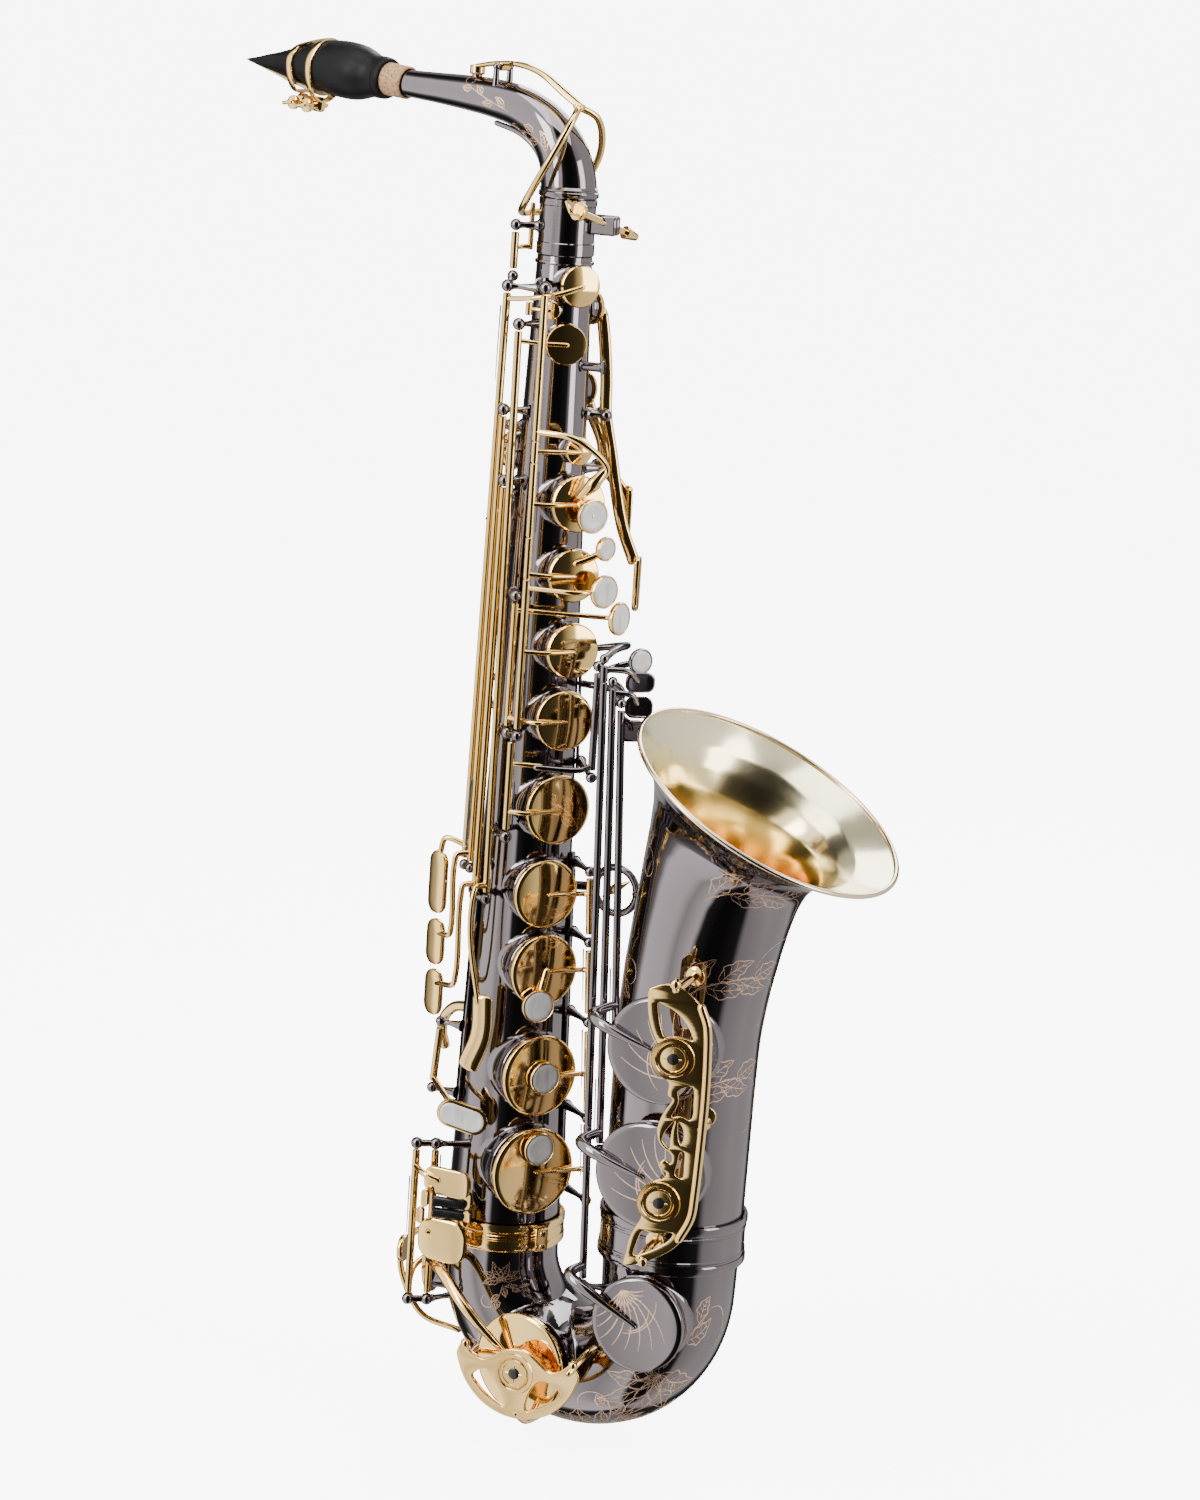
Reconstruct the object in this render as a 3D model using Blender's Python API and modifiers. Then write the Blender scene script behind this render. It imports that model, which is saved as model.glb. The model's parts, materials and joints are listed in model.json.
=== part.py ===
"""An alto saxophone: tube, bow, flared bell, curved neck with mouthpiece, and its hinged keywork.

Lengths below are millimetres in the tube frame: Z runs up the body tube's axis, z = 0 is the rim
of the neck receiver, and +X points from the body tube to the bell. The world origin is the centre
of the strap ring. Angles named THETA are measured round the body tube from +X.
"""
import math

import bmesh
import bpy
from mathutils import Matrix, Vector

MM = 0.001
GAP = 0.3

# Body tube, bow and bell
TUBE_TOP_Z, TUBE_BOTTOM_Z = -26.3, -488.0
TUBE_TOP_R, TUBE_TAPER = 12.6, 14.4 / 456
WALL = 0.9
BELL_X = 91.0
BOW_Z = -502.0
BOW_TOP_R, BOW_END_R = 27.0, 32.2
BELL_FOOT_Z, BELL_FOOT_R = -475.0, 32.4
RIM_CENTRE, RIM_R, RIM_TILT = Vector((125.2, -2.8, -261.0)), 68.3, 28.8
RECEIVER_R, TENON_R = 13.3, 11.7

# Neck: its plane is swung from -X, as the instrument is set up for playing
NECK_SWING = 9.6
CORK_START, CORK_END = 99.0, 130.0
MOUTHPIECE_START, MOUTHPIECE_END = 112.0, 197.0

# Keywork. The key side of the tube faces KEY_FACE; across and out are its two plan directions
KEY_FACE = -62.0
ACROSS = Vector((math.cos(math.radians(KEY_FACE + 90)), math.sin(math.radians(KEY_FACE + 90)), 0))
OUT = Vector((math.cos(math.radians(KEY_FACE)), math.sin(math.radians(KEY_FACE)), 0))
ROD_R, ARM_R, BALL_R = 1.8, 1.3, 2.9
CHIMNEY_H, PAD_T = 4.5, 4.2
STRAP_THETA, STRAP_Z, STRAP_R = 160.0, -235.0, 5.5

# Paint: colour, roughness, metallic
BLACK_NICKEL = ((0.10, 0.09, 0.10), 0.12, 1.0)
GOLD = ((0.80, 0.52, 0.20), 0.15, 1.0)
RUBBER = ((0.015, 0.015, 0.016), 0.45, 0.0)
CORK = ((0.50, 0.32, 0.17), 0.85, 0.0)
CANE = ((0.75, 0.62, 0.35), 0.6, 0.0)


def clear_scene():
    for old in list(bpy.data.objects):
        bpy.data.objects.remove(old)


def collection(name, hidden):
    made = bpy.data.collections.new(name)
    made.hide_render = hidden
    bpy.context.scene.collection.children.link(made)
    return made


clear_scene()
PARTS = collection("alto_saxophone", False)
CUTTERS = collection("cutters", True)


def tube_radius(z):
    return TUBE_TOP_R + max(0.0, TUBE_TOP_Z - z) * TUBE_TAPER


def strap_centre():
    reach = tube_radius(STRAP_Z) + 4.0 + STRAP_R
    angle = math.radians(STRAP_THETA)
    return Vector((reach * math.cos(angle), reach * math.sin(angle), STRAP_Z))


ORIGIN = strap_centre()


def at(across, out, z):
    """A point on the key side: across the tube, out from its axis, and up."""
    return across * ACROSS + out * OUT + Vector((0, 0, z))


def around(rho, theta, z):
    angle = math.radians(theta)
    return Vector((rho * math.cos(angle), rho * math.sin(angle), z))


def paint(name, look):
    colour, roughness, metallic = look
    material = bpy.data.materials.new(name)
    material.use_nodes = True
    shader = material.node_tree.nodes["Principled BSDF"]
    shader.inputs["Base Color"].default_value = (*colour, 1)
    shader.inputs["Roughness"].default_value = roughness
    shader.inputs["Metallic"].default_value = metallic
    return material


def helper(name, mesh):
    made = bpy.data.objects.new(name, mesh)
    made.hide_render = True
    made.display_type = "WIRE"
    CUTTERS.objects.link(made)
    return made


def finish_mesh(shape, matrix):
    """The bmesh as a helper object in metres, at matrix, which is in millimetres in the tube frame."""
    bmesh.ops.recalc_face_normals(shape, faces=shape.faces)
    mesh = bpy.data.meshes.new("piece")
    shape.transform(matrix)
    shape.transform(Matrix.Scale(MM, 4) @ Matrix.Translation(-ORIGIN))
    shape.to_mesh(mesh)
    shape.free()
    return helper("piece", mesh)


def towards(start, direction):
    """A frame at start whose Z axis runs along direction."""
    turn = Vector((0, 0, 1)).rotation_difference(Vector(direction).normalized())
    return Matrix.Translation(start) @ turn.to_matrix().to_4x4()


def rod(start, end, radius=ROD_R, sides=8, end_radius=None):
    start, end = Vector(start), Vector(end)
    shape = bmesh.new()
    length = (end - start).length
    last = radius if end_radius is None else end_radius
    bmesh.ops.create_cone(shape, cap_ends=True, segments=sides, radius1=radius, radius2=last, depth=length)
    return finish_mesh(shape, towards((start + end) / 2, end - start))


def ball(centre, radius=BALL_R):
    shape = bmesh.new()
    bmesh.ops.create_uvsphere(shape, u_segments=6, v_segments=4, radius=radius)
    return finish_mesh(shape, Matrix.Translation(centre))


def disc(centre, normal, radius, thickness, sides=16):
    """A disc that stands on centre and rises by thickness along normal."""
    normal = Vector(normal).normalized()
    return rod(centre, Vector(centre) + normal * thickness, radius, sides)


def block(centre, size, normal=(0, 0, 1), turn=0.0):
    shape = bmesh.new()
    bmesh.ops.create_cube(shape, size=1)
    bmesh.ops.scale(shape, vec=size, verts=shape.verts)
    return finish_mesh(shape, towards(centre, normal) @ Matrix.Rotation(math.radians(turn), 4, "Z"))


def plate(centre, size, face, tilt=0.0, corner=0.35):
    """A flat touch piece: size is its width, height and thickness, face is its normal in plan."""
    width, height, thickness = size
    normal = Vector(face).normalized()
    side = Vector((0, 0, 1)).cross(normal).normalized()
    up = normal.cross(side)
    frame = Matrix((side, up, normal)).transposed().to_4x4()
    shape = bmesh.new()
    cut = min(width, height) * corner
    half_w, half_h = width / 2, height / 2
    outline = []
    for sign_x, sign_y in ((1, 1), (-1, 1), (-1, -1), (1, -1)):
        flat = (sign_x * half_w, sign_y * (half_h - cut))
        tall = (sign_x * (half_w - cut), sign_y * half_h)
        outline += [flat, tall] if sign_x == sign_y else [tall, flat]
    front = [shape.verts.new((x, y, thickness / 2)) for x, y in outline]
    shape.faces.new(front)
    made = bmesh.ops.extrude_face_region(shape, geom=list(shape.faces))
    moved = [item for item in made["geom"] if isinstance(item, bmesh.types.BMVert)]
    bmesh.ops.translate(shape, vec=(0, 0, -thickness), verts=moved)
    spin = Matrix.Rotation(math.radians(tilt), 4, "Z")
    return finish_mesh(shape, Matrix.Translation(centre) @ frame @ spin)


def bar(points, radius=ARM_R, resolution=1, radii=None, cyclic=False):
    """A round bar along points: a poly curve with a bevel, made a mesh with its caps welded."""
    curve = bpy.data.curves.new("bar", "CURVE")
    curve.dimensions = "3D"
    curve.bevel_depth = radius * MM
    curve.bevel_resolution = resolution
    curve.use_fill_caps = True
    line = curve.splines.new("POLY")
    line.points.add(len(points) - 1)
    line.use_cyclic_u = cyclic
    for index, point in enumerate(points):
        line.points[index].co = (*((Vector(point) - ORIGIN) * MM), 1)
        line.points[index].radius = radii[index] if radii else 1
    guide = bpy.data.objects.new("bar", curve)
    CUTTERS.objects.link(guide)
    bpy.context.view_layer.update()
    graph = bpy.context.evaluated_depsgraph_get()
    mesh = bpy.data.meshes.new_from_object(guide.evaluated_get(graph))
    shape = bmesh.new()
    shape.from_mesh(mesh)
    bmesh.ops.remove_doubles(shape, verts=shape.verts, dist=0.00002)
    bmesh.ops.recalc_face_normals(shape, faces=shape.faces)
    shape.to_mesh(mesh)
    shape.free()
    made = helper("bar", mesh)
    made.matrix_world = guide.matrix_world
    bpy.data.objects.remove(guide)
    return made


def turned(profile, base, direction, steps=28):
    """A closed profile of (radius, height) points, outer side first from the top down, turned round."""
    mesh = bpy.data.meshes.new("profile")
    points = [(radius * MM, 0, height * MM) for radius, height in profile]
    count = len(points)
    closed = min(radius for radius, _ in profile) > 0
    edges = [(index, index + 1) for index in range(count - 1)]
    if closed:
        edges.append((count - 1, 0))
    mesh.from_pydata(points, edges, [])
    made = helper("turned", mesh)
    made.matrix_world = Matrix.Scale(MM, 4) @ Matrix.Translation(-ORIGIN) @ towards(base, direction)
    made.matrix_world = made.matrix_world @ Matrix.Scale(1 / MM, 4)
    screw = made.modifiers.new("Turn", "SCREW")
    screw.steps = steps
    screw.render_steps = steps
    screw.use_merge_vertices = True
    screw.merge_threshold = 0.00001
    bpy.context.view_layer.update()
    return settle(made)


def settle(shape_object):
    """The object with its modifiers applied and its matrix put into the mesh."""
    bpy.context.view_layer.update()
    graph = bpy.context.evaluated_depsgraph_get()
    mesh = bpy.data.meshes.new_from_object(shape_object.evaluated_get(graph))
    mesh.transform(shape_object.matrix_world)
    shape = bmesh.new()
    shape.from_mesh(mesh)
    bmesh.ops.recalc_face_normals(shape, faces=shape.faces)
    shape.to_mesh(mesh)
    shape.free()
    bpy.data.objects.remove(shape_object)
    return helper("piece", mesh)


def loft(sections, sides):
    """A solid through circular sections, each a centre, a normal and a radius."""
    shape = bmesh.new()
    rings = []
    for centre, normal, radius in sections:
        frame = towards(centre, normal)
        angles = [2 * math.pi * side / sides for side in range(sides)]
        circle = [(radius * math.cos(angle), radius * math.sin(angle), 0) for angle in angles]
        rings.append([shape.verts.new(frame @ Vector(point)) for point in circle])
    for lower, upper in zip(rings, rings[1:]):
        for side in range(sides):
            following = (side + 1) % sides
            shape.faces.new((lower[side], lower[following], upper[following], upper[side]))
    shape.faces.new(rings[0])
    shape.faces.new(rings[-1])
    return finish_mesh(shape, Matrix.Identity(4))


def combine(pieces, cuts=()):
    """One solid: the union of pieces, less cuts."""
    base = pieces[0]
    for other, operation in [(p, "UNION") for p in pieces[1:]] + [(c, "DIFFERENCE") for c in cuts]:
        step = base.modifiers.new("Join", "BOOLEAN")
        step.object = other
        step.operation = operation
        step.solver = "EXACT"
    made = settle(base)
    for spent in list(pieces[1:]) + list(cuts):
        bpy.data.objects.remove(spent)
    return made


def part(name, look, pieces, cuts=()):
    """A named fixed part whose origin is the strap ring's centre."""
    made = combine(pieces, cuts)
    return publish(made, name, look)


def publish(made, name, look):
    made.name = name
    made.data.name = name
    made.data.materials.clear()
    made.data.materials.append(paint(name, look))
    made.data.shade_smooth()
    made.data.set_sharp_from_angle(angle=math.radians(35))
    made.hide_render = False
    made.display_type = "TEXTURED"
    CUTTERS.objects.unlink(made)
    PARTS.objects.link(made)
    return made


def moving(name, look, pieces, pivot, axis, rest=0.0, cuts=()):
    """A named moving part. Its origin is on its hinge, and it is turned from closed by rest degrees."""
    made = combine(pieces, cuts)
    place = (Vector(pivot) - ORIGIN) * MM
    made.data.transform(Matrix.Translation(-place))
    turn = Matrix.Rotation(math.radians(rest), 4, Vector(axis).normalized())
    made.matrix_world = Matrix.Translation(place) @ turn
    return publish(made, name, look)


# ---------------------------------------------------------------- tone holes and key cups

class ToneHole:
    """A tone hole of the body tube: where it is, its chimney and the cup that covers it."""

    def __init__(self, z, theta, cup_r, height=CHIMNEY_H, pad=PAD_T):
        self.z, self.theta, self.cup_r = z, theta, cup_r
        self.normal = around(1, theta, 0)
        self.seat = tube_radius(z) + height
        self.pad = pad
        self.foot = self.normal * (tube_radius(z) - 7) + Vector((0, 0, z))
        self.mouth = self.normal * self.seat + Vector((0, 0, z))
        self.cup_base = self.mouth + self.normal * GAP
        self.cup_top = self.cup_base + self.normal * pad

    def chimney(self):
        return rod(self.foot, self.mouth, self.cup_r - 1.8, 10)

    def bore(self):
        return rod(self.foot - self.normal * 6, self.mouth + self.normal * 3, self.cup_r - 2.8, 10)

    def cup(self):
        return disc(self.cup_base, self.normal, self.cup_r, self.pad)

    def arm(self, start, lift=0.9, radius=ARM_R):
        """An arm from a hinge rod over the cup's edge to its middle."""
        start = Vector(start)
        side = start - self.cup_top
        side -= self.normal * side.dot(self.normal)
        side.z = 0
        side.normalize()
        edge = self.cup_top + side * (self.cup_r + 1.4) + self.normal * lift
        level = start.z - self.z
        edge.z += level * 0.5
        return bar([start, edge, self.cup_top + self.normal * (lift - 0.2)], radius)


HIGH_E = ToneHole(-38.5, -36, 9.7, 4.0, 3.6)
HIGH_F_SHARP = ToneHole(-65, -51, 9.5, 3.0, 3.2)
BODY_VENT = ToneHole(-50, -75, 4.2, 3.0, 2.6)
C_VENT = ToneHole(-113, -30.5, 6.5, 4.0, 3.4)
B_HOLE = ToneHole(-137, -29.5, 13.2)
BIS_HOLE = ToneHole(-170, -31, 12.5)
A_HOLE = ToneHole(-205, -28, 13.0)
G_HOLE = ToneHole(-237.5, -30, 14.2)
G_SHARP_HOLE = ToneHole(-280, -32, 16.5)
F_SHARP_HOLE = ToneHole(-319, -41, 16.3)
F_HOLE = ToneHole(-355.5, -39, 17.3)
E_HOLE = ToneHole(-406, -38, 19.5)
D_HOLE = ToneHole(-452, -40, 21.0)
SIDE_C_HOLE = ToneHole(-118, 180, 9.8, 3.6, 3.6)
SIDE_BB_HOLE = ToneHole(-150, 178, 10.8, 3.6, 3.6)
PALM_F_HOLE = ToneHole(-50, 68, 8.2, 3.2, 3.4)
PALM_EB_HOLE = ToneHole(-88, 83, 9.2, 3.2, 3.4)
PALM_D_HOLE = ToneHole(-106, 128, 9.6, 3.2, 3.4)
TUBE_HOLES = [
    HIGH_E, HIGH_F_SHARP, BODY_VENT, C_VENT, B_HOLE, BIS_HOLE, A_HOLE, G_HOLE, G_SHARP_HOLE,
    F_SHARP_HOLE, F_HOLE, E_HOLE, D_HOLE, SIDE_C_HOLE, SIDE_BB_HOLE, PALM_F_HOLE, PALM_EB_HOLE,
    PALM_D_HOLE,
]


class BigHole:
    """A low tone hole on the bell or bow, covered by a large cup."""

    def __init__(self, axis_point, tube_r, normal_theta, cup_r, height=CHIMNEY_H, pad=4.5):
        self.normal = around(1, normal_theta, 0)
        self.cup_r, self.pad = cup_r, pad
        self.axis_point = Vector(axis_point)
        self.mouth = self.axis_point + self.normal * (tube_r + height)
        self.foot = self.axis_point + self.normal * (tube_r * 0.45)
        self.cup_base = self.mouth + self.normal * GAP
        self.cup_top = self.cup_base + self.normal * pad

    def chimney(self):
        return rod(self.foot, self.mouth, self.cup_r - 2.4, 16)

    def bore(self):
        return rod(self.axis_point + self.normal * 4, self.mouth + self.normal * 3, self.cup_r - 3.5, 16)

    def cup(self):
        return disc(self.cup_base, self.normal, self.cup_r, self.pad, 20)

    def arm(self, points, lift=1.1, radius=1.7):
        return bar(list(points) + [self.cup_top + self.normal * (lift - 0.2)], radius)


LOW_B = BigHole((91.8, 0, -375), 33.6, -79, 25)
LOW_BB = BigHole((91.0, 0, -435), 33.0, -81, 25)
LOW_C_SHARP = BigHole((BELL_X, 0, -508), 32.0, -83, 22.5, 4.8)
LOW_C = BigHole((37.0, 0, -541), 28.6, -91, 24.5)
LOW_EB = BigHole((0, 0, -511), 27.3, 193, 17.5, 3.8, 4.0)


# ---------------------------------------------------------------- hinge rods

class HingeRod:
    """A straight hinge line between two plan positions."""

    def __init__(self, top, bottom):
        self.top, self.bottom = at(*top), at(*bottom)
        self.axis = (self.top - self.bottom).normalized()

    def point(self, z):
        share = (self.top.z - z) / (self.top.z - self.bottom.z)
        return self.top.lerp(self.bottom, share)

    def tube(self, high, low, radius=ROD_R):
        return rod(self.point(high), self.point(low), radius)


LEFT_STACK = HingeRod((-7.3, 29.0, -40), (-7.3, 34.0, -245))
G_ROD = HingeRod((-12.0, 23.5, -184), (-12.0, 25.5, -245))
G_SHARP_ROD = HingeRod((-9.6, 33.0, -247), (-9.6, 34.0, -292))
HIGH_E_ROD = HingeRod((-25.0, 8.0, -44), (-28.5, 9.0, -312))
SIDE_C_ROD = HingeRod((-23.3, 12.2, -100), (-25.6, 15.4, -312))
SIDE_BB_ROD = HingeRod((-20.8, 17.0, -132), (-22.5, 20.8, -324))
HIGH_F_SHARP_ROD = HingeRod((-18.5, 19.0, -57), (-17.0, 25.4, -324))
RIGHT_STACK = HingeRod((30.5, 24.0, -308), (39.0, 26.0, -467))
LOW_C_SHARP_ROD = HingeRod((30.5, 50.0, -202.5), (40.0, 58.0, -498))
LOW_BB_ROD = HingeRod((35.0, 50.0, -212.8), (43.5, 58.0, -432))
LOW_B_ROD = HingeRod((39.5, 50.0, -222.6), (47.0, 58.0, -376))
G_SHARP_LEVER_ROD = HingeRod((28.0, 35.0, -209), (28.0, 36.0, -261))
EB_ROD = HingeRod((-42.5, 21.0, -446), (-42.5, 22.0, -523))
C_ROD = HingeRod((-33.5, 20.0, -446), (-33.5, 21.0, -523))
ALT_F_SHARP_ROD = HingeRod((-35.5, 2.0, -394), (-37.6, 2.0, -424))
OCTAVE_ROD = HingeRod((-23.0, 4.0, -15), (-23.0, 4.0, -36))
SIDE_C_CUP_ROD = HingeRod((-19.8, 3.8, -105.0), (-19.8, 3.8, -131.0))
SIDE_BB_CUP_ROD = HingeRod((-21.5, 4.0, -137.0), (-21.5, 4.0, -163.0))

# Palm keys: the middle of each short cross rod and its direction round the tube
PALM_HALF = 3.0
PALM_PIVOTS = {
    "palm_f_key": (at(22.5, -4.0, -98), at(0.175, 0.985, 0)),
    "palm_eb_key": (at(24.0, -15.0, -124), at(0.53, 0.848, 0)),
    "palm_d_key": (at(4.0, -25.5, -130), at(0.988, 0.155, 0)),
}


# ---------------------------------------------------------------- body

def post(foot, head, foot_r=2.4, head_r=1.5, ball_r=BALL_R):
    """A key post: a tapered stem and the ball that holds a hinge rod's end."""
    return [rod(foot, head, foot_r, 6, head_r), ball(head, ball_r)]


def strip(theta, high, low, width=5.0, thickness=1.5):
    """A rib plate that lies along the tube at theta."""
    normal, side = around(1, theta, 0), around(1, theta + 90, 0)
    shape = bmesh.new()
    rings = []
    for z in (high, low):
        near = tube_radius(z) + GAP
        corners = ((near, -1), (near, 1), (near + thickness, 1), (near + thickness, -1))
        rings.append([shape.verts.new(normal * reach + side * half * width / 2 + Vector((0, 0, z)))
                      for reach, half in corners])
    for index in range(4):
        following = (index + 1) % 4
        shape.faces.new((rings[0][index], rings[0][following], rings[1][following], rings[1][index]))
    shape.faces.new(rings[0])
    shape.faces.new(rings[1])
    return finish_mesh(shape, Matrix.Identity(4))


def rib_post(theta, head, foot_r=2.2, ball_r=BALL_R):
    """A post on a rib at theta, its foot lifted so that a leaning stem stays clear of the tube."""
    normal = around(1, theta, 0)
    flat = Vector((head.x, head.y, 0))
    surface = tube_radius(head.z) + GAP
    lean = (flat - normal * (surface + 1)).normalized()
    lift = foot_r * math.sqrt(max(0.0, 1 - lean.dot(normal) ** 2)) + 0.15
    return post(normal * (surface + lift) + Vector((0, 0, head.z)), head, foot_r, 1.4, ball_r)


def tube_post(head, foot_turn=0.0):
    """A post that stands on the tube wall below its head."""
    angle = math.degrees(math.atan2(head.y, head.x)) + foot_turn
    return post(around(tube_radius(head.z) - 0.8, angle, head.z), head)


def pivot_heads(centre, span):
    """Where the two posts hold the ends of a short rocking rod."""
    reach = PALM_HALF + GAP + BALL_R
    return [centre + span * reach * sign for sign in (1, -1)]


def body_tube():
    top, bottom = TUBE_TOP_Z, TUBE_BOTTOM_Z
    outer = rod((0, 0, bottom), (0, 0, top), tube_radius(bottom), 24, tube_radius(top))
    bore = rod((0, 0, bottom - 2), (0, 0, top + 2), tube_radius(bottom - 2) - WALL, 24,
               tube_radius(top) - WALL - 2 * TUBE_TAPER)
    chimneys = [hole.chimney() for hole in TUBE_HOLES]
    bores = [hole.bore() for hole in TUBE_HOLES]
    posts = []
    for centre, span in PALM_PIVOTS.values():
        for head in pivot_heads(centre, span):
            posts += tube_post(head)
    for hinge in (SIDE_C_CUP_ROD, SIDE_BB_CUP_ROD):
        posts += tube_post(hinge.top) + tube_post(hinge.bottom)
    posts += post(at(-16, 17, -446), C_ROD.top)
    posts += [rod(C_ROD.top, EB_ROD.top, 1.7, 6), ball(EB_ROD.top)]
    posts.append(rod(at(11.5, 6, -75.5), at(21.5, 9, -75.5), 2.4, 10))
    part("body_tube", BLACK_NICKEL, [outer] + chimneys + posts, [bore] + bores)


def bow_sections(grow, extra):
    """Sections down the body side, round the bend and up the bell side."""
    sections = []
    bend_r = BELL_X / 2
    drop = TUBE_BOTTOM_Z - GAP - BOW_Z
    rise = BELL_FOOT_Z - GAP - BOW_Z
    length = drop + math.pi * bend_r + rise
    bends = 12

    def radius(run):
        return BOW_TOP_R + (BOW_END_R - BOW_TOP_R) * run / length + grow

    sections.append((Vector((0, 0, BOW_Z + drop + extra)), Vector((0, 0, -1)), radius(0)))
    for step in range(bends + 1):
        angle = math.pi * step / bends
        centre = Vector((bend_r - bend_r * math.cos(angle), 0, BOW_Z - bend_r * math.sin(angle)))
        normal = Vector((math.sin(angle), 0, -math.cos(angle)))
        sections.append((centre, normal, radius(drop + bend_r * angle)))
    sections.append((Vector((BELL_X, 0, BOW_Z + rise + extra)), Vector((0, 0, 1)), radius(length)))
    return sections


def tapered_tube(sections, sides_resolution):
    points = [centre for centre, _, _ in sections]
    radii = [radius for _, _, radius in sections]
    return bar(points, 1.0, sides_resolution, radii)


def bow():
    outer = tapered_tube(bow_sections(0, 0), 5)
    inner = tapered_tube(bow_sections(-WALL, 2), 5)
    holes = [LOW_C, LOW_C_SHARP, LOW_EB]
    posts = post(at(-14, 13, -521), C_ROD.bottom)
    posts += [rod(C_ROD.bottom, EB_ROD.bottom, 1.7, 6), ball(EB_ROD.bottom)]
    posts += post(Vector((72, -20, -501)), LOW_C_SHARP_ROD.point(-498))
    part("bow", BLACK_NICKEL, [outer] + [hole.chimney() for hole in holes] + posts,
         [inner] + [hole.bore() for hole in holes])


def bell_sections(grow, shift):
    """Sections from the foot up: straight, a lean towards the front, then the flare to the rim."""
    foot = Vector((BELL_X, 0, BELL_FOOT_Z - shift))
    sections = [(foot, Vector((0, 0, 1)), BELL_FOOT_R + grow)]
    lean = (
        (-440, 91.0, 0, 33.0), (-400, 91.2, 1, 33.4), (-375, 91.9, 4, 33.6), (-355, 93.8, 7, 34.2),
        (-336, 96.6, 10, 35.0), (-318, 99.8, 13, 36.0), (-302, 103.4, 17, 37.4), (-290, 107.0, 21, 39.6),
        (-280.5, 110.9, 24.5, 43.0), (-273.5, 114.9, 26.5, 47.8), (-268, 118.8, 28, 54.0),
        (-264.6, 121.9, 28.6, 60.4),
    )
    for z, x, tilt, radius in lean:
        angle = math.radians(tilt)
        normal = Vector((math.sin(angle), 0, math.cos(angle)))
        slide = RIM_CENTRE.y * max(0.0, (z + 318) / 57.0)
        sections.append((Vector((x, slide, z)), normal, radius + grow))
    return sections


def rim_normal():
    angle = math.radians(RIM_TILT)
    return Vector((math.sin(angle), 0, math.cos(angle)))


def bell():
    normal = rim_normal()
    outer = bell_sections(0, 0)
    outer.append((RIM_CENTRE - normal * 1.2, normal, RIM_R))
    outer.append((RIM_CENTRE + normal * 1.2, normal, RIM_R))
    inner = bell_sections(-WALL, 2)
    inner = inner[:-3] + [(centre + side * 0.9, side, radius) for centre, side, radius in inner[-3:]]
    inner.append((RIM_CENTRE, normal, RIM_R - 2.2))
    inner.append((RIM_CENTRE + normal * 4, normal, RIM_R + 1.0))
    holes = [LOW_B, LOW_BB]
    posts = post(Vector((75, -22, -380)), LOW_B_ROD.point(-376))
    posts += post(Vector((72, -22, -434)), LOW_BB_ROD.point(-432))
    part("bell", BLACK_NICKEL, [loft(outer, 26)] + [hole.chimney() for hole in holes] + posts,
         [loft(inner, 26)] + [hole.bore() for hole in holes])


def sleeve(name, look, centre_x, top, bottom, inner_r, outer_r, waist):
    """A joining ring with a raised band at each end."""
    band = 5.0
    profile = [
        (inner_r, top), (outer_r, top), (outer_r, top - band), (outer_r - waist, top - band),
        (outer_r - waist, bottom + band), (outer_r, bottom + band), (outer_r, bottom), (inner_r, bottom),
    ]
    part(name, look, [turned(profile, (centre_x, 0, 0), (0, 0, 1), 20)])


SCREW_START, SCREW_END = at(5.0, 19.5, -4.5), at(31.0, -4.0, -16.0)
EAR_THETA = 10.0
OCTAVE_POST_THETA = -142.0


def receiver():
    collar = turned([(TENON_R + 0.4, 0), (RECEIVER_R, 0), (RECEIVER_R, -26), (TENON_R + 0.4, -26)],
                    (0, 0, 0), (0, 0, 1), 24)
    ears = block(around(18.6, EAR_THETA, -11), (12, 8, 9), (0, 0, 1), EAR_THETA)
    head = OCTAVE_ROD.point(-13.5)
    post_pieces = post(around(RECEIVER_R - 0.5, OCTAVE_POST_THETA, head.z), head, 2.2, 1.6, 2.7)
    hole = rod(SCREW_START, SCREW_END, 1.95, 10)
    slot = block(around(18.0, EAR_THETA, -8), (16, 1.2, 22), (0, 0, 1), EAR_THETA)
    part("neck_receiver", BLACK_NICKEL, [collar, ears] + post_pieces, [hole, slot])


def receiver_screw():
    axis = (SCREW_END - SCREW_START).normalized()
    shank = rod(SCREW_START, SCREW_END, 1.6, 10)
    head = disc(SCREW_START - axis * 0.5, axis, 4.2, 3.0, 12)
    paddle = block(SCREW_START - axis * 3, (7.5, 2.0, 8), axis, 25)
    tip = rod(SCREW_END - axis * 6.5, SCREW_END + axis * 1.5, 3.2, 10, 1.7)
    moving("receiver_screw", GOLD, [shank, head, paddle, tip], SCREW_START, axis)


# ---------------------------------------------------------------- neck, cork, mouthpiece

NECK_DIRECTION = around(1, 180 - NECK_SWING, 0)


def neck_point(reach, z):
    return NECK_DIRECTION * reach + Vector((0, 0, z))


NECK_PATH = (
    (0.0, 2.6, 12.9), (0.8, 8.0, 12.7), (2.6, 14.5, 12.2), (6.4, 21.8, 11.4), (12.4, 28.6, 10.7),
    (20.4, 34.0, 10.0), (31.0, 38.2, 9.5), (44.0, 40.6, 9.0), (60.0, 42.0, 8.2), (80.0, 42.9, 7.1),
    (CORK_START, 43.6, 6.3),
)
NECK_KEY_PIVOT = neck_point(43.0, 55.6)
NECK_SLOPE = math.radians(4.6)
NECK_END = neck_point(CORK_START, 43.6)
NECK_RUN = (NECK_DIRECTION * math.cos(NECK_SLOPE) + Vector((0, 0, math.sin(NECK_SLOPE)))).normalized()


NECK_SIDE = Vector((0, 0, 1)).cross(NECK_RUN).normalized()
NECK_UP = NECK_RUN.cross(NECK_SIDE)


def along_neck_end(distance, rise=0.0):
    return NECK_END + NECK_RUN * (distance - CORK_START) + NECK_UP * rise


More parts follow.
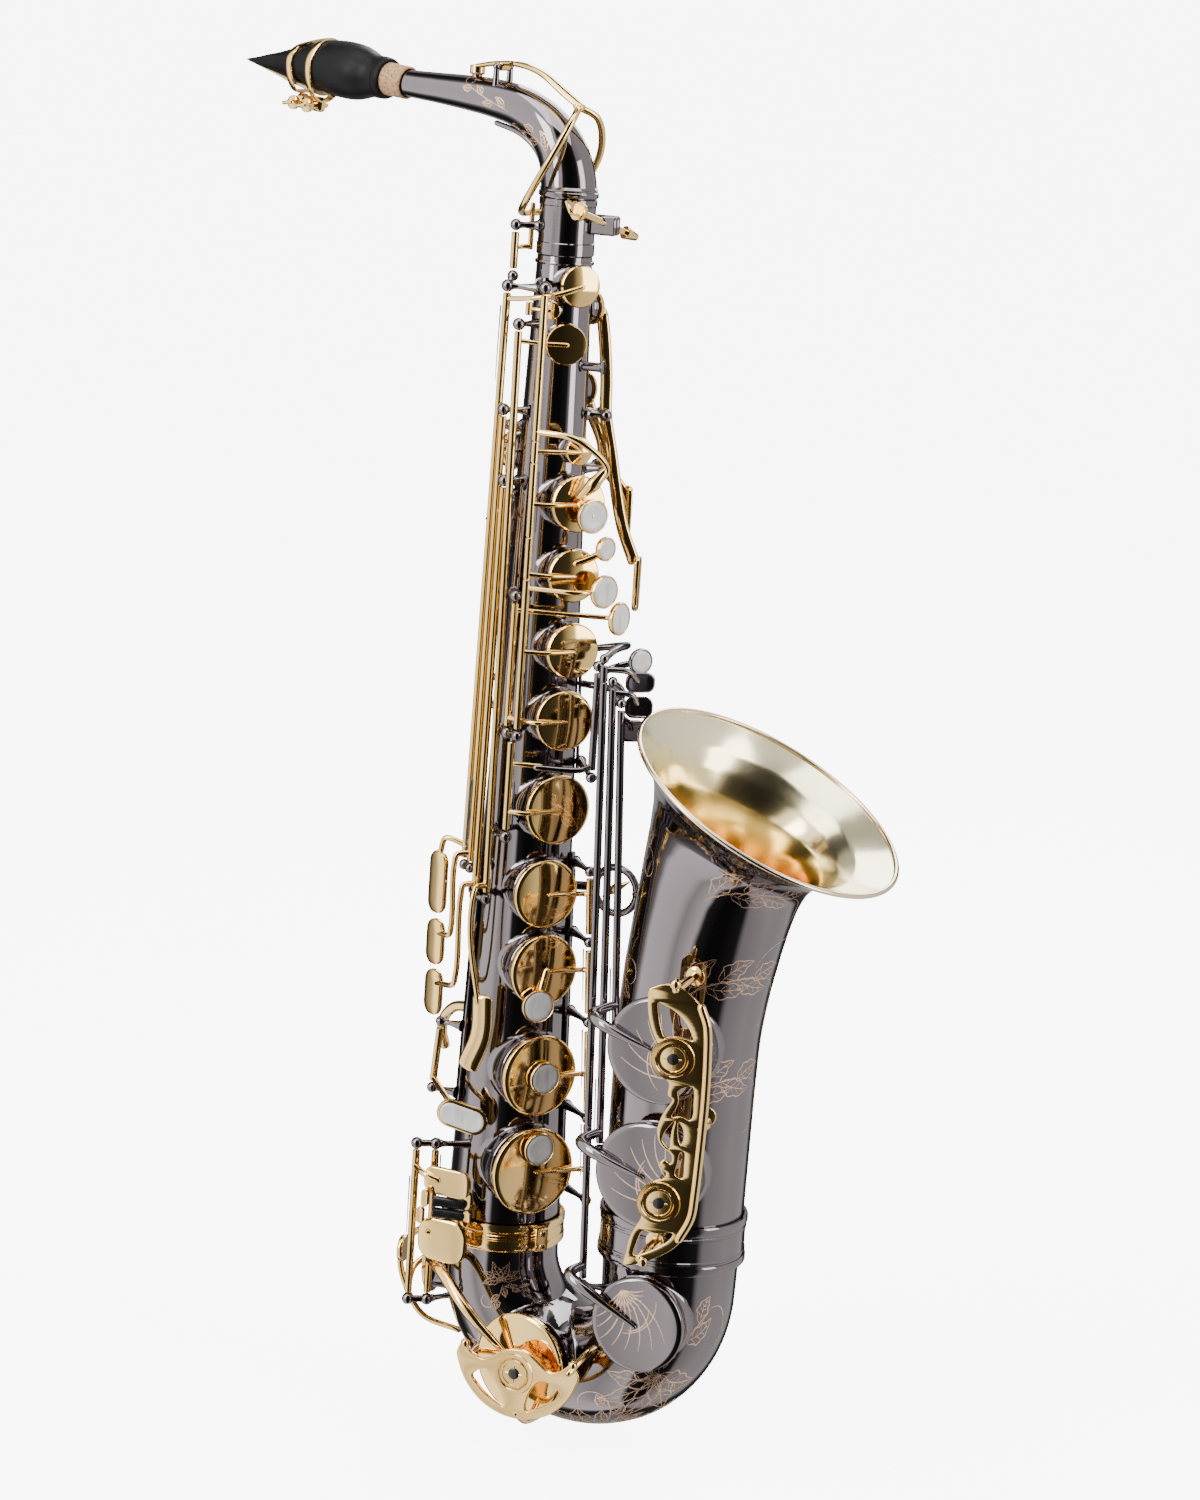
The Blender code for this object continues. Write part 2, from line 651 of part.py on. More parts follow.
def neck_block(distance, rise, size):
    """A block square to the neck's end: size is across it, up and along it."""
    shape = bmesh.new()
    bmesh.ops.create_cube(shape, size=1)
    bmesh.ops.scale(shape, vec=size, verts=shape.verts)
    frame = Matrix((NECK_SIDE, NECK_UP, NECK_RUN)).transposed().to_4x4()
    return finish_mesh(shape, Matrix.Translation(along_neck_end(distance, rise)) @ frame)


def neck():
    points = [neck_point(reach, z) for reach, z, _ in NECK_PATH]
    radii = [radius for _, _, radius in NECK_PATH]
    tip = along_neck_end(CORK_END + 3)
    outer = bar(points + [tip], 1.0, 5, radii + [5.6])
    inner = bar([neck_point(0, -30)] + points[1:] + [along_neck_end(CORK_END + 6)], 1.0, 5,
                [TENON_R - 1.0] + [radius - WALL for radius in radii[1:]] + [4.6])
    tenon = rod((0, 0, -23), (0, 0, 2), TENON_R, 28)
    collar = rod((0, 0, 0.4), (0, 0, 4.4), RECEIVER_R + 0.5, 28)
    side = around(1, 90 - NECK_SWING, 0)
    saddle = [rod(neck_point(43, 46.5) + side * offset, NECK_KEY_PIVOT + side * offset, 1.7, 8, 1.3)
              for offset in (-4.9, 4.9)]
    vent = rod(neck_point(58.4, 46.0), neck_point(58.4, 51.2), 2.4, 10)
    vent_bore = rod(neck_point(58.4, 42.0), neck_point(58.4, 53.0), 1.2, 8)
    part("neck_tube", BLACK_NICKEL, [outer, collar, tenon, vent] + saddle, [inner, vent_bore])
    sleeve_start = along_neck_end(CORK_START + 0.6)
    cork = rod(sleeve_start, along_neck_end(CORK_END), 7.7, 20)
    hollow = rod(along_neck_end(CORK_START - 3), along_neck_end(CORK_END + 2), 6.75, 20)
    part("neck_cork", CORK, [cork], [hollow])
    below = [(radius, reach, z) for reach, z, radius in NECK_PATH[3:9]]
    brace_points = []
    for (radius, reach, z), (_, next_reach, next_z) in zip(below, below[1:]):
        slope = math.atan2(next_z - z, next_reach - reach)
        drop = radius + 0.3 + 1.5
        brace_points.append(neck_point(reach + drop * math.sin(slope), z - drop * math.cos(slope)))
    brace = bar(brace_points, 1.3, 1)
    part("neck_brace", BLACK_NICKEL, [brace])


# Mouthpiece sections: distance along the neck's line, half width and height of the top
SHANK = (
    (MOUTHPIECE_START, 9.3, 9.3), (113.5, 9.8, 9.8), (118.0, 9.7, 9.7), (122.0, 10.5, 10.5),
    (126.0, 11.9, 11.9), (130.0, 12.9, 12.9), (136.0, 13.4, 13.4), (143.0, 13.2, 13.2),
)
BEAK = (
    (150.0, 12.4, 12.2), (158.0, 11.4, 10.4), (166.0, 10.4, 7.6), (180.0, 9.3, 2.0),
    (190.0, 8.7, -1.4), (MOUTHPIECE_END - 0.5, 8.2, -3.2),
)
TABLE_START, TABLE_RISE, TABLE_SLOPE = 150.0, -12.2, 0.175
REED_T = 2.4
LIGATURE_START, LIGATURE_END, BAND_WIDTH = 150.4, 168.0, 3.9
LUG_RISE, BAND_DROP = -19.4, REED_T + 1.8


def table_at(distance):
    """Height of the flat that the reed lies on."""
    return TABLE_RISE + (distance - TABLE_START) * TABLE_SLOPE


def beak_ring(shape, section, sides, grow=0.0, drop=0.0):
    """Vertices of one mouthpiece section: round on top, cut off flat by the table underneath."""
    distance, half_width, top = section
    floor = table_at(distance) - drop if distance > TABLE_START - 1 else -half_width
    level = max(floor, min(0.0, top - 1.0))
    ring = []
    for index in range(sides):
        angle = 2 * math.pi * index / sides
        height = math.sin(angle)
        rise = level + (top + grow - level) * height
        if height < 0:
            rise = max(floor - grow, level + (half_width + drop + grow) * height)
        across = (half_width + grow) * math.cos(angle)
        ring.append(shape.verts.new(along_neck_end(distance, rise) + NECK_SIDE * across))
    return ring


def skin(shape, rings):
    """Faces between successive rings, and the two ends."""
    for lower, upper in zip(rings, rings[1:]):
        for index, vertex in enumerate(lower):
            following = (index + 1) % len(lower)
            shape.faces.new((vertex, lower[following], upper[following], upper[index]))
    shape.faces.new(rings[0])
    shape.faces.new(rings[-1])
    return finish_mesh(shape, Matrix.Identity(4))


def beak_loft(sections, grow=0.0, drop=0.0, sides=20):
    shape = bmesh.new()
    return skin(shape, [beak_ring(shape, section, sides, grow, drop) for section in sections])


def mouthpiece():
    bore = rod(along_neck_end(MOUTHPIECE_START - 2), along_neck_end(CORK_END + 11), 8.0, 20)
    throat = rod(along_neck_end(CORK_END + 8), along_neck_end(172), 5.0, 14)
    window = neck_block(182, table_at(182) + 1.0, (7.5, 5.0, 22))
    part("mouthpiece", RUBBER, [beak_loft(SHANK + BEAK)], [bore, throat, window])


def reed():
    shape = bmesh.new()
    rings = []
    for distance, half_width, thickness in ((152, 6.0, REED_T), (172, 6.8, REED_T), (195.5, 7.4, 0.5)):
        top = table_at(distance) - GAP
        corners = ((-1, top), (1, top), (0.8, top - thickness), (-0.8, top - thickness))
        rings.append([shape.verts.new(along_neck_end(distance, rise) + NECK_SIDE * half_width * across)
                      for across, rise in corners])
    part("reed", CANE, [skin(shape, rings)])


def ligature():
    """Two bands round the mouthpiece and reed, joined on top, drawn tight underneath by two screws."""
    share = (LIGATURE_END - 158.0) / 8.0
    last = tuple(first + (second - first) * share for first, second in zip(BEAK[1], BEAK[2]))
    last = (LIGATURE_END, last[1], last[2])
    outer = beak_loft(((LIGATURE_START, *BEAK[0][1:]), BEAK[1], last), 1.3, BAND_DROP)
    inner_end = (LIGATURE_END + 2, last[1], last[2])
    inner_start = (LIGATURE_START - 1.2, *BEAK[0][1:])
    hollow = beak_loft((inner_start, BEAK[1], inner_end), 0.4, BAND_DROP)
    middle = (LIGATURE_START + LIGATURE_END) / 2
    length = LIGATURE_END - LIGATURE_START
    sides_open = neck_block(middle, -2.0, (40, 19, length - 2 * BAND_WIDTH))
    lug = neck_block(middle, LUG_RISE + 0.6, (5.2, 7.0, length - 1.0))
    screws = {
        "ligature_screw_rear": LIGATURE_START + 4.4,
        "ligature_screw_front": LIGATURE_END - 4.4,
    }
    holes = []
    for distance in screws.values():
        centre = along_neck_end(distance, LUG_RISE)
        holes.append(rod(centre - NECK_SIDE * 8, centre + NECK_SIDE * 8, 1.65, 8))
    part("ligature", GOLD, [outer, lug], [hollow, sides_open] + holes)
    for name, distance in screws.items():
        centre = along_neck_end(distance, LUG_RISE)
        shank = rod(centre - NECK_SIDE * 6.5, centre + NECK_SIDE * 6.5, 1.3, 8)
        head = rod(centre + NECK_SIDE * 5.6, centre + NECK_SIDE * 8.6, 2.4, 10, 3.4)
        wing = block(centre + NECK_SIDE * 10.2, (6.6, 1.8, 5.0), NECK_SIDE)
        moving(name, GOLD, [shank, head, wing], centre, NECK_SIDE)


# ---------------------------------------------------------------- keys

def pearl(centre, normal, radius):
    """A touch: a shallow metal cup that carries a pearl."""
    normal = Vector(normal).normalized()
    return disc(Vector(centre) - normal * 1.4, normal, radius, 3.2, 16)


# Which way a key opens about its rod, and how far, in degrees
STACK_OPEN, RIGHT_OPEN, LOW_OPEN = 8.0, 8.0, 6.0


def stack_keys():
    """Left-hand stack: keys that stand open on one long rod, and the G key on a second."""
    rods = LEFT_STACK
    closed = -rods.axis

    def key(name, hinge, pieces):
        moving(name, GOLD, pieces, hinge.top, closed, STACK_OPEN)

    key("c_vent_key", rods, [rods.tube(-108.3, -118), C_VENT.arm(rods.point(-113)), C_VENT.cup()])
    pearl_b = around(32.5, -25, -141)
    key("b_key", rods, [
        rods.tube(-118.3, -152), B_HOLE.arm(rods.point(-137)), B_HOLE.cup(),
        bar([B_HOLE.cup_top, pearl_b], 2.2), pearl(pearl_b, around(1, -20, 0), 8.0)])
    pearl_bis = around(32.0, -9, -156.5)
    key("bis_key", rods, [
        rods.tube(-152.3, -171.2), BIS_HOLE.arm(rods.point(-169)), BIS_HOLE.cup(),
        bar([BIS_HOLE.cup_top + Vector((0, 0, 6)), around(29.5, -14, -160), pearl_bis], 1.6),
        pearl(pearl_bis, around(1, -8, 0), 5.7)])
    pearl_a = around(36.0, -14, -175.5)
    over_bis = at(3.0, 33.5, -175.5)
    key("a_key", rods, [
        rods.tube(-171.5, -241), A_HOLE.arm(rods.point(-205)), A_HOLE.cup(),
        bar([rods.point(-175.5), over_bis, at(17, 34.0, -175.5), pearl_a], 1.1),
        pearl(pearl_a, around(1, -12, 0), 7.8)])
    pearl_g = at(34.5, 15.5, -188.8)
    key("g_key", G_ROD, [
        G_ROD.tube(-184.3, -241.5), G_HOLE.arm(G_ROD.point(-237.5), 0.8),
        G_HOLE.cup(), bar([G_ROD.point(-187.6), at(4, 23.0, -187.6), pearl_g], 1.2),
        pearl(pearl_g, around(1, 4, 0), 7.8)])
    tip = at(14.5, 31.0, -132.0)
    front = [rods.point(-104), at(9, 36.5, -105), at(21, 35.0, -112), at(26, 32.0, -119)]
    moving("front_f_key", GOLD, [
        rods.tube(-42.5, -108), bar(front + [at(22, 32.0, -125), tip], 1.5),
        bar([at(24.5, 32.0, -120), at(20, 33.0, -126), tip], 1.0, 1, [2.0, 3.4, 1.6]),
    ], rods.top, rods.axis)


def g_sharp_keys():
    rods, lever = G_SHARP_ROD, G_SHARP_LEVER_ROD
    moving("g_sharp_key", GOLD, [
        rods.tube(-247.3, -288.5), G_SHARP_HOLE.arm(rods.point(-280)), G_SHARP_HOLE.cup(),
        bar([rods.point(-257.5), at(4.5, 34.6, -257.5)], 1.2)], rods.top, -rods.axis)
    pearl_at = at(46.4, 37.0, -205)
    moving("g_sharp_lever", BLACK_NICKEL, [
        lever.tube(-212.3, -257.5), bar([lever.point(-214), at(34, 38, -209), pearl_at], 1.6),
        bar([lever.point(-255.5), at(22, 38.5, -257.5), at(2.5, 38.2, -257.5)], 1.4),
        pearl(pearl_at, at(0.55, 0.83, 0), 6.2)], lever.top, lever.axis)


def right_stack_keys():
    rods = RIGHT_STACK
    closed = rods.axis

    def key(name, hole, span, extra):
        arm = hole.arm(rods.point(hole.z), 1.0, 1.5)
        moving(name, GOLD, [rods.tube(*span), arm, hole.cup()] + extra, rods.top, closed, RIGHT_OPEN)

    key("f_sharp_key", F_SHARP_HOLE, (-311.5, -338), [])
    pearl_f = around(34.0, -47, -371.0)
    key("f_key", F_HOLE, (-346, -376), [
        bar([F_HOLE.cup_top, pearl_f], 2.0), pearl(pearl_f, around(1, -47, 0), 8.0)])
    pearl_e = E_HOLE.cup_top + E_HOLE.normal * 1.2
    key("e_key", E_HOLE, (-385, -424), [pearl(pearl_e, E_HOLE.normal, 8.0)])
    pearl_d = D_HOLE.cup_top + D_HOLE.normal * 1.2 + Vector((0, 0, 12))
    key("d_key", D_HOLE, (-430, -463.5), [pearl(pearl_d, D_HOLE.normal, 8.0)])


def side_keys():
    """Closed keys on the left edge: their cups sit high on the tube, their touches low."""
    face = ACROSS * -0.8 + OUT * 0.6

    def key(name, hinge, span, cup_pieces, touch_pieces):
        moving(name, GOLD, [hinge.tube(*span)] + cup_pieces + touch_pieces, hinge.top, -hinge.axis)

    key("high_e_key", HIGH_E_ROD, (-44.3, -309), [
        bar([HIGH_E_ROD.point(-47), at(-13, 17.5, -45),
             HIGH_E.cup_top + at(-8.2, 3.2, -3), HIGH_E.cup_top + HIGH_E.normal * 0.7], 1.2),
        HIGH_E.cup()], [
        bar([HIGH_E_ROD.point(-303), at(-38, 6, -301), at(-40.2, 5, -308)], 1.4),
        plate(at(-40.4, 5, -322.5), (9.5, 30, 3), face)])
    key("high_f_sharp_key", HIGH_F_SHARP_ROD, (-60.3, -321), [
        bar([HIGH_F_SHARP_ROD.point(-64.5), HIGH_F_SHARP.cup_top + at(-11, 0.6, 0),
             HIGH_F_SHARP.cup_top + HIGH_F_SHARP.normal * 0.6], 1.1),
        HIGH_F_SHARP.cup()], [
        bar([HIGH_F_SHARP_ROD.point(-318), at(-22, 31, -318), at(-23, 33, -340), at(-17.5, 33.5, -372)], 1.4),
        bar([at(-15.5, 33.5, -371), at(-15.5, 33.5, -388), at(-20.5, 33.5, -402)], 3.2)])
    key("side_c_lever", SIDE_C_ROD, (-100.3, -309), [
        bar([SIDE_C_ROD.point(-112), at(-20.6, 8.2, -112)], 1.1)], [
        bar([SIDE_C_ROD.point(-305), at(-32.5, 16.5, -307), at(-33, 15.5, -344), at(-39, 7, -347)], 1.4),
        plate(at(-40, 5, -351.5), (9.5, 22, 3), face)])
    key("side_bb_lever", SIDE_BB_ROD, (-132.3, -321), [
        bar([SIDE_BB_ROD.point(-144), at(-20.2, 10.4, -144)], 1.1)], [
        bar([SIDE_BB_ROD.point(-318), at(-28.5, 23, -320), at(-29.5, 21, -366), at(-38, 8, -371)], 1.4),
        plate(at(-39.5, 5, -376), (9.5, 22, 3), face)])
    for name, hinge, hole, tail in (
            ("side_c_key", SIDE_C_CUP_ROD, SIDE_C_HOLE, at(-18.0, 7.6, -112)),
            ("side_bb_key", SIDE_BB_CUP_ROD, SIDE_BB_HOLE, at(-18.8, 8.2, -144))):
        moving(name, GOLD, [
            rod(hinge.top - hinge.axis * 3.2, hinge.bottom + hinge.axis * 3.2, 1.5),
            bar([hinge.point(tail.z), tail], 1.0), hole.arm(hinge.point(hole.z)), hole.cup()],
            hinge.top, hinge.axis)


def alt_f_sharp_key():
    rods = ALT_F_SHARP_ROD
    moving("alt_f_sharp_key", GOLD, [
        rods.tube(-394.3, -420.5), bar([rods.point(-419), at(-28, 24, -424), at(-22, 30.5, -427)], 1.5),
        plate(at(-21.5, 31.5, -428.5), (21.5, 11.5, 3.4), at(-0.15, 1, 0), -14, 0.36)],
        rods.top, rods.axis)


def pinky_keys():
    """Right-hand little finger keys, low E flat and low C, with a roller on each."""
    face = at(-0.1, 1, 0)
    eb_edge = LOW_EB.cup_top + LOW_EB.normal * 0.8
    moving("low_eb_key", GOLD, [
        EB_ROD.tube(-449.3, -519.5), bar([EB_ROD.point(-457), at(-38, 30, -458), at(-31, 32.3, -460)], 1.5),
        plate(at(-26.8, 32.5, -461.5), (19, 12, 2.6), face, -4, 0.3),
        bar([EB_ROD.point(-516), at(-41, 4, -513), eb_edge], 1.5), LOW_EB.cup()],
        EB_ROD.top, EB_ROD.axis)
    moving("low_c_key", GOLD, [
        C_ROD.tube(-449.3, -519.5), bar([C_ROD.point(-486), at(-33.5, 31, -486)], 1.5),
        plate(at(-26.5, 32.5, -486.5), (20, 15, 2.6), face, -4, 0.3),
        LOW_C.arm([C_ROD.point(-503), at(-26, 32, -505), at(-10, 47, -519)]), LOW_C.cup()],
        C_ROD.top, C_ROD.axis, -LOW_OPEN * 0.7)
    for name, high in (("eb_roller", -470.6), ("c_roller", -476.2)):
        centre = at(-25.5, 32.8, high)
        run = (ACROSS + Vector((0, 0, -0.07))).normalized()
        moving(name, RUBBER, [rod(centre - run * 7.5, centre + run * 7.5, 2.2, 12)], centre, run)


def low_bell_keys():
    """Low B, B flat and C sharp: long rods from the left-hand table down to the bell and bow."""
    b_rod, bb_rod, cs_rod = LOW_B_ROD, LOW_BB_ROD, LOW_C_SHARP_ROD
    face = at(0.35, 0.94, 0)
    moving("low_b_key", BLACK_NICKEL, [
        b_rod.tube(-226, -372.5), bar([b_rod.point(-229), at(43, 46.5, -232), at(44, 45, -235)], 1.4),
        plate(at(44.0, 44.5, -236), (9, 9, 2.4), face),
        LOW_B.arm([b_rod.point(-362), Vector((66, -44, -364)), Vector((75, -47.5, -367))]), LOW_B.cup()],
        b_rod.top, b_rod.axis, -LOW_OPEN)
    moving("low_bb_key", BLACK_NICKEL, [
        bb_rod.tube(-216.1, -428.5), bar([bb_rod.point(-217.8), at(44, 47.5, -219), at(46, 45, -223)], 1.4),
        plate(at(46.5, 44.5, -224.5), (10, 9, 2.4), face),
        LOW_BB.arm([bb_rod.point(-423), Vector((64, -44, -425)), Vector((73.5, -46.5, -428))]), LOW_BB.cup()],
        bb_rod.top, bb_rod.axis, -LOW_OPEN)
    moving("low_c_sharp_lever", BLACK_NICKEL, [
        cs_rod.tube(-205.8, -213.0), bar([cs_rod.point(-207.5), at(42, 47, -208.5), at(46, 44, -213)], 1.4),
        plate(at(47.5, 43.0, -214), (12, 8.5, 2.4), face)], cs_rod.top, cs_rod.axis)
    moving("low_c_sharp_key", BLACK_NICKEL, [
        cs_rod.tube(-213.4, -494.5),
        LOW_C_SHARP.arm([cs_rod.point(-488), Vector((61, -43.5, -490)), Vector((72, -45.5, -495))]),
        LOW_C_SHARP.cup()], cs_rod.top, -cs_rod.axis)


def palm_keys():
    """Palm keys: levers that rock on short cross rods at the bell side, cups above, touches below."""
    def lever(name, hole, route, touch, size, face):
        centre, span = PALM_PIVOTS[name]
        pieces = [rod(centre - span * PALM_HALF, centre + span * PALM_HALF, ROD_R)]
        pieces.append(bar([hole.cup_top + hole.normal * 0.8] + [at(*point) for point in route], 1.7))
        pieces += [hole.cup(), plate(at(*touch), size, at(*face))]
        moving(name, GOLD, pieces, centre, -span)

    lever("palm_f_key", PALM_F_HOLE,
          [(19, -8, -54), (22.5, -5, -80), (23.5, -4, -98), (27, -4, -115), (34, -4, -148), (41, -4, -166)],
          (43, -4, -176), (9, 26, 2.6), (1, 0.15, 0))
    lever("palm_eb_key", PALM_EB_HOLE,
          [(16, -19, -98), (22.5, -16, -112), (25, -14.5, -124), (33, -15, -134), (36.3, -15, -141)],
          (36.5, -15, -144), (9, 24, 2.6), (1, -0.2, 0))
    lever("palm_d_key", PALM_D_HOLE,
          [(-2, -26, -112), (2, -28, -122), (4, -27.5, -130), (8, -33, -142), (10, -35, -149)],
          (10, -35.5, -152), (9, 24, 2.6), (0.3, -1, 0))


THUMB_THETA = 150.0


def octave_keys():
    rods = OCTAVE_ROD
    pin_foot = at(-16.2, -9.2, -24)
    moving("octave_pin_key", GOLD, [
        rods.tube(-16.8, -33.4), bar([rods.point(-24), at(-21, -4, -24), pin_foot], 1.2),
        rod(pin_foot + Vector((0, 0, -1.5)), pin_foot + Vector((0, 0, 20)), 1.2)], rods.top, rods.axis)
    vent = BODY_VENT
    thumb = around(tube_radius(-187) + 9.0, THUMB_THETA, -189)
    pivot = around(tube_radius(-172) + 5.5, THUMB_THETA, -172)
    cross = around(1, THUMB_THETA - 90, 0)
    moving("octave_thumb_lever", GOLD, [
        rod(pivot - cross * 5, pivot + cross * 5, 1.8),
        bar([around(tube_radius(-162) + 6.5, THUMB_THETA, -162), pivot, thumb], 1.6),
        plate(thumb, (13, 12, 2.2), around(1, THUMB_THETA, 0))], pivot, -cross)
    vent_pivot = at(-14.5, 16.0, -50)
    moving("body_octave_key", GOLD, [
        rod(vent_pivot + Vector((0, 0, 3.0)), vent_pivot - Vector((0, 0, 3.0)), 1.6),
        vent.cup(), bar([vent_pivot, vent.cup_top + at(-4, 0.5, 0), vent.cup_top + vent.normal * 0.4], 1.0)],
        vent_pivot, (0, 0, -1))


def neck_octave_key():
    """Pad on top of the neck, saddle hinge, and the loop round the neck that the octave pin lifts."""
    side = around(1, 90 - NECK_SWING, 0)
    pad = rod(neck_point(58.4, 51.5), neck_point(58.4, 55.2), 3.6, 12)
    stem = bar([neck_point(58.4, 54.8), neck_point(48, 56.6), neck_point(33, 57.2), neck_point(20, 54.2),
                neck_point(6, 46.5), neck_point(-4, 41.0)], 1.7)
    barrel = rod(NECK_KEY_PIVOT - side * 3.2, NECK_KEY_PIVOT + side * 3.2, 1.9)
    shape = [pad, stem, barrel]
    for sign in (1, -1):
        wide = side * sign
        shape.append(bar([
            neck_point(-2, 41.6) - wide * 1.3, neck_point(-7, 36) + wide * 9,
            neck_point(-4, 22) + wide * 16.5,
            neck_point(4, 8) + wide * 18.0, neck_point(14, -4) + wide * 14.5,
            neck_point(21.2, -8.5) + wide * 7.0, neck_point(23.4, -9.0) - wide * 2.0], 1.7))
    moving("neck_octave_key", GOLD, shape, NECK_KEY_PIVOT, side)


# ---------------------------------------------------------------- ribs, brackets, guards, fittings

LEFT_RIB, RIGHT_RIB, SIDE_RIB, TABLE_RIB = -104.0, 16.0, -134.0, 26.0
SMALL_BALL_R = 2.3


def ribs():
    """Plates along the tube that carry the key posts."""
    def rib(name, theta, span, heads, extra=(), ball_r=BALL_R):
        pieces = [strip(theta, *span)]
        for head in heads:
            pieces += rib_post(theta, head, 2.2, ball_r)
        part(name, BLACK_NICKEL, pieces + list(extra))

    def double(first, second):
        return [rod(first, second, 1.5, 6), ball(second, 2.6)]

    rib("left_rib", LEFT_RIB, (-36, -296), [
        LEFT_STACK.point(-39), HIGH_E_ROD.point(-41), HIGH_F_SHARP_ROD.point(-57), SIDE_C_ROD.point(-97),
        SIDE_BB_ROD.point(-129), G_ROD.point(-181), G_ROD.point(-244.8), G_SHARP_ROD.point(-292)],
        double(HIGH_E_ROD.point(-41), OCTAVE_ROD.point(-36.7))
        + double(G_ROD.point(-244.8), LEFT_STACK.point(-244.2)))
    rib("right_rib", RIGHT_RIB, (-304, -470),
        [RIGHT_STACK.point(z) for z in (-308.2, -342.0, -380.5, -427.0, -467.0)], (), 2.6)
    rib("side_rib", SIDE_RIB, (-308, -428), [
        SIDE_C_ROD.point(-312.3), SIDE_BB_ROD.point(-324.3), ALT_F_SHARP_ROD.point(-391),
        ALT_F_SHARP_ROD.point(-423.8)],
        double(SIDE_C_ROD.point(-312.3), HIGH_E_ROD.point(-312.3))
        + double(SIDE_BB_ROD.point(-324.3), HIGH_F_SHARP_ROD.point(-324.3)), 2.6)
    plate_at = tube_radius(-224) + GAP + 1.1
    upper = [around(plate_at, TABLE_RIB, -208), at(40, 10, -203), at(35, 38, -200.5), LOW_C_SHARP_ROD.top]
    lower = [around(plate_at, TABLE_RIB, -224), at(36, 12, -224), at(36.5, 40, -224), LOW_B_ROD.top]
    link = [LOW_B_ROD.top, at(39.5, 42.0, -218), LOW_BB_ROD.top]
    lever_top = G_SHARP_LEVER_ROD.top
    extra = [bar(upper, 1.7), bar(lower, 1.7), bar(link, 1.4), rod(lever_top, at(34.8, 37, -200.6), 1.5, 6)]
    extra += [ball(lever_top, 2.6)]
    extra += [ball(hinge.top, SMALL_BALL_R) for hinge in (LOW_C_SHARP_ROD, LOW_BB_ROD, LOW_B_ROD)]
    rib("table_bracket", TABLE_RIB, (-204, -265), [G_SHARP_LEVER_ROD.bottom], extra, 2.6)


def guard(name, paths, discs, look=GOLD, radius=1.6):
    pieces = [bar([Vector(point) for point in path], radius) for path in paths]
    pieces += [disc(Vector(centre), Vector(normal), size, 3.0, 14) for centre, normal, size in discs]
    part(name, look, pieces)


def guards():
    front = -54.0
    outline = [
        (104, front, -345), (111, front, -339), (121, front, -346), (129, front, -360), (131, front, -398),
        (126, front, -428), (126, front, -452), (116, front, -467), (99, front, -469.5), (98, front, -462),
    ]
    guard("guard_low_b", [
        outline,
        [(104, front, -345), (101, front, -356), (106, front, -368), (112.9, front, -374.4),
         (108, front, -394), (107, front, -418), (110.5, front, -440.9), (104, front, -452), (98, front, -462)],
        [(112.9, front, -374.4), (129.5, front, -366)],
        [(110.5, front, -440.9), (126, front, -440.9)],
        [(111, front, -340), (111, -36.0, -339)],
        [(130, front, -405), (125, -42, -405), (117, -29.0, -405)],
        [(102, front, -468.5), (101, -37.5, -466.5)],
    ], [((112.9, front + 2.0, -374.4), (0, -1, 0), 8.5), ((110.5, front + 2.0, -440.9), (0, -1, 0), 8.5)])
    level = -52.5
    centre_x, centre_z, ring_r = 42.0, -531.0, 29.0
    ring = []
    for step in range(15):
        angle = math.radians(195 + 150 * step / 14)
        ring.append((centre_x + ring_r * math.cos(angle), level, centre_z + ring_r * math.sin(angle)))
    guard("guard_low_c", [
        ring,
        [ring[0], (27, level, -537), (40.6, level, -540.6), (56, level, -536), ring[-1]],
        [ring[1], (10, -40, -541), (8.5, -29.5, -541)],
        [ring[-1], (71, -40, -528), (70, -31.0, -528)],
        [ring[7], (42.5, -42, -569.5), (42.5, -22.0, -570.5)],
    ], [((40.6, level + 2.0, -540.6), (0, -1, 0), 9.0)])
    guard("guard_low_eb", [
        [(-17.2, -6, -546), (-36, -10, -541), (-47.5, -10.6, -524), (-48.5, -10.9, -510), (-47.5, 5, -504),
         (-31, 17.2, -500), (-26.0, 14.9, -499)],
    ], [((-46.5, -10.7, -510), (-1, -0.23, 0), 6.5)])


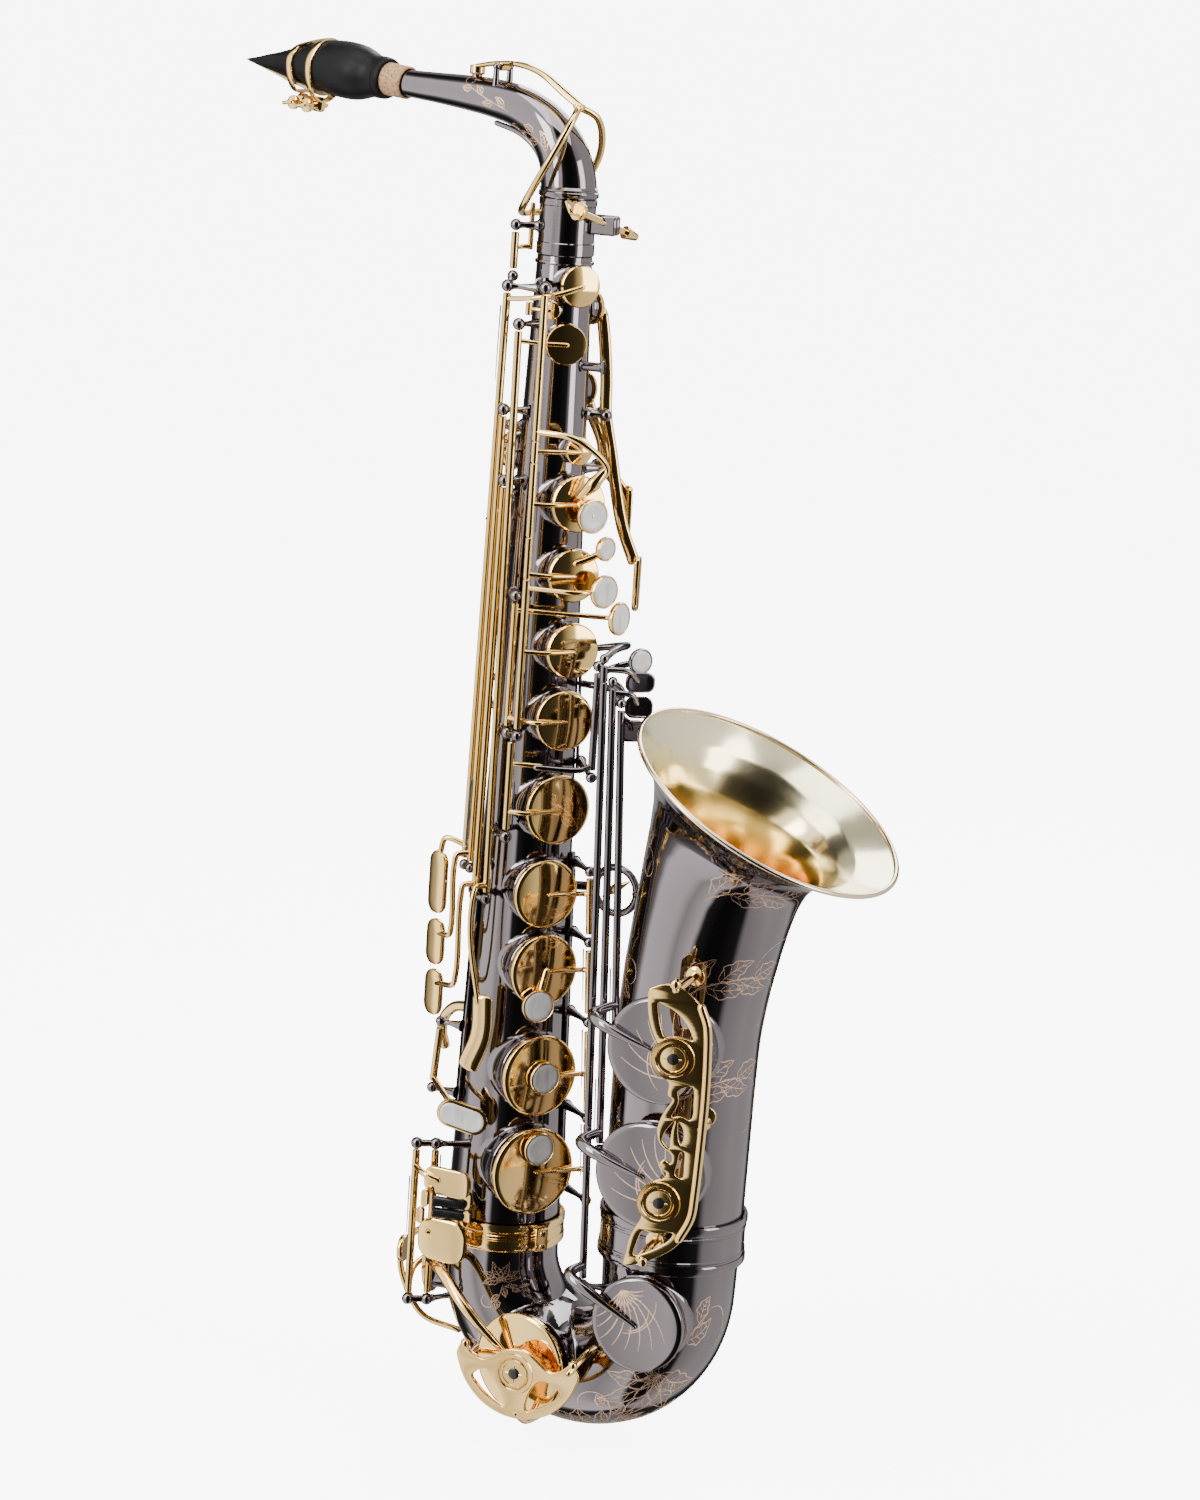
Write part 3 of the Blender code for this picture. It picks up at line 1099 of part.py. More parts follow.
def fittings():
    outward = around(1, STRAP_THETA, 0)
    ring = []
    for step in range(16):
        angle = 2 * math.pi * step / 16
        ring.append(ORIGIN + (outward * math.cos(angle) + Vector((0, 0, math.sin(angle)))) * STRAP_R * 1.3)
    foot = strip(STRAP_THETA, STRAP_Z + 13, STRAP_Z - 13, 9)
    stem_at = outward * (tube_radius(STRAP_Z) + GAP + 0.8) + Vector((0, 0, STRAP_Z))
    stem = block(stem_at + outward * 0.9, (3.4, 4.0, 8.0), (0, 0, 1), STRAP_THETA)
    part("strap_ring", BLACK_NICKEL, [foot, stem, bar(ring, 1.7, 1, None, True)])
    hook_theta, hook_z = 165.0, -392.0
    hook_out = around(1, hook_theta, 0)
    base = tube_radius(hook_z) + GAP
    hook_points = [(1.0, 2), (9, 2), (17, 0), (23, -6), (24.5, -14), (22, -20)]
    hook = [hook_out * (base + reach) + Vector((0, 0, hook_z + rise)) for reach, rise in hook_points]
    part("thumb_hook", GOLD, [strip(hook_theta, hook_z + 12, hook_z - 10, 11), bar(hook, 2.6, 2)])
    rest_z = -205.0
    rest = around(tube_radius(rest_z) + GAP, THUMB_THETA, rest_z)
    part("thumb_rest", RUBBER, [
        strip(THUMB_THETA, rest_z + 7, rest_z - 7, 8, 1.2),
        disc(rest + around(0.6, THUMB_THETA, 0), around(1, THUMB_THETA, 0), 7.5, 5.0, 16)])
    brace_theta, brace_z = 38.0, -322.0
    start = around(tube_radius(brace_z) + GAP + 0.8, brace_theta, brace_z)
    end = Vector((64.5, start.y, brace_z + 3))
    middle = start.lerp(end, 0.5)
    loop = []
    for step in range(14):
        angle = 2 * math.pi * step / 14
        loop.append(middle + Vector((11 * math.cos(angle), 0, 11 * math.sin(angle))))
    bell_side = Vector((-0.905, 0.365, 0.21))
    part("bell_brace", BLACK_NICKEL, [
        strip(brace_theta, brace_z + 9, brace_z - 9, 8), bar([start, loop[7]], 2.2), bar([loop[0], end], 2.2),
        bar(loop, 1.8, 1, None, True), disc(end - bell_side * 1.2, bell_side, 6.5, 1.8, 14)])


def build():
    body_tube()
    bow()
    bell()
    sleeve("body_bow_ring", GOLD, 0, -481.5, -494.5, 28.1, 29.7, 0.7)
    sleeve("bell_bow_ring", BLACK_NICKEL, BELL_X, -461.5, -484.5, 33.1, 34.8, 0.8)
    receiver()
    receiver_screw()
    neck()
    mouthpiece()
    reed()
    ligature()
    stack_keys()
    g_sharp_keys()
    right_stack_keys()
    side_keys()
    alt_f_sharp_key()
    pinky_keys()
    low_bell_keys()
    palm_keys()
    octave_keys()
    neck_octave_key()
    ribs()
    guards()
    fittings()


build()
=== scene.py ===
"""Looks for the saxophone: a fine surface for every part, with a floor, light and a camera.

Lengths are millimetres in the tube frame: Z up the body tube's axis, z = 0 at the rim of the neck
receiver, +X towards the bell. make() turns them into metres about the strap ring.
"""
import json
import math

import bmesh
import bpy
import numpy as np
from mathutils import Matrix, Vector


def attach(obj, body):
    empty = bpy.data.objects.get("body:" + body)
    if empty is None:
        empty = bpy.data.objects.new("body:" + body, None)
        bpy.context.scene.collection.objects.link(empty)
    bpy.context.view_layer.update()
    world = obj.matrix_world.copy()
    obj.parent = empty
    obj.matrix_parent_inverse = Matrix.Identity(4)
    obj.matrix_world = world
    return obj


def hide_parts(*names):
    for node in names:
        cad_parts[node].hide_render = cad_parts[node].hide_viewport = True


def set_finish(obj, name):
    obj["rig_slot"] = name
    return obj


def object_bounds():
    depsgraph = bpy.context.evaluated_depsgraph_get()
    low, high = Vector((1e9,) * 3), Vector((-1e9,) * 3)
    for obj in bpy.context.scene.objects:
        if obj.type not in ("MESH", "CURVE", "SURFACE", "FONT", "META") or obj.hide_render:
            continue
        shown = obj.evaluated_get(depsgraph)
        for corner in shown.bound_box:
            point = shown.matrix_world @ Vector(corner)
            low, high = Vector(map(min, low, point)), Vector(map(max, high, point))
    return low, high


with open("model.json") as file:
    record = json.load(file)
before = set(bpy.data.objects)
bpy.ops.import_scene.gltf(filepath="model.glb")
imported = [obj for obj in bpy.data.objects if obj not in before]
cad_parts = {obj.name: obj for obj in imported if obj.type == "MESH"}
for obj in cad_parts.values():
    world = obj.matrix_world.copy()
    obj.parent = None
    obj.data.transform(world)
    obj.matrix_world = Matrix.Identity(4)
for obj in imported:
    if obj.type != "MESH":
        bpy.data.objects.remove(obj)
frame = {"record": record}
CAD_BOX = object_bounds()
BODY_OF = {}
for body_name, members in frame["record"]["behaviour"]["bodies"].items():
    for member in members:
        BODY_OF[member] = body_name
SLOT_OF = {row["node"]: row["material_slot"] for row in frame["record"]["subparts"]}


# ---------------------------------------------------------------- design

MM = 0.001
GAP = 0.3
Z_UP = Vector((0, 0, 1))
WELD, SHARP_ANGLE = 0.000002, 38.0

# Body tube, bow and bell
TUBE_TOP_Z, TUBE_BOTTOM_Z = -26.3, -488.0
TUBE_TOP_R, TUBE_TAPER = 12.6, 14.4 / 456
WALL = 0.9
BELL_X = 91.0
BOW_Z = -502.0
BOW_TOP_R, BOW_END_R = 27.0, 32.2
BELL_FOOT_Z, BELL_FOOT_R = -475.0, 32.4
RIM_CENTRE, RIM_R, RIM_TILT = Vector((125.2, -2.8, -261.0)), 68.3, 28.8
RECEIVER_R, TENON_R = 13.3, 11.7

# Neck: its plane is swung from -X, as the instrument is set up for playing
NECK_SWING = 9.6
CORK_START, CORK_END = 99.0, 130.0
MOUTHPIECE_START, MOUTHPIECE_END = 112.0, 197.0

# Keywork. The key side of the tube faces KEY_FACE; across and out are its two plan directions
KEY_FACE = -62.0
ACROSS = Vector((math.cos(math.radians(KEY_FACE + 90)), math.sin(math.radians(KEY_FACE + 90)), 0))
OUT = Vector((math.cos(math.radians(KEY_FACE)), math.sin(math.radians(KEY_FACE)), 0))
ROD_R, ARM_R, BALL_R = 1.8, 1.3, 2.9
CHIMNEY_H, PAD_T = 4.5, 4.2
STRAP_THETA, STRAP_Z, STRAP_R = 160.0, -235.0, 5.5


def tube_radius(z):
    return TUBE_TOP_R + max(0.0, TUBE_TOP_Z - z) * TUBE_TAPER


def strap_centre():
    reach = tube_radius(STRAP_Z) + 4.0 + STRAP_R
    angle = math.radians(STRAP_THETA)
    return Vector((reach * math.cos(angle), reach * math.sin(angle), STRAP_Z))


ORIGIN = strap_centre()


def at(across, out, z):
    """A point on the key side: across the tube, out from its axis, and up."""
    return across * ACROSS + out * OUT + Vector((0, 0, z))


def around(rho, theta, z):
    angle = math.radians(theta)
    return Vector((rho * math.cos(angle), rho * math.sin(angle), z))


# ---------------------------------------------------------------- materials

LOOKS = {}


class Nodes:
    """A node material under construction, kept in LOOKS under its look."""

    def __init__(self, look, name, colour, roughness, metallic):
        self.material = bpy.data.materials.new(name)
        LOOKS[look] = self.material
        self.material.use_nodes = True
        self.tree = self.material.node_tree
        self.shader = self.tree.nodes["Principled BSDF"]
        self.set("Base Color", (*colour, 1))
        self.set("Roughness", roughness)
        self.set("Metallic", metallic)
        self.where = self.add("ShaderNodeTexCoord").outputs["Object"]
        self.colour = colour

    def add(self, kind, **values):
        node = self.tree.nodes.new(kind)
        for key, value in values.items():
            setattr(node, key, value)
        return node

    def set(self, socket, value):
        self.shader.inputs[socket].default_value = value

    def link(self, start, end):
        self.tree.links.new(start, end)

    def noise(self, scale, detail=4.0, stretch=None):
        node = self.add("ShaderNodeTexNoise")
        node.inputs["Scale"].default_value = scale
        node.inputs["Detail"].default_value = detail
        source = self.where
        if stretch:
            mapping = self.add("ShaderNodeMapping")
            mapping.inputs["Scale"].default_value = stretch
            self.link(source, mapping.inputs["Vector"])
            source = mapping.outputs["Vector"]
        self.link(source, node.inputs["Vector"])
        return node.outputs["Fac"]

    def cells(self, scale, feature="F1"):
        node = self.add("ShaderNodeTexVoronoi", feature=feature)
        node.inputs["Scale"].default_value = scale
        self.link(self.where, node.inputs["Vector"])
        return node.outputs["Distance"]

    def ramp(self, factor, stops):
        node = self.add("ShaderNodeValToRGB")
        ramp = node.color_ramp
        while len(ramp.elements) < len(stops):
            ramp.elements.new(0.5)
        for element, (position, colour) in zip(ramp.elements, stops):
            element.position = position
            element.color = (*colour, 1)
        self.link(factor, node.inputs["Fac"])
        return node.outputs["Color"]

    def spread(self, factor, low, high, into, start=0.3, end=0.7):
        node = self.add("ShaderNodeMapRange")
        node.inputs["From Min"].default_value = start
        node.inputs["From Max"].default_value = end
        node.inputs["To Min"].default_value = low
        node.inputs["To Max"].default_value = high
        self.link(factor, node.inputs["Value"])
        self.link(node.outputs["Result"], self.shader.inputs[into])

    def tint(self, factor, low, high, start=0.3, end=0.7):
        """Base colour between low and high multiples of the material's colour."""
        dark = tuple(min(1.0, channel * low) for channel in self.colour)
        light = tuple(min(1.0, channel * high) for channel in self.colour)
        self.link(self.ramp(factor, ((start, dark), (end, light))), self.shader.inputs["Base Color"])

    def bump(self, factor, distance, strength=1.0):
        node = self.add("ShaderNodeBump")
        node.inputs["Distance"].default_value = distance
        node.inputs["Strength"].default_value = strength
        self.link(factor, node.inputs["Height"])
        self.link(node.outputs["Normal"], self.shader.inputs["Normal"])


def polished(look, name, colour, low, high, tone=0.06):
    """Plated or lacquered metal: a mirror with faint handling haze, and slow changes of tone."""
    made = Nodes(look, name, colour, low, 1.0)
    haze = made.noise(60, 8.0)
    made.spread(haze, low, high, "Roughness", 0.35, 0.75)
    made.tint(made.noise(18, 3.0), 1 - tone, 1 + tone)
    made.bump(made.noise(1400, 3.0), 0.000004, 0.35)
    return made


# Levels along the bell's opening direction, in metres in the row frame, between which the inside's painted
# shade runs from the throat to the rim
BELL_THROAT_LEVEL, BELL_RIM_LEVEL = -0.012, 0.052


def make_materials():
    polished("nickel", "black_nickel", (0.205, 0.182, 0.190), 0.045, 0.10)
    gold = polished("gold", "gold_lacquer", (0.94, 0.63, 0.215), 0.06, 0.12)
    gold.set("Coat Weight", 0.35)
    gold.set("Coat Roughness", 0.08)
    pale = polished("pale", "pale_brass", (0.87, 0.79, 0.56), 0.14, 0.22, 0.04)
    # painted shade: the inside's base colour runs from pale brass at the rim to a deep, dark gold at the
    # throat, where shade and reflections deepen inside the bell
    along = pale.add("ShaderNodeMapping")
    along.inputs["Rotation"].default_value = (0, math.radians(-RIM_TILT), 0)
    pale.link(pale.where, along.inputs["Vector"])
    depth = pale.add("ShaderNodeSeparateXYZ")
    pale.link(along.outputs["Vector"], depth.inputs["Vector"])
    level = pale.add("ShaderNodeMapRange")
    level.inputs["From Min"].default_value = BELL_THROAT_LEVEL
    level.inputs["From Max"].default_value = BELL_RIM_LEVEL
    pale.link(depth.outputs["Z"], level.inputs["Value"])
    pale.link(pale.ramp(level.outputs["Result"], (
        (0.0, (0.84, 0.50, 0.11)), (0.40, (0.93, 0.66, 0.22)), (0.64, (0.95, 0.79, 0.40)),
        (0.86, (0.95, 0.87, 0.56)))), pale.shader.inputs["Base Color"])
    pale.set("Coat Weight", 0.3)
    pale.set("Coat Roughness", 0.1)
    polished("rim", "rose_gold_rim", (0.88, 0.70, 0.50), 0.12, 0.22)
    cut = Nodes("engraved", "engraved_lines", (0.86, 0.58, 0.40), 0.45, 1.0)
    cut.tint(cut.noise(900, 4.0), 0.75, 1.2)
    cut.spread(cut.noise(2400, 2.0), 0.3, 0.5, "Roughness")
    hard = Nodes("ebonite", "ebonite", (0.006, 0.006, 0.0065), 0.45, 0.0)
    hard.set("Specular IOR Level", 0.12)
    hard.spread(hard.noise(220, 6.0), 0.34, 0.5, "Roughness")
    hard.tint(hard.noise(45, 4.0), 0.8, 1.4)
    hard.bump(hard.noise(2600, 3.0, (1, 1, 4)), 0.00002, 0.4)
    gloss = Nodes("plastic", "black_plastic", (0.012, 0.012, 0.012), 0.22, 0.0)
    gloss.spread(gloss.noise(300, 5.0), 0.18, 0.34, "Roughness")
    gloss.tint(gloss.noise(120, 4.0), 0.8, 1.5)
    cork = Nodes("cork", "cork", (0.46, 0.27, 0.13), 0.85, 0.0)
    cork.link(cork.ramp(cork.noise(900, 9.0), (
        (0.30, (0.13, 0.065, 0.03)), (0.42, (0.40, 0.22, 0.10)), (0.58, (0.56, 0.35, 0.19)),
        (0.75, (0.70, 0.48, 0.28)))), cork.shader.inputs["Base Color"])
    cork.bump(cork.cells(1300), 0.00025, 0.7)
    cane = Nodes("cane", "cane", (0.72, 0.56, 0.30), 0.55, 0.0)
    cane.tint(cane.noise(600, 6.0, (0.06, 1, 1)), 0.75, 1.2)
    cane.bump(cane.noise(2200, 4.0, (0.05, 1, 1)), 0.00006, 0.5)
    pad = Nodes("pad", "pad_leather", (0.30, 0.115, 0.055), 0.55, 0.0)
    pad.tint(pad.noise(420, 6.0), 0.7, 1.35)
    pad.bump(pad.cells(2600), 0.00012, 0.6)
    pearl = Nodes("pearl", "mother_of_pearl", (0.86, 0.84, 0.82), 0.16, 0.0)
    pearl.link(pearl.ramp(pearl.noise(260, 5.0, (1, 1, 0.35)), (
        (0.30, (0.66, 0.66, 0.68)), (0.44, (0.86, 0.82, 0.80)), (0.54, (0.93, 0.92, 0.89)),
        (0.66, (0.80, 0.86, 0.84)), (0.78, (0.95, 0.90, 0.92)))), pearl.shader.inputs["Base Color"])
    pearl.set("Coat Weight", 0.7)
    pearl.set("Coat Roughness", 0.05)
    pearl.set("Sheen Weight", 0.2)
    spring = Nodes("spring", "blued_steel", (0.10, 0.13, 0.24), 0.3, 1.0)
    spring.tint(spring.noise(500, 3.0), 0.7, 1.4)


make_materials()
BLACK_NICKEL, GOLD, RUBBER, CORK, CANE = "nickel", "gold", "ebonite", "cork", "cane"


# ---------------------------------------------------------------- shapes

class Shape:
    """Vertices in the tube frame and faces, with its own look if it isn't its piece's."""

    def __init__(self, points, faces, look=None):
        self.points = np.asarray(points, float).reshape(-1, 3)
        self.faces = faces
        self.look = look

    def painted(self, look):
        return Shape(self.points, self.faces, look)


def flat(pieces):
    found = []
    for piece in pieces:
        if isinstance(piece, Shape):
            found.append(piece)
        else:
            found += flat(piece)
    return found


def basis(direction, hint=None):
    """Three unit vectors, the last along direction."""
    forward = Vector(direction).normalized()
    guess = Vector(hint) if hint is not None else Vector((0, 0, 1))
    if abs(forward.dot(guess.normalized())) > 0.98:
        guess = Vector((1, 0, 0))
    side = guess.cross(forward).normalized()
    return side, forward.cross(side), forward


def upright_frame(across, up, forward):
    """A rotation matrix whose columns are three unit vectors."""
    return Matrix((across, up, forward)).transposed().to_4x4()


def rings_to_shape(rings, closed=False, look=None):
    """Faces between successive rings of equal count, with flat ends unless it is closed."""
    count = len(rings[0])
    points = np.concatenate([np.asarray(ring, float) for ring in rings])
    faces = []
    total = len(rings)
    for step in range(total if closed else total - 1):
        low, high = step * count, (step + 1) % total * count
        for side in range(count):
            other = (side + 1) % count
            faces.append((low + side, low + other, high + other, high + side))
    if not closed:
        faces.append(tuple(range(count))[::-1])
        faces.append(tuple(range((total - 1) * count, total * count)))
    return Shape(points, faces, look)


def circle(centre, side, up, radius, sides, squash=1.0):
    turns = np.arange(sides) * 2 * np.pi / sides
    across = np.outer(np.cos(turns) * radius, np.array(side))
    upward = np.outer(np.sin(turns) * radius * squash, np.array(up))
    return np.array(centre) + across + upward


def lathe(profile, base, direction, steps=40, look=None):
    """A profile of (radius, height) turned round; end points on the axis close it."""
    side, up, forward = basis(direction)
    rings = [circle(Vector(base) + forward * height, side, up, max(radius, 0.01), steps)
             for radius, height in profile]
    return rings_to_shape(rings, False, look)


def lathe_ring(profile, base, direction, steps=64, look=None):
    """A closed profile turned round."""
    side, up, forward = basis(direction)
    rings = [circle(Vector(base) + forward * height, side, up, radius, steps)
             for radius, height in profile]
    return rings_to_shape(rings, True, look)


def rod(start, end, radius=1.8, end_radius=None):
    last = radius if end_radius is None else end_radius
    start, end = Vector(start), Vector(end)
    length = (end - start).length
    edge = min(0.3, length / 4, radius / 3)
    profile = ((radius - edge, 0), (radius, edge), (last, length - edge), (last - edge, length))
    return lathe(profile, start, end - start, 28)


def ball(centre, radius=2.9):
    """A post's ball, with a small flat at its top."""
    profile = []
    for step in range(15):
        angle = -math.pi / 2 + math.pi * step / 14
        profile.append((radius * math.cos(angle), radius * math.sin(angle)))
    return lathe(profile, centre, (0, 0, 1), 24)


def smooth_path(points, radii, cyclic=False, each=6):
    """Catmull-Rom points through a path, and the radius at each."""
    path = [Vector(point) for point in points]
    count = len(path)
    if count < 3:
        return path, list(radii)
    out, sizes = [], []
    spans = count if cyclic else count - 1
    for index in range(spans):
        if cyclic:
            p0, p1, p2, p3 = (path[(index + k) % count] for k in (-1, 0, 1, 2))
        else:
            p1, p2 = path[index], path[index + 1]
            p0 = path[index - 1] if index else p1 * 2 - p2
            p3 = path[index + 2] if index + 2 < count else p2 * 2 - p1
        span = max((p2 - p1).length, 0.01)
        before = (p2 - p0) * (span / max((p2 - p1).length + (p1 - p0).length, 0.01))
        after = (p3 - p1) * (span / max((p3 - p2).length + (p2 - p1).length, 0.01))
        for step in range(each):
            t = step / each
            place = (p1 * (2 * t ** 3 - 3 * t ** 2 + 1) + before * (t ** 3 - 2 * t ** 2 + t)
                     + p2 * (-2 * t ** 3 + 3 * t ** 2) + after * (t ** 3 - t ** 2))
            out.append(place)
            sizes.append(radii[index] * (1 - t) + radii[(index + 1) % count] * t)
    if not cyclic:
        out.append(path[-1])
        sizes.append(radii[-1])
    return out, sizes


def sweep(path, radii, sides=16, cyclic=False, squash=1.0, hint=None, round_ends=True, look=None):
    """A tube along a fine path, its section carried without twist."""
    count = len(path)
    tangents = []
    for index in range(count):
        if cyclic:
            tangents.append((path[(index + 1) % count] - path[index - 1]).normalized())
        else:
            tangents.append((path[min(index + 1, count - 1)] - path[max(index - 1, 0)]).normalized())
    side, up, _ = basis(tangents[0], hint)
    rings = []
    for index in range(count):
        if index:
            turn = tangents[index - 1].rotation_difference(tangents[index])
            side, up = turn @ side, turn @ up
        if hint is not None:
            side = Vector(hint).cross(tangents[index]).normalized()
            up = tangents[index].cross(side)
        rings.append(circle(path[index], side, up, radii[index], sides, squash))
        if not cyclic and round_ends and index in (0, count - 1):
            sign = -1 if index == 0 else 1
            caps = []
            for share in (0.5, 0.87):
                size = radii[index] * math.sqrt(1 - share * share)
                reach = tangents[index] * radii[index] * share * squash * sign
                caps.append(circle(path[index] + reach, side, up, size, sides, squash))
            if index == 0:
                rings = caps[::-1] + rings
            else:
                rings += caps
    return rings_to_shape(rings, cyclic, look)


def bar(points, radius=1.3, radii=None, cyclic=False, squash=1.0, hint=None):
    sizes = [radius * (radii[index] if radii else 1) for index in range(len(points))]
    path, sizes = smooth_path(points, sizes, cyclic)
    return sweep(path, sizes, 14, cyclic, squash, hint)


def disc(centre, normal, radius, thickness):
    edge = min(0.5, thickness / 3)
    profile = ((0, 0), (radius - edge, 0), (radius - 0.15, edge * 0.4), (radius, edge),
               (radius, thickness - edge), (radius - 0.15, thickness - edge * 0.4),
               (radius - edge, thickness), (0, thickness))
    return lathe(profile, centre, normal, 48)


def rounded_block(placed, size, edge=0.6):
    """A box with chamfered edges, as the hull of its cut corners."""
    half = [length / 2 for length in size]
    edge = min(edge, min(half) * 0.5)
    shape = bmesh.new()
    for signs in ((x, y, z) for x in (-1, 1) for y in (-1, 1) for z in (-1, 1)):
        for axis in range(3):
            corner = [signs[k] * (half[k] - (0 if k == axis else edge)) for k in range(3)]
            shape.verts.new(placed @ Vector(corner))
    hull = bmesh.ops.convex_hull(shape, input=shape.verts)
    spare = [item for item in hull["geom_unused"] + hull["geom_interior"] if isinstance(item,
                                                                                        bmesh.types.BMVert)]
    bmesh.ops.delete(shape, geom=spare, context="VERTS")
    shape.verts.index_update()
    made = Shape([vertex.co[:] for vertex in shape.verts],
                 [tuple(vertex.index for vertex in face.verts) for face in shape.faces])
    shape.free()
    return made


def block(centre, size, normal=(0, 0, 1), turn=0.0):
    turned = Vector((0, 0, 1)).rotation_difference(Vector(normal).normalized()).to_matrix().to_4x4()
    matrix = Matrix.Translation(centre) @ turned @ Matrix.Rotation(math.radians(turn), 4, "Z")
    return rounded_block(matrix, size)


def plate(centre, size, face, tilt=0.0, corner=0.35, dish=0.5):
    """A touch piece: a rounded slab whose face is a little hollow."""
    width, height, thickness = size
    normal = Vector(face).normalized()
    side = Vector((0, 0, 1)).cross(normal).normalized()
    up = normal.cross(side)
    matrix = Matrix.Translation(centre) @ upright_frame(side, up,
                                                        normal) @ Matrix.Rotation(math.radians(tilt), 4, "Z")
    radius = min(width, height) * min(0.5, corner * 1.25)
    outline = []
    for quarter in range(4):
        middle_x = (width / 2 - radius) * (1 if quarter in (0, 3) else -1)
        middle_y = (height / 2 - radius) * (1 if quarter in (0, 1) else -1)
        for step in range(7):
            angle = math.pi / 2 * (quarter + step / 6)
            outline.append((middle_x + radius * math.cos(angle), middle_y + radius * math.sin(angle)))
    half = thickness / 2
    levels = ((0.15, -half), (0.80, -half), (0.95, -half + 0.25), (1.0, -half + 0.7), (1.0, half - 0.7),
              (0.96, half - 0.2), (0.88, half), (0.70, half - dish * 0.55), (0.4, half - dish),
              (0.1, half - dish * 1.05))
    rings = []
    for share, level in levels:
        shrink = (1 - share) * min(width, height) / 2
        ring = []
        for x, y in outline:
            reach_x = x * max(0.02, 1 - shrink / (width / 2))
            reach_y = y * max(0.02, 1 - shrink / (height / 2))
            ring.append((matrix @ Vector((reach_x, reach_y, level)))[:])
        rings.append(ring)
    return rings_to_shape(rings)


def make(name, shapes, node, turn=None, replaces=True):
    """One object per look from shapes, riding on the node's body and standing for the node."""
    groups = {}
    for shape in flat(shapes):
        groups.setdefault(shape.look, []).append(shape)
    made = []
    for look, members in groups.items():
        points, faces, start = [], [], 0
        for shape in members:
            points.append(shape.points)
            faces += [tuple(index + start for index in face) for face in shape.faces]
            start += len(shape.points)
        every = (np.concatenate(points) - np.array(ORIGIN)) * MM
        mesh = bpy.data.meshes.new(f"{name}_{look}")
        mesh.from_pydata(every.tolist(), [], faces)
        if turn is not None:
            mesh.transform(turn)
        shape = bmesh.new()
        shape.from_mesh(mesh)
        bmesh.ops.remove_doubles(shape, verts=shape.verts, dist=WELD)
        bmesh.ops.recalc_face_normals(shape, faces=shape.faces)
        shape.to_mesh(mesh)
        shape.free()
        mesh.shade_smooth()
        mesh.set_sharp_from_angle(angle=math.radians(SHARP_ANGLE))
        mesh.materials.append(LOOKS[look])
        piece = bpy.data.objects.new(f"{name}_{look}", mesh)
        bpy.context.scene.collection.objects.link(piece)
        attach(piece, BODY_OF[node])
        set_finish(piece, SLOT_OF[node])
        if replaces:
            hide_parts(node)
        made.append(piece)
    return made


def all_painted(pieces, look):
    return [shape if shape.look else shape.painted(look) for shape in flat(pieces)]


def part(name, look, pieces):
    """A part that stays where it is on its body."""
    make(name, all_painted(pieces, look), name)


def moving(name, look, pieces, pivot, axis, rest=0.0):
    """A part that turns on its own joint, drawn closed and set to its rest angle."""
    place = (Vector(pivot) - ORIGIN) * MM
    turn = Matrix.Rotation(math.radians(rest), 4, Vector(axis).normalized())
    turn = Matrix.Translation(place) @ turn @ Matrix.Translation(-place)
    make(name, all_painted(pieces, look), name, turn)


# ---------------------------------------------------------------- tone holes and key cups

def surface_gap(points, line):
    """How far points lie outside a tube given by its centres and radii."""
    centres, radii = line
    spread = points[:, None, :] - centres[None, :, :]
    return (np.linalg.norm(spread, axis=2) - radii[None, :]).min(axis=1)


def onto_surface(starts, normal, line, lift, reach=90.0):
    """The points moved along normal until they lie lift outside the tube."""
    low, high = np.zeros(len(starts)), np.full(len(starts), reach)
    way = np.array(normal)
    for _ in range(22):
        middle = (low + high) / 2
        outside = surface_gap(starts + middle[:, None] * way, line) > lift
        high = np.where(outside, middle, high)
        low = np.where(outside, low, middle)
    return starts + high[:, None] * way


def dome_height(share, height):
    """Height of a cup's dome at a share of its radius."""
    return height * (0.70 + 0.30 * (1 - share * share))


def cup_shapes(base, normal, radius, height, look=None):
    """A shallow domed cup with a rolled rim, and the leather pad inside it."""
    metal = [(0, 1.0), (radius - 0.8, 1.0), (radius - 0.75, 0.3), (radius - 0.35, 0.12), (radius, 0.45)]
    metal += [(radius, height * 0.48), (radius - 0.12, height * 0.56), (radius - 0.45, height * 0.64)]
    metal += [(radius * share, dome_height(share, height)) for share in (0.94, 0.88, 0.8, 0.7, 0.58, 0.45,
                                                                         0.3, 0.15)]
    metal.append((0, height))
    leather = ((0, 0.02), (radius - 2.4, 0.02), (radius - 1.3, 0.1), (radius - 0.85, 0.4),
               (radius - 0.85, 1.1), (0, 1.1))
    return [lathe(metal, base, normal, 56, look), lathe(leather, base, normal, 48, "pad")]


class Hole:
    """A tone hole with a chimney that is drawn out of the tube, and the cup that covers it."""

    def plan(self, line):
        """Rings of the chimney from the tube's surface up to its rolled edge and down inside."""
        wall = self.bore_r + 1.0
        side, up, _ = basis(self.normal)
        start = self.mouth - self.normal * self.depth
        rings = []
        for radius, lift in ((wall + 2.2, -0.12), (wall + 1.3, 0.12), (wall + 0.6, 0.55), (wall + 0.15, 1.3)):
            ring = circle(start, side, up, radius, 56)
            rings.append(onto_surface(ring, self.normal, line, lift))
        for radius, below in ((wall, 1.3), (wall + 0.3, 0.8), (wall + 0.35, 0.35), (wall + 0.05, 0.0),
                              (self.bore_r + 0.35, 0.0), (self.bore_r, 0.5), (self.bore_r, 1.3)):
            rings.append(circle(self.mouth - self.normal * below, side, up, radius, 56))
        rings.append(onto_surface(circle(start, side, up, self.bore_r, 56), self.normal, line, -1.3))
        return rings_to_shape(rings, True)

    def cup(self):
        return cup_shapes(self.cup_base, self.normal, self.cup_r, self.pad)

    def cutter(self):
        return lathe(((self.bore_r + 0.3, 0), (self.bore_r + 0.3, self.depth)),
                     self.mouth - self.normal * self.depth, self.normal, 48)


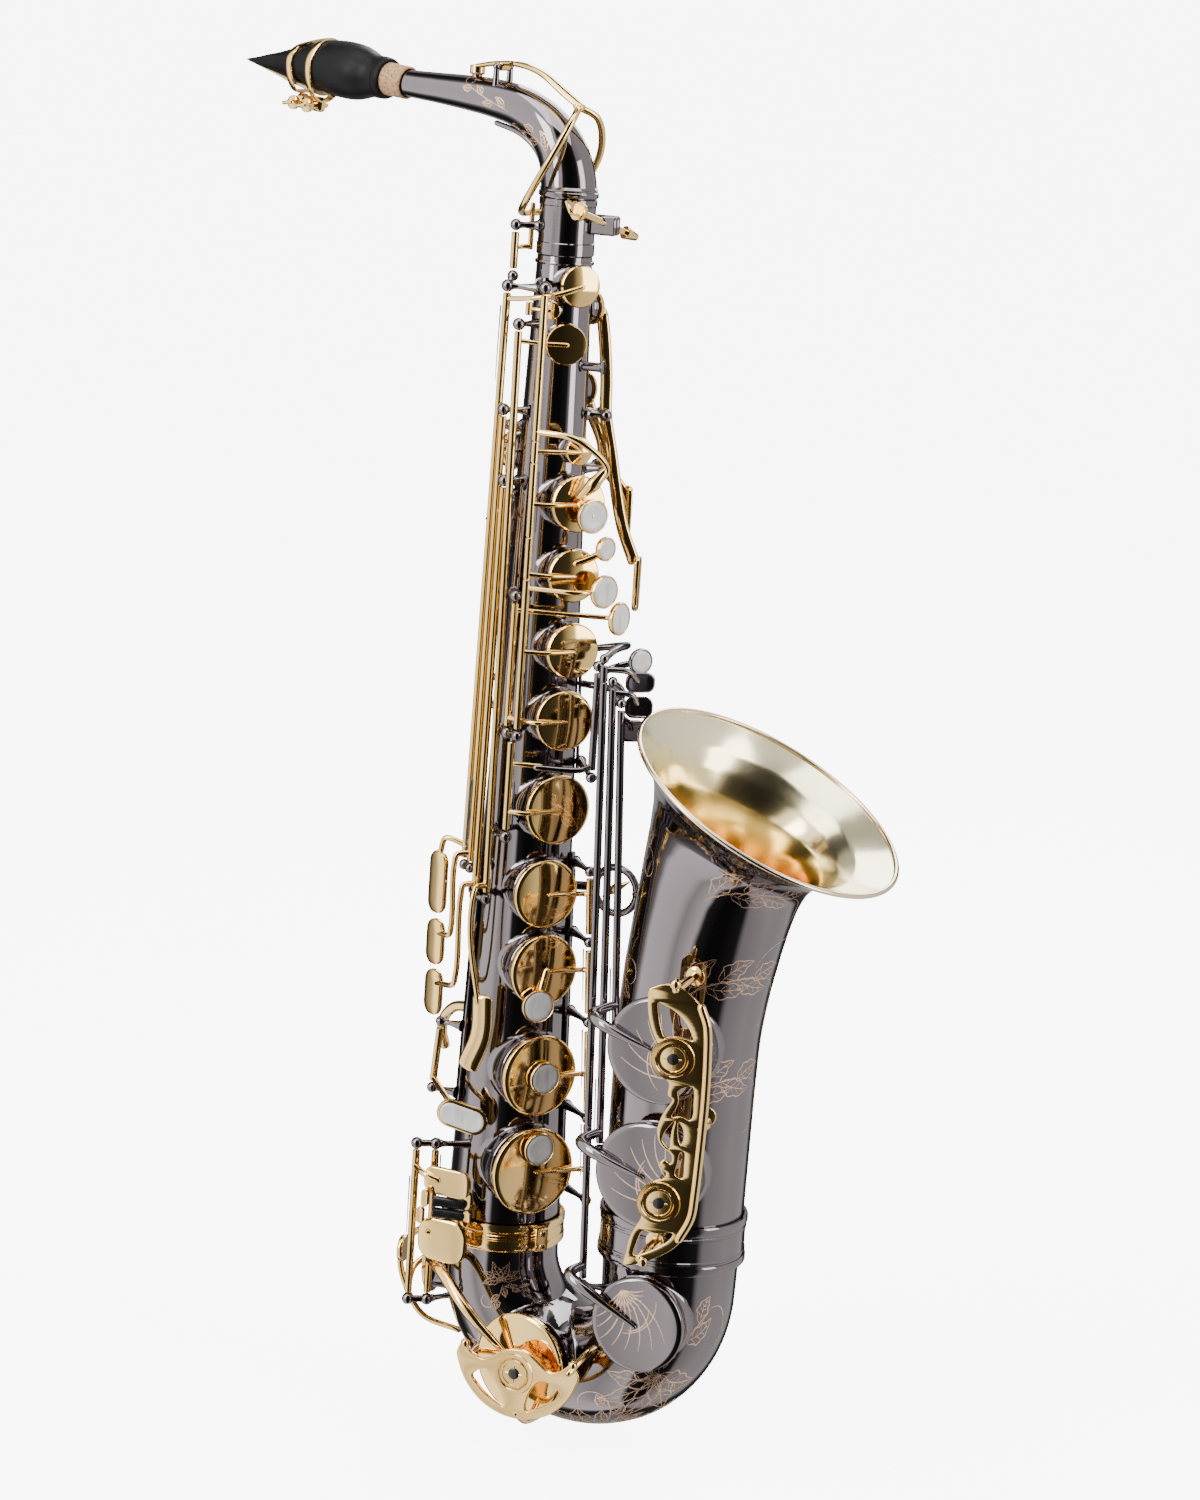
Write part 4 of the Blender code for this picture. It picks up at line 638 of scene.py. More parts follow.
class ToneHole(Hole):
    """A tone hole of the body tube."""

    def __init__(self, z, theta, cup_r, height=CHIMNEY_H, pad=PAD_T):
        self.z, self.theta, self.cup_r = z, theta, cup_r
        self.normal = around(1, theta, 0)
        self.pad = pad
        self.mouth = self.normal * (tube_radius(z) + height) + Vector((0, 0, z))
        self.depth = tube_radius(z) + height - 4.0
        self.bore_r = cup_r - 2.8
        self.cup_base = self.mouth + self.normal * GAP
        self.cup_top = self.cup_base + self.normal * pad

    def arm(self, start, lift=0.9, radius=ARM_R):
        """An arm from a hinge rod over the cup's edge to its middle."""
        start = Vector(start)
        side = start - self.cup_top
        side -= self.normal * side.dot(self.normal)
        side.z = 0
        side.normalize()
        edge = self.cup_top + side * (self.cup_r + 1.4) + self.normal * lift
        edge.z += (start.z - self.z) * 0.5
        inner = self.cup_top + side * self.cup_r * 0.5 + self.normal * (lift - 0.2)
        inner.z += (start.z - self.z) * 0.25
        end = self.cup_top + self.normal * (lift - 0.2)
        return bar([start, edge, inner, end], radius, [1.25, 1.05, 0.95, 0.45], squash=0.8)


HIGH_E = ToneHole(-38.5, -36, 9.7, 4.0, 3.6)
HIGH_F_SHARP = ToneHole(-65, -51, 9.5, 3.0, 3.2)
BODY_VENT = ToneHole(-50, -75, 4.2, 3.0, 2.6)
C_VENT = ToneHole(-113, -30.5, 6.5, 4.0, 3.4)
B_HOLE = ToneHole(-137, -29.5, 13.2)
BIS_HOLE = ToneHole(-170, -31, 12.5)
A_HOLE = ToneHole(-205, -28, 13.0)
G_HOLE = ToneHole(-237.5, -30, 14.2)
G_SHARP_HOLE = ToneHole(-280, -32, 16.5)
F_SHARP_HOLE = ToneHole(-319, -41, 16.3)
F_HOLE = ToneHole(-355.5, -39, 17.3)
E_HOLE = ToneHole(-406, -38, 19.5)
D_HOLE = ToneHole(-452, -40, 21.0)
SIDE_C_HOLE = ToneHole(-118, 180, 9.8, 3.6, 3.6)
SIDE_BB_HOLE = ToneHole(-150, 178, 10.8, 3.6, 3.6)
PALM_F_HOLE = ToneHole(-50, 68, 8.2, 3.2, 3.4)
PALM_EB_HOLE = ToneHole(-88, 83, 9.2, 3.2, 3.4)
PALM_D_HOLE = ToneHole(-106, 128, 9.6, 3.2, 3.4)
TUBE_HOLES = [
    HIGH_E, HIGH_F_SHARP, BODY_VENT, C_VENT, B_HOLE, BIS_HOLE, A_HOLE, G_HOLE, G_SHARP_HOLE,
    F_SHARP_HOLE, F_HOLE, E_HOLE, D_HOLE, SIDE_C_HOLE, SIDE_BB_HOLE, PALM_F_HOLE, PALM_EB_HOLE,
    PALM_D_HOLE,
]


class BigHole(Hole):
    """A low tone hole on the bell or bow, covered by a large cup."""

    def __init__(self, axis_point, tube_r, normal_theta, cup_r, height=CHIMNEY_H, pad=4.5):
        self.normal = around(1, normal_theta, 0)
        self.cup_r, self.pad = cup_r, pad
        self.mouth = Vector(axis_point) + self.normal * (tube_r + height)
        self.depth = tube_r + height - 4.0
        self.bore_r = cup_r - 3.5
        self.cup_base = self.mouth + self.normal * GAP
        self.cup_top = self.cup_base + self.normal * pad

    def arm(self, points, lift=1.1, radius=1.9):
        route = list(points)
        sizes = [1.0] + [1.5] * (len(route) - 1) + [0.5]
        return bar(route + [self.cup_top + self.normal * (lift - 0.4)], radius, sizes)


LOW_B = BigHole((91.8, 0, -375), 33.6, -79, 25)
LOW_BB = BigHole((91.0, 0, -435), 33.0, -81, 25)
LOW_C_SHARP = BigHole((BELL_X, 0, -508), 32.0, -83, 22.5, 4.8)
LOW_C = BigHole((37.0, 0, -541), 28.6, -91, 24.5)
LOW_EB = BigHole((0, 0, -511), 27.3, 193, 17.5, 3.8, 4.0)


# ---------------------------------------------------------------- hinge rods

class HingeRod:
    """A straight hinge line between two plan positions."""

    def __init__(self, top, bottom):
        self.top, self.bottom = at(*top), at(*bottom)
        self.axis = (self.top - self.bottom).normalized()

    def point(self, z):
        share = (self.top.z - z) / (self.top.z - self.bottom.z)
        return self.top.lerp(self.bottom, share)

    def tube(self, high, low, radius=ROD_R):
        return rod(self.point(high), self.point(low), radius)


LEFT_STACK = HingeRod((-7.3, 29.0, -40), (-7.3, 34.0, -245))
G_ROD = HingeRod((-12.0, 23.5, -184), (-12.0, 25.5, -245))
G_SHARP_ROD = HingeRod((-9.6, 33.0, -247), (-9.6, 34.0, -292))
HIGH_E_ROD = HingeRod((-25.0, 8.0, -44), (-28.5, 9.0, -312))
SIDE_C_ROD = HingeRod((-23.3, 12.2, -100), (-25.6, 15.4, -312))
SIDE_BB_ROD = HingeRod((-20.8, 17.0, -132), (-22.5, 20.8, -324))
HIGH_F_SHARP_ROD = HingeRod((-18.5, 19.0, -57), (-17.0, 25.4, -324))
RIGHT_STACK = HingeRod((30.5, 24.0, -308), (39.0, 26.0, -467))
LOW_C_SHARP_ROD = HingeRod((30.5, 50.0, -202.5), (40.0, 58.0, -498))
LOW_BB_ROD = HingeRod((35.0, 50.0, -212.8), (43.5, 58.0, -432))
LOW_B_ROD = HingeRod((39.5, 50.0, -222.6), (47.0, 58.0, -376))
G_SHARP_LEVER_ROD = HingeRod((28.0, 35.0, -209), (28.0, 36.0, -261))
EB_ROD = HingeRod((-42.5, 21.0, -446), (-42.5, 22.0, -523))
C_ROD = HingeRod((-33.5, 20.0, -446), (-33.5, 21.0, -523))
ALT_F_SHARP_ROD = HingeRod((-35.5, 2.0, -394), (-37.6, 2.0, -424))
OCTAVE_ROD = HingeRod((-23.0, 4.0, -15), (-23.0, 4.0, -36))
SIDE_C_CUP_ROD = HingeRod((-19.8, 3.8, -105.0), (-19.8, 3.8, -131.0))
SIDE_BB_CUP_ROD = HingeRod((-21.5, 4.0, -137.0), (-21.5, 4.0, -163.0))

# Palm keys: the middle of each short cross rod and its direction round the tube
PALM_HALF = 3.0
PALM_PIVOTS = {
    "palm_f_key": (at(22.5, -4.0, -98), at(0.175, 0.985, 0)),
    "palm_eb_key": (at(24.0, -15.0, -124), at(0.53, 0.848, 0)),
    "palm_d_key": (at(4.0, -25.5, -130), at(0.988, 0.155, 0)),
}


# ---------------------------------------------------------------- body

def post(foot, head, foot_r=2.4, head_r=1.5, ball_r=BALL_R):
    """A turned key post: flange, waisted stem, and the ball that holds a hinge rod's end."""
    foot, head = Vector(foot), Vector(head)
    length = (head - foot).length
    stem = ((foot_r + 0.7, 0), (foot_r + 0.7, 0.6), (foot_r + 0.2, 1.0), (foot_r * 0.82, length * 0.3),
            (head_r * 0.9, length * 0.62), (head_r, length * 0.8),
            (head_r + 0.5, max(length - ball_r, length * 0.85)),
            (head_r * 0.9, length))
    return [lathe(stem, foot, head - foot, 24), ball(head, ball_r)]


def strip(theta, high, low, width=5.0, thickness=1.5):
    """A rib plate that lies along the tube at theta, its edges eased."""
    normal, side = around(1, theta, 0), around(1, theta + 90, 0)
    rings = []
    half = width / 2
    for z in (high, high - 0.5, low + 0.5, low):
        near = tube_radius(z) + GAP
        ease = 0.4 if z in (high, low) else 0.0
        corners = ((0, -half + ease), (0, half - ease), (thickness - 0.4, half - ease),
                   (thickness - ease, half - 0.5),
                   (thickness - ease, -half + 0.5), (thickness - 0.4, -half + ease))
        rings.append([normal * (near + reach) + side * across + Vector((0, 0, z)) for reach,
                      across in corners])
    return rings_to_shape(rings)


def rib_post(theta, head, foot_r=2.2, ball_r=BALL_R):
    """A post on a rib at theta."""
    normal = around(1, theta, 0)
    flat_head = Vector((head.x, head.y, 0))
    surface = tube_radius(head.z) + GAP
    lean = (flat_head - normal * (surface + 1)).normalized()
    lift = foot_r * math.sqrt(max(0.0, 1 - lean.dot(normal) ** 2)) + 0.15
    return post(normal * (surface + lift) + Vector((0, 0, head.z)), head, foot_r, 1.4, ball_r)


def tube_post(head, foot_turn=0.0):
    """A post that stands on the tube wall below its head."""
    angle = math.degrees(math.atan2(head.y, head.x)) + foot_turn
    return post(around(tube_radius(head.z) - 0.2, angle, head.z), head)


def pivot_heads(centre, span):
    """Where the two posts hold the ends of a short rocking rod."""
    reach = PALM_HALF + GAP + BALL_R
    return [centre + span * reach * sign for sign in (1, -1)]


def carve(shape, cutters):
    """The shape less its cutters, with an exact Boolean."""
    held = []
    for item in [shape] + list(cutters):
        mesh = bpy.data.meshes.new("solid")
        mesh.from_pydata(item.points.tolist(), [], item.faces)
        work = bmesh.new()
        work.from_mesh(mesh)
        bmesh.ops.recalc_face_normals(work, faces=work.faces)
        work.to_mesh(mesh)
        work.free()
        solid = bpy.data.objects.new("solid", mesh)
        bpy.context.scene.collection.objects.link(solid)
        held.append(solid)
    for cutter in held[1:]:
        step = held[0].modifiers.new("Cut", "BOOLEAN")
        step.object = cutter
        step.operation = "DIFFERENCE"
        step.solver = "EXACT"
    bpy.context.view_layer.update()
    made = bpy.data.meshes.new_from_object(held[0].evaluated_get(bpy.context.evaluated_depsgraph_get()))
    points = [vertex.co[:] for vertex in made.vertices]
    faces = [tuple(face.vertices) for face in made.polygons]
    for solid in held:
        bpy.data.objects.remove(solid)
    return Shape(points, faces, shape.look)


def shell(line, thickness, sides=96, look=None, lift=0.0):
    """A thin tube round centres with frames and radii: outside going along, inside coming back."""
    rings = [circle(centre, side, up, radius + lift, sides) for centre, side, up, radius in line]
    rings += [circle(centre, side, up, radius + lift - thickness, sides) for centre, side, up,
              radius in line[::-1]]
    return rings_to_shape(rings, True, look)


def bare(line):
    """Centres and radii only, as onto_surface needs them."""
    return (np.array([centre[:] for centre, _, _, _ in line]), np.array([radius for _, _, _, radius in line]))


def tube_line(step=4.0):
    count = int((TUBE_TOP_Z - TUBE_BOTTOM_Z) / step)
    heights = [TUBE_BOTTOM_Z + (TUBE_TOP_Z - TUBE_BOTTOM_Z) * index / count for index in range(count + 1)]
    return [(Vector((0, 0, z)), Vector((1, 0, 0)), Vector((0, 1, 0)), tube_radius(z)) for z in heights]


def body_tube():
    line = tube_line()
    wall = carve(shell(line, WALL), [hole.cutter() for hole in TUBE_HOLES])
    fine = bare(tube_line(0.5))
    chimneys = [hole.plan(fine) for hole in TUBE_HOLES]
    bead = lathe_ring(((12.4, -30.2), (13.4, -30), (13.7, -29.2), (13.4, -28.4), (12.4, -28.2)), (0, 0, 0),
                      (0, 0, 1))
    posts = []
    for centre, span in PALM_PIVOTS.values():
        for head in pivot_heads(centre, span):
            posts += tube_post(head)
    for hinge in (SIDE_C_CUP_ROD, SIDE_BB_CUP_ROD):
        posts += tube_post(hinge.top) + tube_post(hinge.bottom)
    posts += post(at(-16, 17, -446), C_ROD.top)
    posts += [rod(C_ROD.top, EB_ROD.top, 1.7), ball(EB_ROD.top)]
    lyre = [rod(at(11.5, 6, -75.5), at(20.5, 8.6, -75.5), 2.2),
            disc(at(20, 8.5, -75.5), at(1, 0.3, 0), 3.2, 1.2)]
    part("body_tube", BLACK_NICKEL, [wall, bead] + chimneys + posts + lyre + engraving_of("body_tube"))


def bow_line():
    """Centre, frame and radius down the body side, round the bend and up the bell side."""
    bend_r = BELL_X / 2
    drop = TUBE_BOTTOM_Z - GAP - BOW_Z
    rise = BELL_FOOT_Z - GAP - BOW_Z
    length = drop + math.pi * bend_r + rise

    def radius(run):
        return BOW_TOP_R + (BOW_END_R - BOW_TOP_R) * run / length

    across = Vector((0, 1, 0))
    line = [(Vector((0, 0, BOW_Z + drop * (1 - step / 3))), Vector((-1, 0, 0)), across,
             radius(drop * step / 3))
            for step in range(3)]
    for step in range(49):
        angle = math.pi * step / 48
        centre = Vector((bend_r - bend_r * math.cos(angle), 0, BOW_Z - bend_r * math.sin(angle)))
        outward = Vector((-math.cos(angle), 0, -math.sin(angle)))
        line.append((centre, outward, across, radius(drop + bend_r * angle)))
    for step in range(1, 5):
        centre = Vector((BELL_X, 0, BOW_Z + rise * step / 4))
        line.append((centre, Vector((1, 0, 0)), across, radius(drop + math.pi * bend_r + rise * step / 4)))
    return line


def bow():
    holes = [LOW_C, LOW_C_SHARP, LOW_EB]
    line = bow_line()
    wall = carve(shell(line, WALL), [hole.cutter() for hole in holes])
    posts = post(at(-14, 13, -521), C_ROD.bottom)
    posts += [rod(C_ROD.bottom, EB_ROD.bottom, 1.7), ball(EB_ROD.bottom)]
    posts += post(Vector((72, -20, -501)), LOW_C_SHARP_ROD.point(-498))
    chimneys = [hole.plan(bare(line)) for hole in holes]
    part("bow", BLACK_NICKEL, [wall] + chimneys + posts + engraving_of("bow"))


def bell_line():
    """Centre, frame and radius from the bell's foot to just under its rim."""
    lean = (
        (BELL_FOOT_Z, BELL_X, 0, BELL_FOOT_R),
        (-440, 91.0, 0, 33.0), (-400, 91.2, 1, 33.4), (-375, 91.9, 4, 33.6), (-355, 93.8, 7, 34.2),
        (-336, 96.6, 10, 35.0), (-318, 99.8, 13, 36.0), (-302, 103.4, 17, 37.4), (-290, 107.0, 21, 39.6),
        (-280.5, 110.9, 24.5, 43.0), (-273.5, 114.9, 26.5, 47.8), (-268, 118.8, 28, 54.0),
        (-264.6, 121.9, 28.6, 60.4),
    )
    points, tilts, radii = [], [], []
    for z, x, tilt, radius in lean:
        points.append(Vector((x, RIM_CENTRE.y * max(0.0, (z + 318) / 57.0), z)))
        tilts.append(tilt)
        radii.append(radius)
    points.append(RIM_CENTRE.copy())
    tilts.append(RIM_TILT)
    radii.append(RIM_R - 0.6)
    each = 6
    path, _ = smooth_path(points, radii, False, each)
    packed = [Vector((tilt, radius, index * 10.0)) for index, (tilt, radius) in enumerate(zip(tilts, radii))]
    values, _ = smooth_path(packed, radii, False, each)
    line = []
    for centre, value in zip(path, values):
        angle = math.radians(value.x)
        line.append((centre, Vector((math.cos(angle), 0, -math.sin(angle))), Vector((0, 1, 0)), value.y))
    return line


def bell():
    holes = [LOW_B, LOW_BB]
    line = bell_line()
    cutters = [hole.cutter() for hole in holes]
    outside = carve(shell(line, 0.45, 128), cutters)
    inside = carve(shell(line, 0.45, 128, "pale", -0.45), cutters)
    normal = Vector((math.sin(math.radians(RIM_TILT)), 0, math.cos(math.radians(RIM_TILT))))
    roll = []
    for step in range(14):
        angle = 2 * math.pi * step / 14
        roll.append((RIM_R - 1.35 + 1.3 * math.cos(angle), 1.15 * math.sin(angle)))
    edge = lathe_ring(roll, RIM_CENTRE, normal, 128, "rim")
    posts = post(Vector((75, -22, -380)), LOW_B_ROD.point(-376))
    posts += post(Vector((72, -22, -434)), LOW_BB_ROD.point(-432))
    chimneys = [hole.plan(bare(line)) for hole in holes]
    part("bell", BLACK_NICKEL, [outside, inside, edge] + chimneys + posts + engraving_of("bell"))


def toothed(base, top, bottom, inner_r, outer_r, teeth, look=None):
    """A band whose outer face is knurled with upright teeth."""
    turns = np.arange(teeth * 2) * np.pi / teeth
    ridge = np.where(np.arange(teeth * 2) % 2, 0.0, 0.4)
    rings = []
    for radius, tooth, height in ((inner_r, 0, top), (outer_r - 0.45, 0, top), (outer_r, 1, top - 0.5),
                                  (outer_r, 1, bottom + 0.5), (outer_r - 0.45, 0, bottom),
                                  (inner_r, 0, bottom)):
        reach = radius - ridge * tooth
        rings.append(np.stack([base[0] + reach * np.cos(turns), base[1] + reach * np.sin(turns),
                               np.full(len(turns), base[2] + height)], axis=1))
    return rings_to_shape(rings, True, look)


def sleeve(name, look, centre_x, top, bottom, inner_r, outer_r, waist, clasp_theta=None):
    """A joining ring with a knurled band at each end and a bead beside each."""
    base = (centre_x, 0, 0)
    body = outer_r - waist
    profile = [
        (inner_r, top - 1), (body, top - 1), (body, top - 5), (body + 0.4, top - 5.4),
        (body + 0.4, top - 6.2),
        (body, top - 6.6), (body, bottom + 6.6), (body + 0.4, bottom + 6.2), (body + 0.4, bottom + 5.4),
        (body, bottom + 5), (body, bottom + 1), (inner_r, bottom + 1),
    ]
    clasp = []
    if clasp_theta is not None:
        middle = (top + bottom) / 2
        out = around(1, clasp_theta, 0)
        clasp.append(block(Vector(base) + out * (outer_r + 0.6) + Vector((0, 0, middle)),
                           (6.5, 7.0, top - bottom - 1.5),
                           (0, 0, 1), clasp_theta))
        face_at = out * (outer_r + 3.6) + Vector(base)
        for rise in (-3.2, 3.2):
            clasp.append(disc(face_at + Vector((0, 0, middle + rise)), out, 1.7, 1.1))
            clasp.append(disc(face_at + out * 0.9 + Vector((0, 0, middle + rise)), out, 0.8,
                              0.3).painted("plastic"))
    part(name, look, [lathe_ring(profile, base, (0, 0, 1), 96),
                      toothed(base, top, top - 4, inner_r, outer_r, 90),
                      toothed(base, bottom + 4, bottom, inner_r, outer_r, 90)] + clasp)


SCREW_START, SCREW_END = at(5.0, 19.5, -4.5), at(31.0, -4.0, -16.0)
EAR_THETA = 10.0
OCTAVE_POST_THETA = -142.0


def receiver():
    inner = TENON_R + 0.4
    collar = lathe_ring((
        (inner, 0), (RECEIVER_R - 0.4, 0), (RECEIVER_R, -0.4), (RECEIVER_R, -3.2), (RECEIVER_R - 0.35, -3.6),
        (RECEIVER_R - 0.35, -20), (RECEIVER_R, -20.4), (RECEIVER_R, -25.6), (RECEIVER_R - 0.4, -26),
        (inner, -26)),
        (0, 0, 0), (0, 0, 1), 80)
    radial, tangent = around(1, EAR_THETA, 0), around(1, EAR_THETA + 90, 0)
    ears = []
    for sign in (1, -1):
        centre = around(18.4, EAR_THETA, -11) + tangent * sign * 2.3
        square = Matrix.Translation(centre) @ upright_frame(radial, tangent, Z_UP)
        ears.append(rounded_block(square, (12.2, 3.4, 9), 0.9))
    head = OCTAVE_ROD.point(-13.5)
    post_pieces = post(around(RECEIVER_R - 0.5, OCTAVE_POST_THETA, head.z), head, 2.2, 1.6, 2.7)
    part("neck_receiver", BLACK_NICKEL, [collar] + ears + post_pieces)


def receiver_screw():
    axis = (SCREW_END - SCREW_START).normalized()
    shank = rod(SCREW_START, SCREW_END, 1.6)
    head = lathe(((4.2, 0), (4.4, 0.4), (4.4, 2.0), (3.9, 2.8), (2.6, 3.2), (0, 3.3)),
                 SCREW_START - axis * 0.5, axis)
    paddle = block(SCREW_START - axis * 3.0, (7.5, 2.0, 7.6), axis, 25)
    tip = rod(SCREW_END - axis * 6.5, SCREW_END + axis * 1.5, 3.2, 1.7)
    moving("receiver_screw", GOLD, [shank, head, paddle, tip], SCREW_START, axis)


# ---------------------------------------------------------------- neck, cork, mouthpiece

NECK_DIRECTION = around(1, 180 - NECK_SWING, 0)


def neck_point(reach, z):
    return NECK_DIRECTION * reach + Vector((0, 0, z))


NECK_PATH = (
    (0.0, 2.6, 12.9), (0.8, 8.0, 12.7), (2.6, 14.5, 12.2), (6.4, 21.8, 11.4), (12.4, 28.6, 10.7),
    (20.4, 34.0, 10.0), (31.0, 38.2, 9.5), (44.0, 40.6, 9.0), (60.0, 42.0, 8.2), (80.0, 42.9, 7.1),
    (CORK_START, 43.6, 6.3),
)
NECK_KEY_PIVOT = neck_point(43.0, 55.6)
NECK_SLOPE = math.radians(4.6)
NECK_END = neck_point(CORK_START, 43.6)
NECK_RUN = (NECK_DIRECTION * math.cos(NECK_SLOPE) + Vector((0, 0, math.sin(NECK_SLOPE)))).normalized()
NECK_SIDE = Vector((0, 0, 1)).cross(NECK_RUN).normalized()
NECK_UP = NECK_RUN.cross(NECK_SIDE)


def along_neck_end(distance, rise=0.0):
    return NECK_END + NECK_RUN * (distance - CORK_START) + NECK_UP * rise


def neck_block(distance, rise, size, edge=0.5):
    """A block square to the neck's end: size is across it, up and along it."""
    square = Matrix.Translation(along_neck_end(distance, rise)) @ upright_frame(NECK_SIDE, NECK_UP, NECK_RUN)
    return rounded_block(square, size, edge)


def neck_line():
    points = [neck_point(reach, z) for reach, z, _ in NECK_PATH]
    radii = [radius for _, _, radius in NECK_PATH]
    path, sizes = smooth_path(points + [along_neck_end(CORK_START + 12)], radii + [5.95], False, 8)
    line = []
    across = around(1, 90 - NECK_SWING, 0)
    for index, centre in enumerate(path):
        tangent = (path[min(index + 1, len(path) - 1)] - path[max(index - 1, 0)]).normalized()
        line.append((centre, across.cross(tangent).normalized() * -1, across, sizes[index]))
    return line


def neck():
    tube = shell(neck_line(), WALL, 72)
    tip = lathe_ring(((4.7, 0), (5.9, 0), (6.4, 21.5), (6.4, 22.8), (5.6, 23.2), (4.7, 23.2)),
                     along_neck_end(CORK_START + 11), NECK_RUN, 48)
    tenon = lathe_ring(((TENON_R - 1, -23), (TENON_R, -23), (TENON_R, 2), (TENON_R - 1, 2)), (0, 0, 0),
                       (0, 0, 1), 80)
    grip = RECEIVER_R + 0.5
    collar = lathe_ring((
        (TENON_R - 1, 0.4), (grip - 0.3, 0.4), (grip, 0.8), (grip, 2.6), (grip - 0.5, 3.1), (grip - 0.5, 3.6),
        (grip - 0.2, 4.0), (grip - 0.7, 4.6), (12.6, 5.2), (TENON_R - 1, 5.2)), (0, 0, 0), (0, 0, 1), 96)
    side = around(1, 90 - NECK_SWING, 0)
    saddle = []
    for offset in (-4.9, 4.9):
        saddle += [rod(neck_point(43, 46.5) + side * offset, NECK_KEY_PIVOT + side * offset, 1.7, 1.3),
                   ball(NECK_KEY_PIVOT + side * offset, 1.7)]
    saddle.append(neck_block(43.0, 6.4, (11.5, 2.0, 7.0), 0.8))
    vent = lathe_ring(((1.2, 0), (3.3, 0), (3.0, 1.6), (2.4, 2.4), (2.4, 5.2), (1.2, 5.2)),
                      neck_point(58.4, 46.0), (0, 0, 1))
    part("neck_tube", BLACK_NICKEL, [tube, tip, tenon, collar, vent] + saddle + engraving_of("neck_tube"))
    length = CORK_END - CORK_START - 0.6
    cork = lathe_ring(((6.75, 0), (7.3, 0), (7.7, 0.5), (7.7, length - 0.9), (7.1, length), (6.75, length)),
                      along_neck_end(CORK_START + 0.6), NECK_RUN, 56)
    part("neck_cork", CORK, [cork])
    below = [(radius, reach, z) for reach, z, radius in NECK_PATH[3:9]]
    brace_points = []
    for (radius, reach, z), (_, next_reach, next_z) in zip(below, below[1:]):
        slope = math.atan2(next_z - z, next_reach - reach)
        drop = radius + 0.3 + 1.5
        brace_points.append(neck_point(reach + drop * math.sin(slope), z - drop * math.cos(slope)))
    part("neck_brace", BLACK_NICKEL, [bar(brace_points, 1.35)])


# Mouthpiece sections: distance along the neck's line, half width and height of the top
SHANK = (
    (MOUTHPIECE_START, 9.3, 9.3), (113.5, 9.8, 9.8), (118.0, 9.7, 9.7), (122.0, 10.5, 10.5),
    (126.0, 11.9, 11.9), (130.0, 12.9, 12.9), (136.0, 13.4, 13.4), (143.0, 13.2, 13.2),
)
BEAK = (
    (150.0, 12.4, 12.2), (158.0, 11.4, 10.4), (166.0, 10.4, 7.6), (180.0, 9.3, 2.0),
    (190.0, 8.7, -1.4), (MOUTHPIECE_END - 0.5, 8.2, -3.2),
)
TABLE_START, TABLE_RISE, TABLE_SLOPE = 150.0, -12.2, 0.175
REED_T = 2.4
LIGATURE_START, LIGATURE_END, BAND_WIDTH = 150.4, 168.0, 3.9
LUG_RISE, BAND_DROP = -19.4, REED_T + 1.8


def table_at(distance):
    """Height of the flat that the reed lies on."""
    return TABLE_RISE + (distance - TABLE_START) * TABLE_SLOPE


def beak_ring(section, sides=64, grow=0.0, drop=0.0, first=0, last=None):
    """Points of one mouthpiece section: round on top, cut off flat by the table underneath."""
    distance, half_width, top = section
    floor = table_at(distance) - drop if distance > TABLE_START - 1 else -half_width
    level = max(floor, min(0.0, top - 1.0))
    ring = []
    for index in range(first, sides if last is None else last):
        angle = 2 * math.pi * index / sides
        height = math.sin(angle)
        rise = level + (top + grow - level) * height
        if height < 0:
            rise = max(floor - grow, level + (half_width + drop + grow) * height)
        across = (half_width + grow) * math.cos(angle)
        ring.append((along_neck_end(distance, rise) + NECK_SIDE * across)[:])
    return ring


def fine_sections(sections, each=5):
    return [tuple(value) for value in smooth_path(sections, [0] * len(sections), False, each)[0]]


def section_at(distance):
    fine = fine_sections(SHANK + BEAK)
    reach = [value[0] for value in fine]
    return (distance, float(np.interp(distance, reach, [value[1] for value in fine])),
            float(np.interp(distance, reach, [value[2] for value in fine])))


def mouthpiece():
    outside = rings_to_shape([beak_ring(section) for section in fine_sections(SHANK + BEAK)])
    bore = lathe(((8.0, 0), (8.0, CORK_END + 13 - MOUTHPIECE_START)), along_neck_end(MOUTHPIECE_START - 2),
                 NECK_RUN, 64)
    throat = lathe(((5.0, 0), (5.0, 172 - CORK_END - 8)), along_neck_end(CORK_END + 8), NECK_RUN, 40)
    window = neck_block(182, table_at(182) + 1.0, (7.5, 5.0, 22), 0.4)
    solid = carve(outside, [bore, throat, window])
    band = lathe_ring(((9.6, 0), (9.95, 0.3), (9.95, 1.5), (9.6, 1.8)), along_neck_end(115.2), NECK_RUN, 64)
    part("mouthpiece", RUBBER, [solid, band])


def reed():
    rings = []
    for distance, half_width, thickness in ((152, 6.0, REED_T), (152.5, 6.2, REED_T), (172, 6.8, REED_T),
                                            (175, 6.9, 2.0),
                                            (185, 7.2, 1.2), (195.5, 7.4, 0.5)):
        top = table_at(distance) - GAP
        corners = [(-1, top), (1, top), (0.98, top - thickness * 0.3)]
        corners += [(0.95 * math.cos(a), top - thickness * (0.3 + 0.7 * math.sin(a)))
                    for a in np.linspace(0.35, math.pi - 0.35, 9)]
        corners.append((-0.98, top - thickness * 0.3))
        rings.append([(along_neck_end(distance, rise) + NECK_SIDE * half_width * across)[:]
                      for across, rise in corners])
    part("reed", CANE, [rings_to_shape(rings)])


def respaced(points, count):
    """The same open line with count evenly spaced points."""
    last = len(points) - 1
    fine = []
    for spot in np.linspace(0, last, count):
        low = int(spot)
        start, end = np.array(points[low]), np.array(points[min(low + 1, last)])
        fine.append(tuple(start + (end - start) * (spot - low)))
    return fine


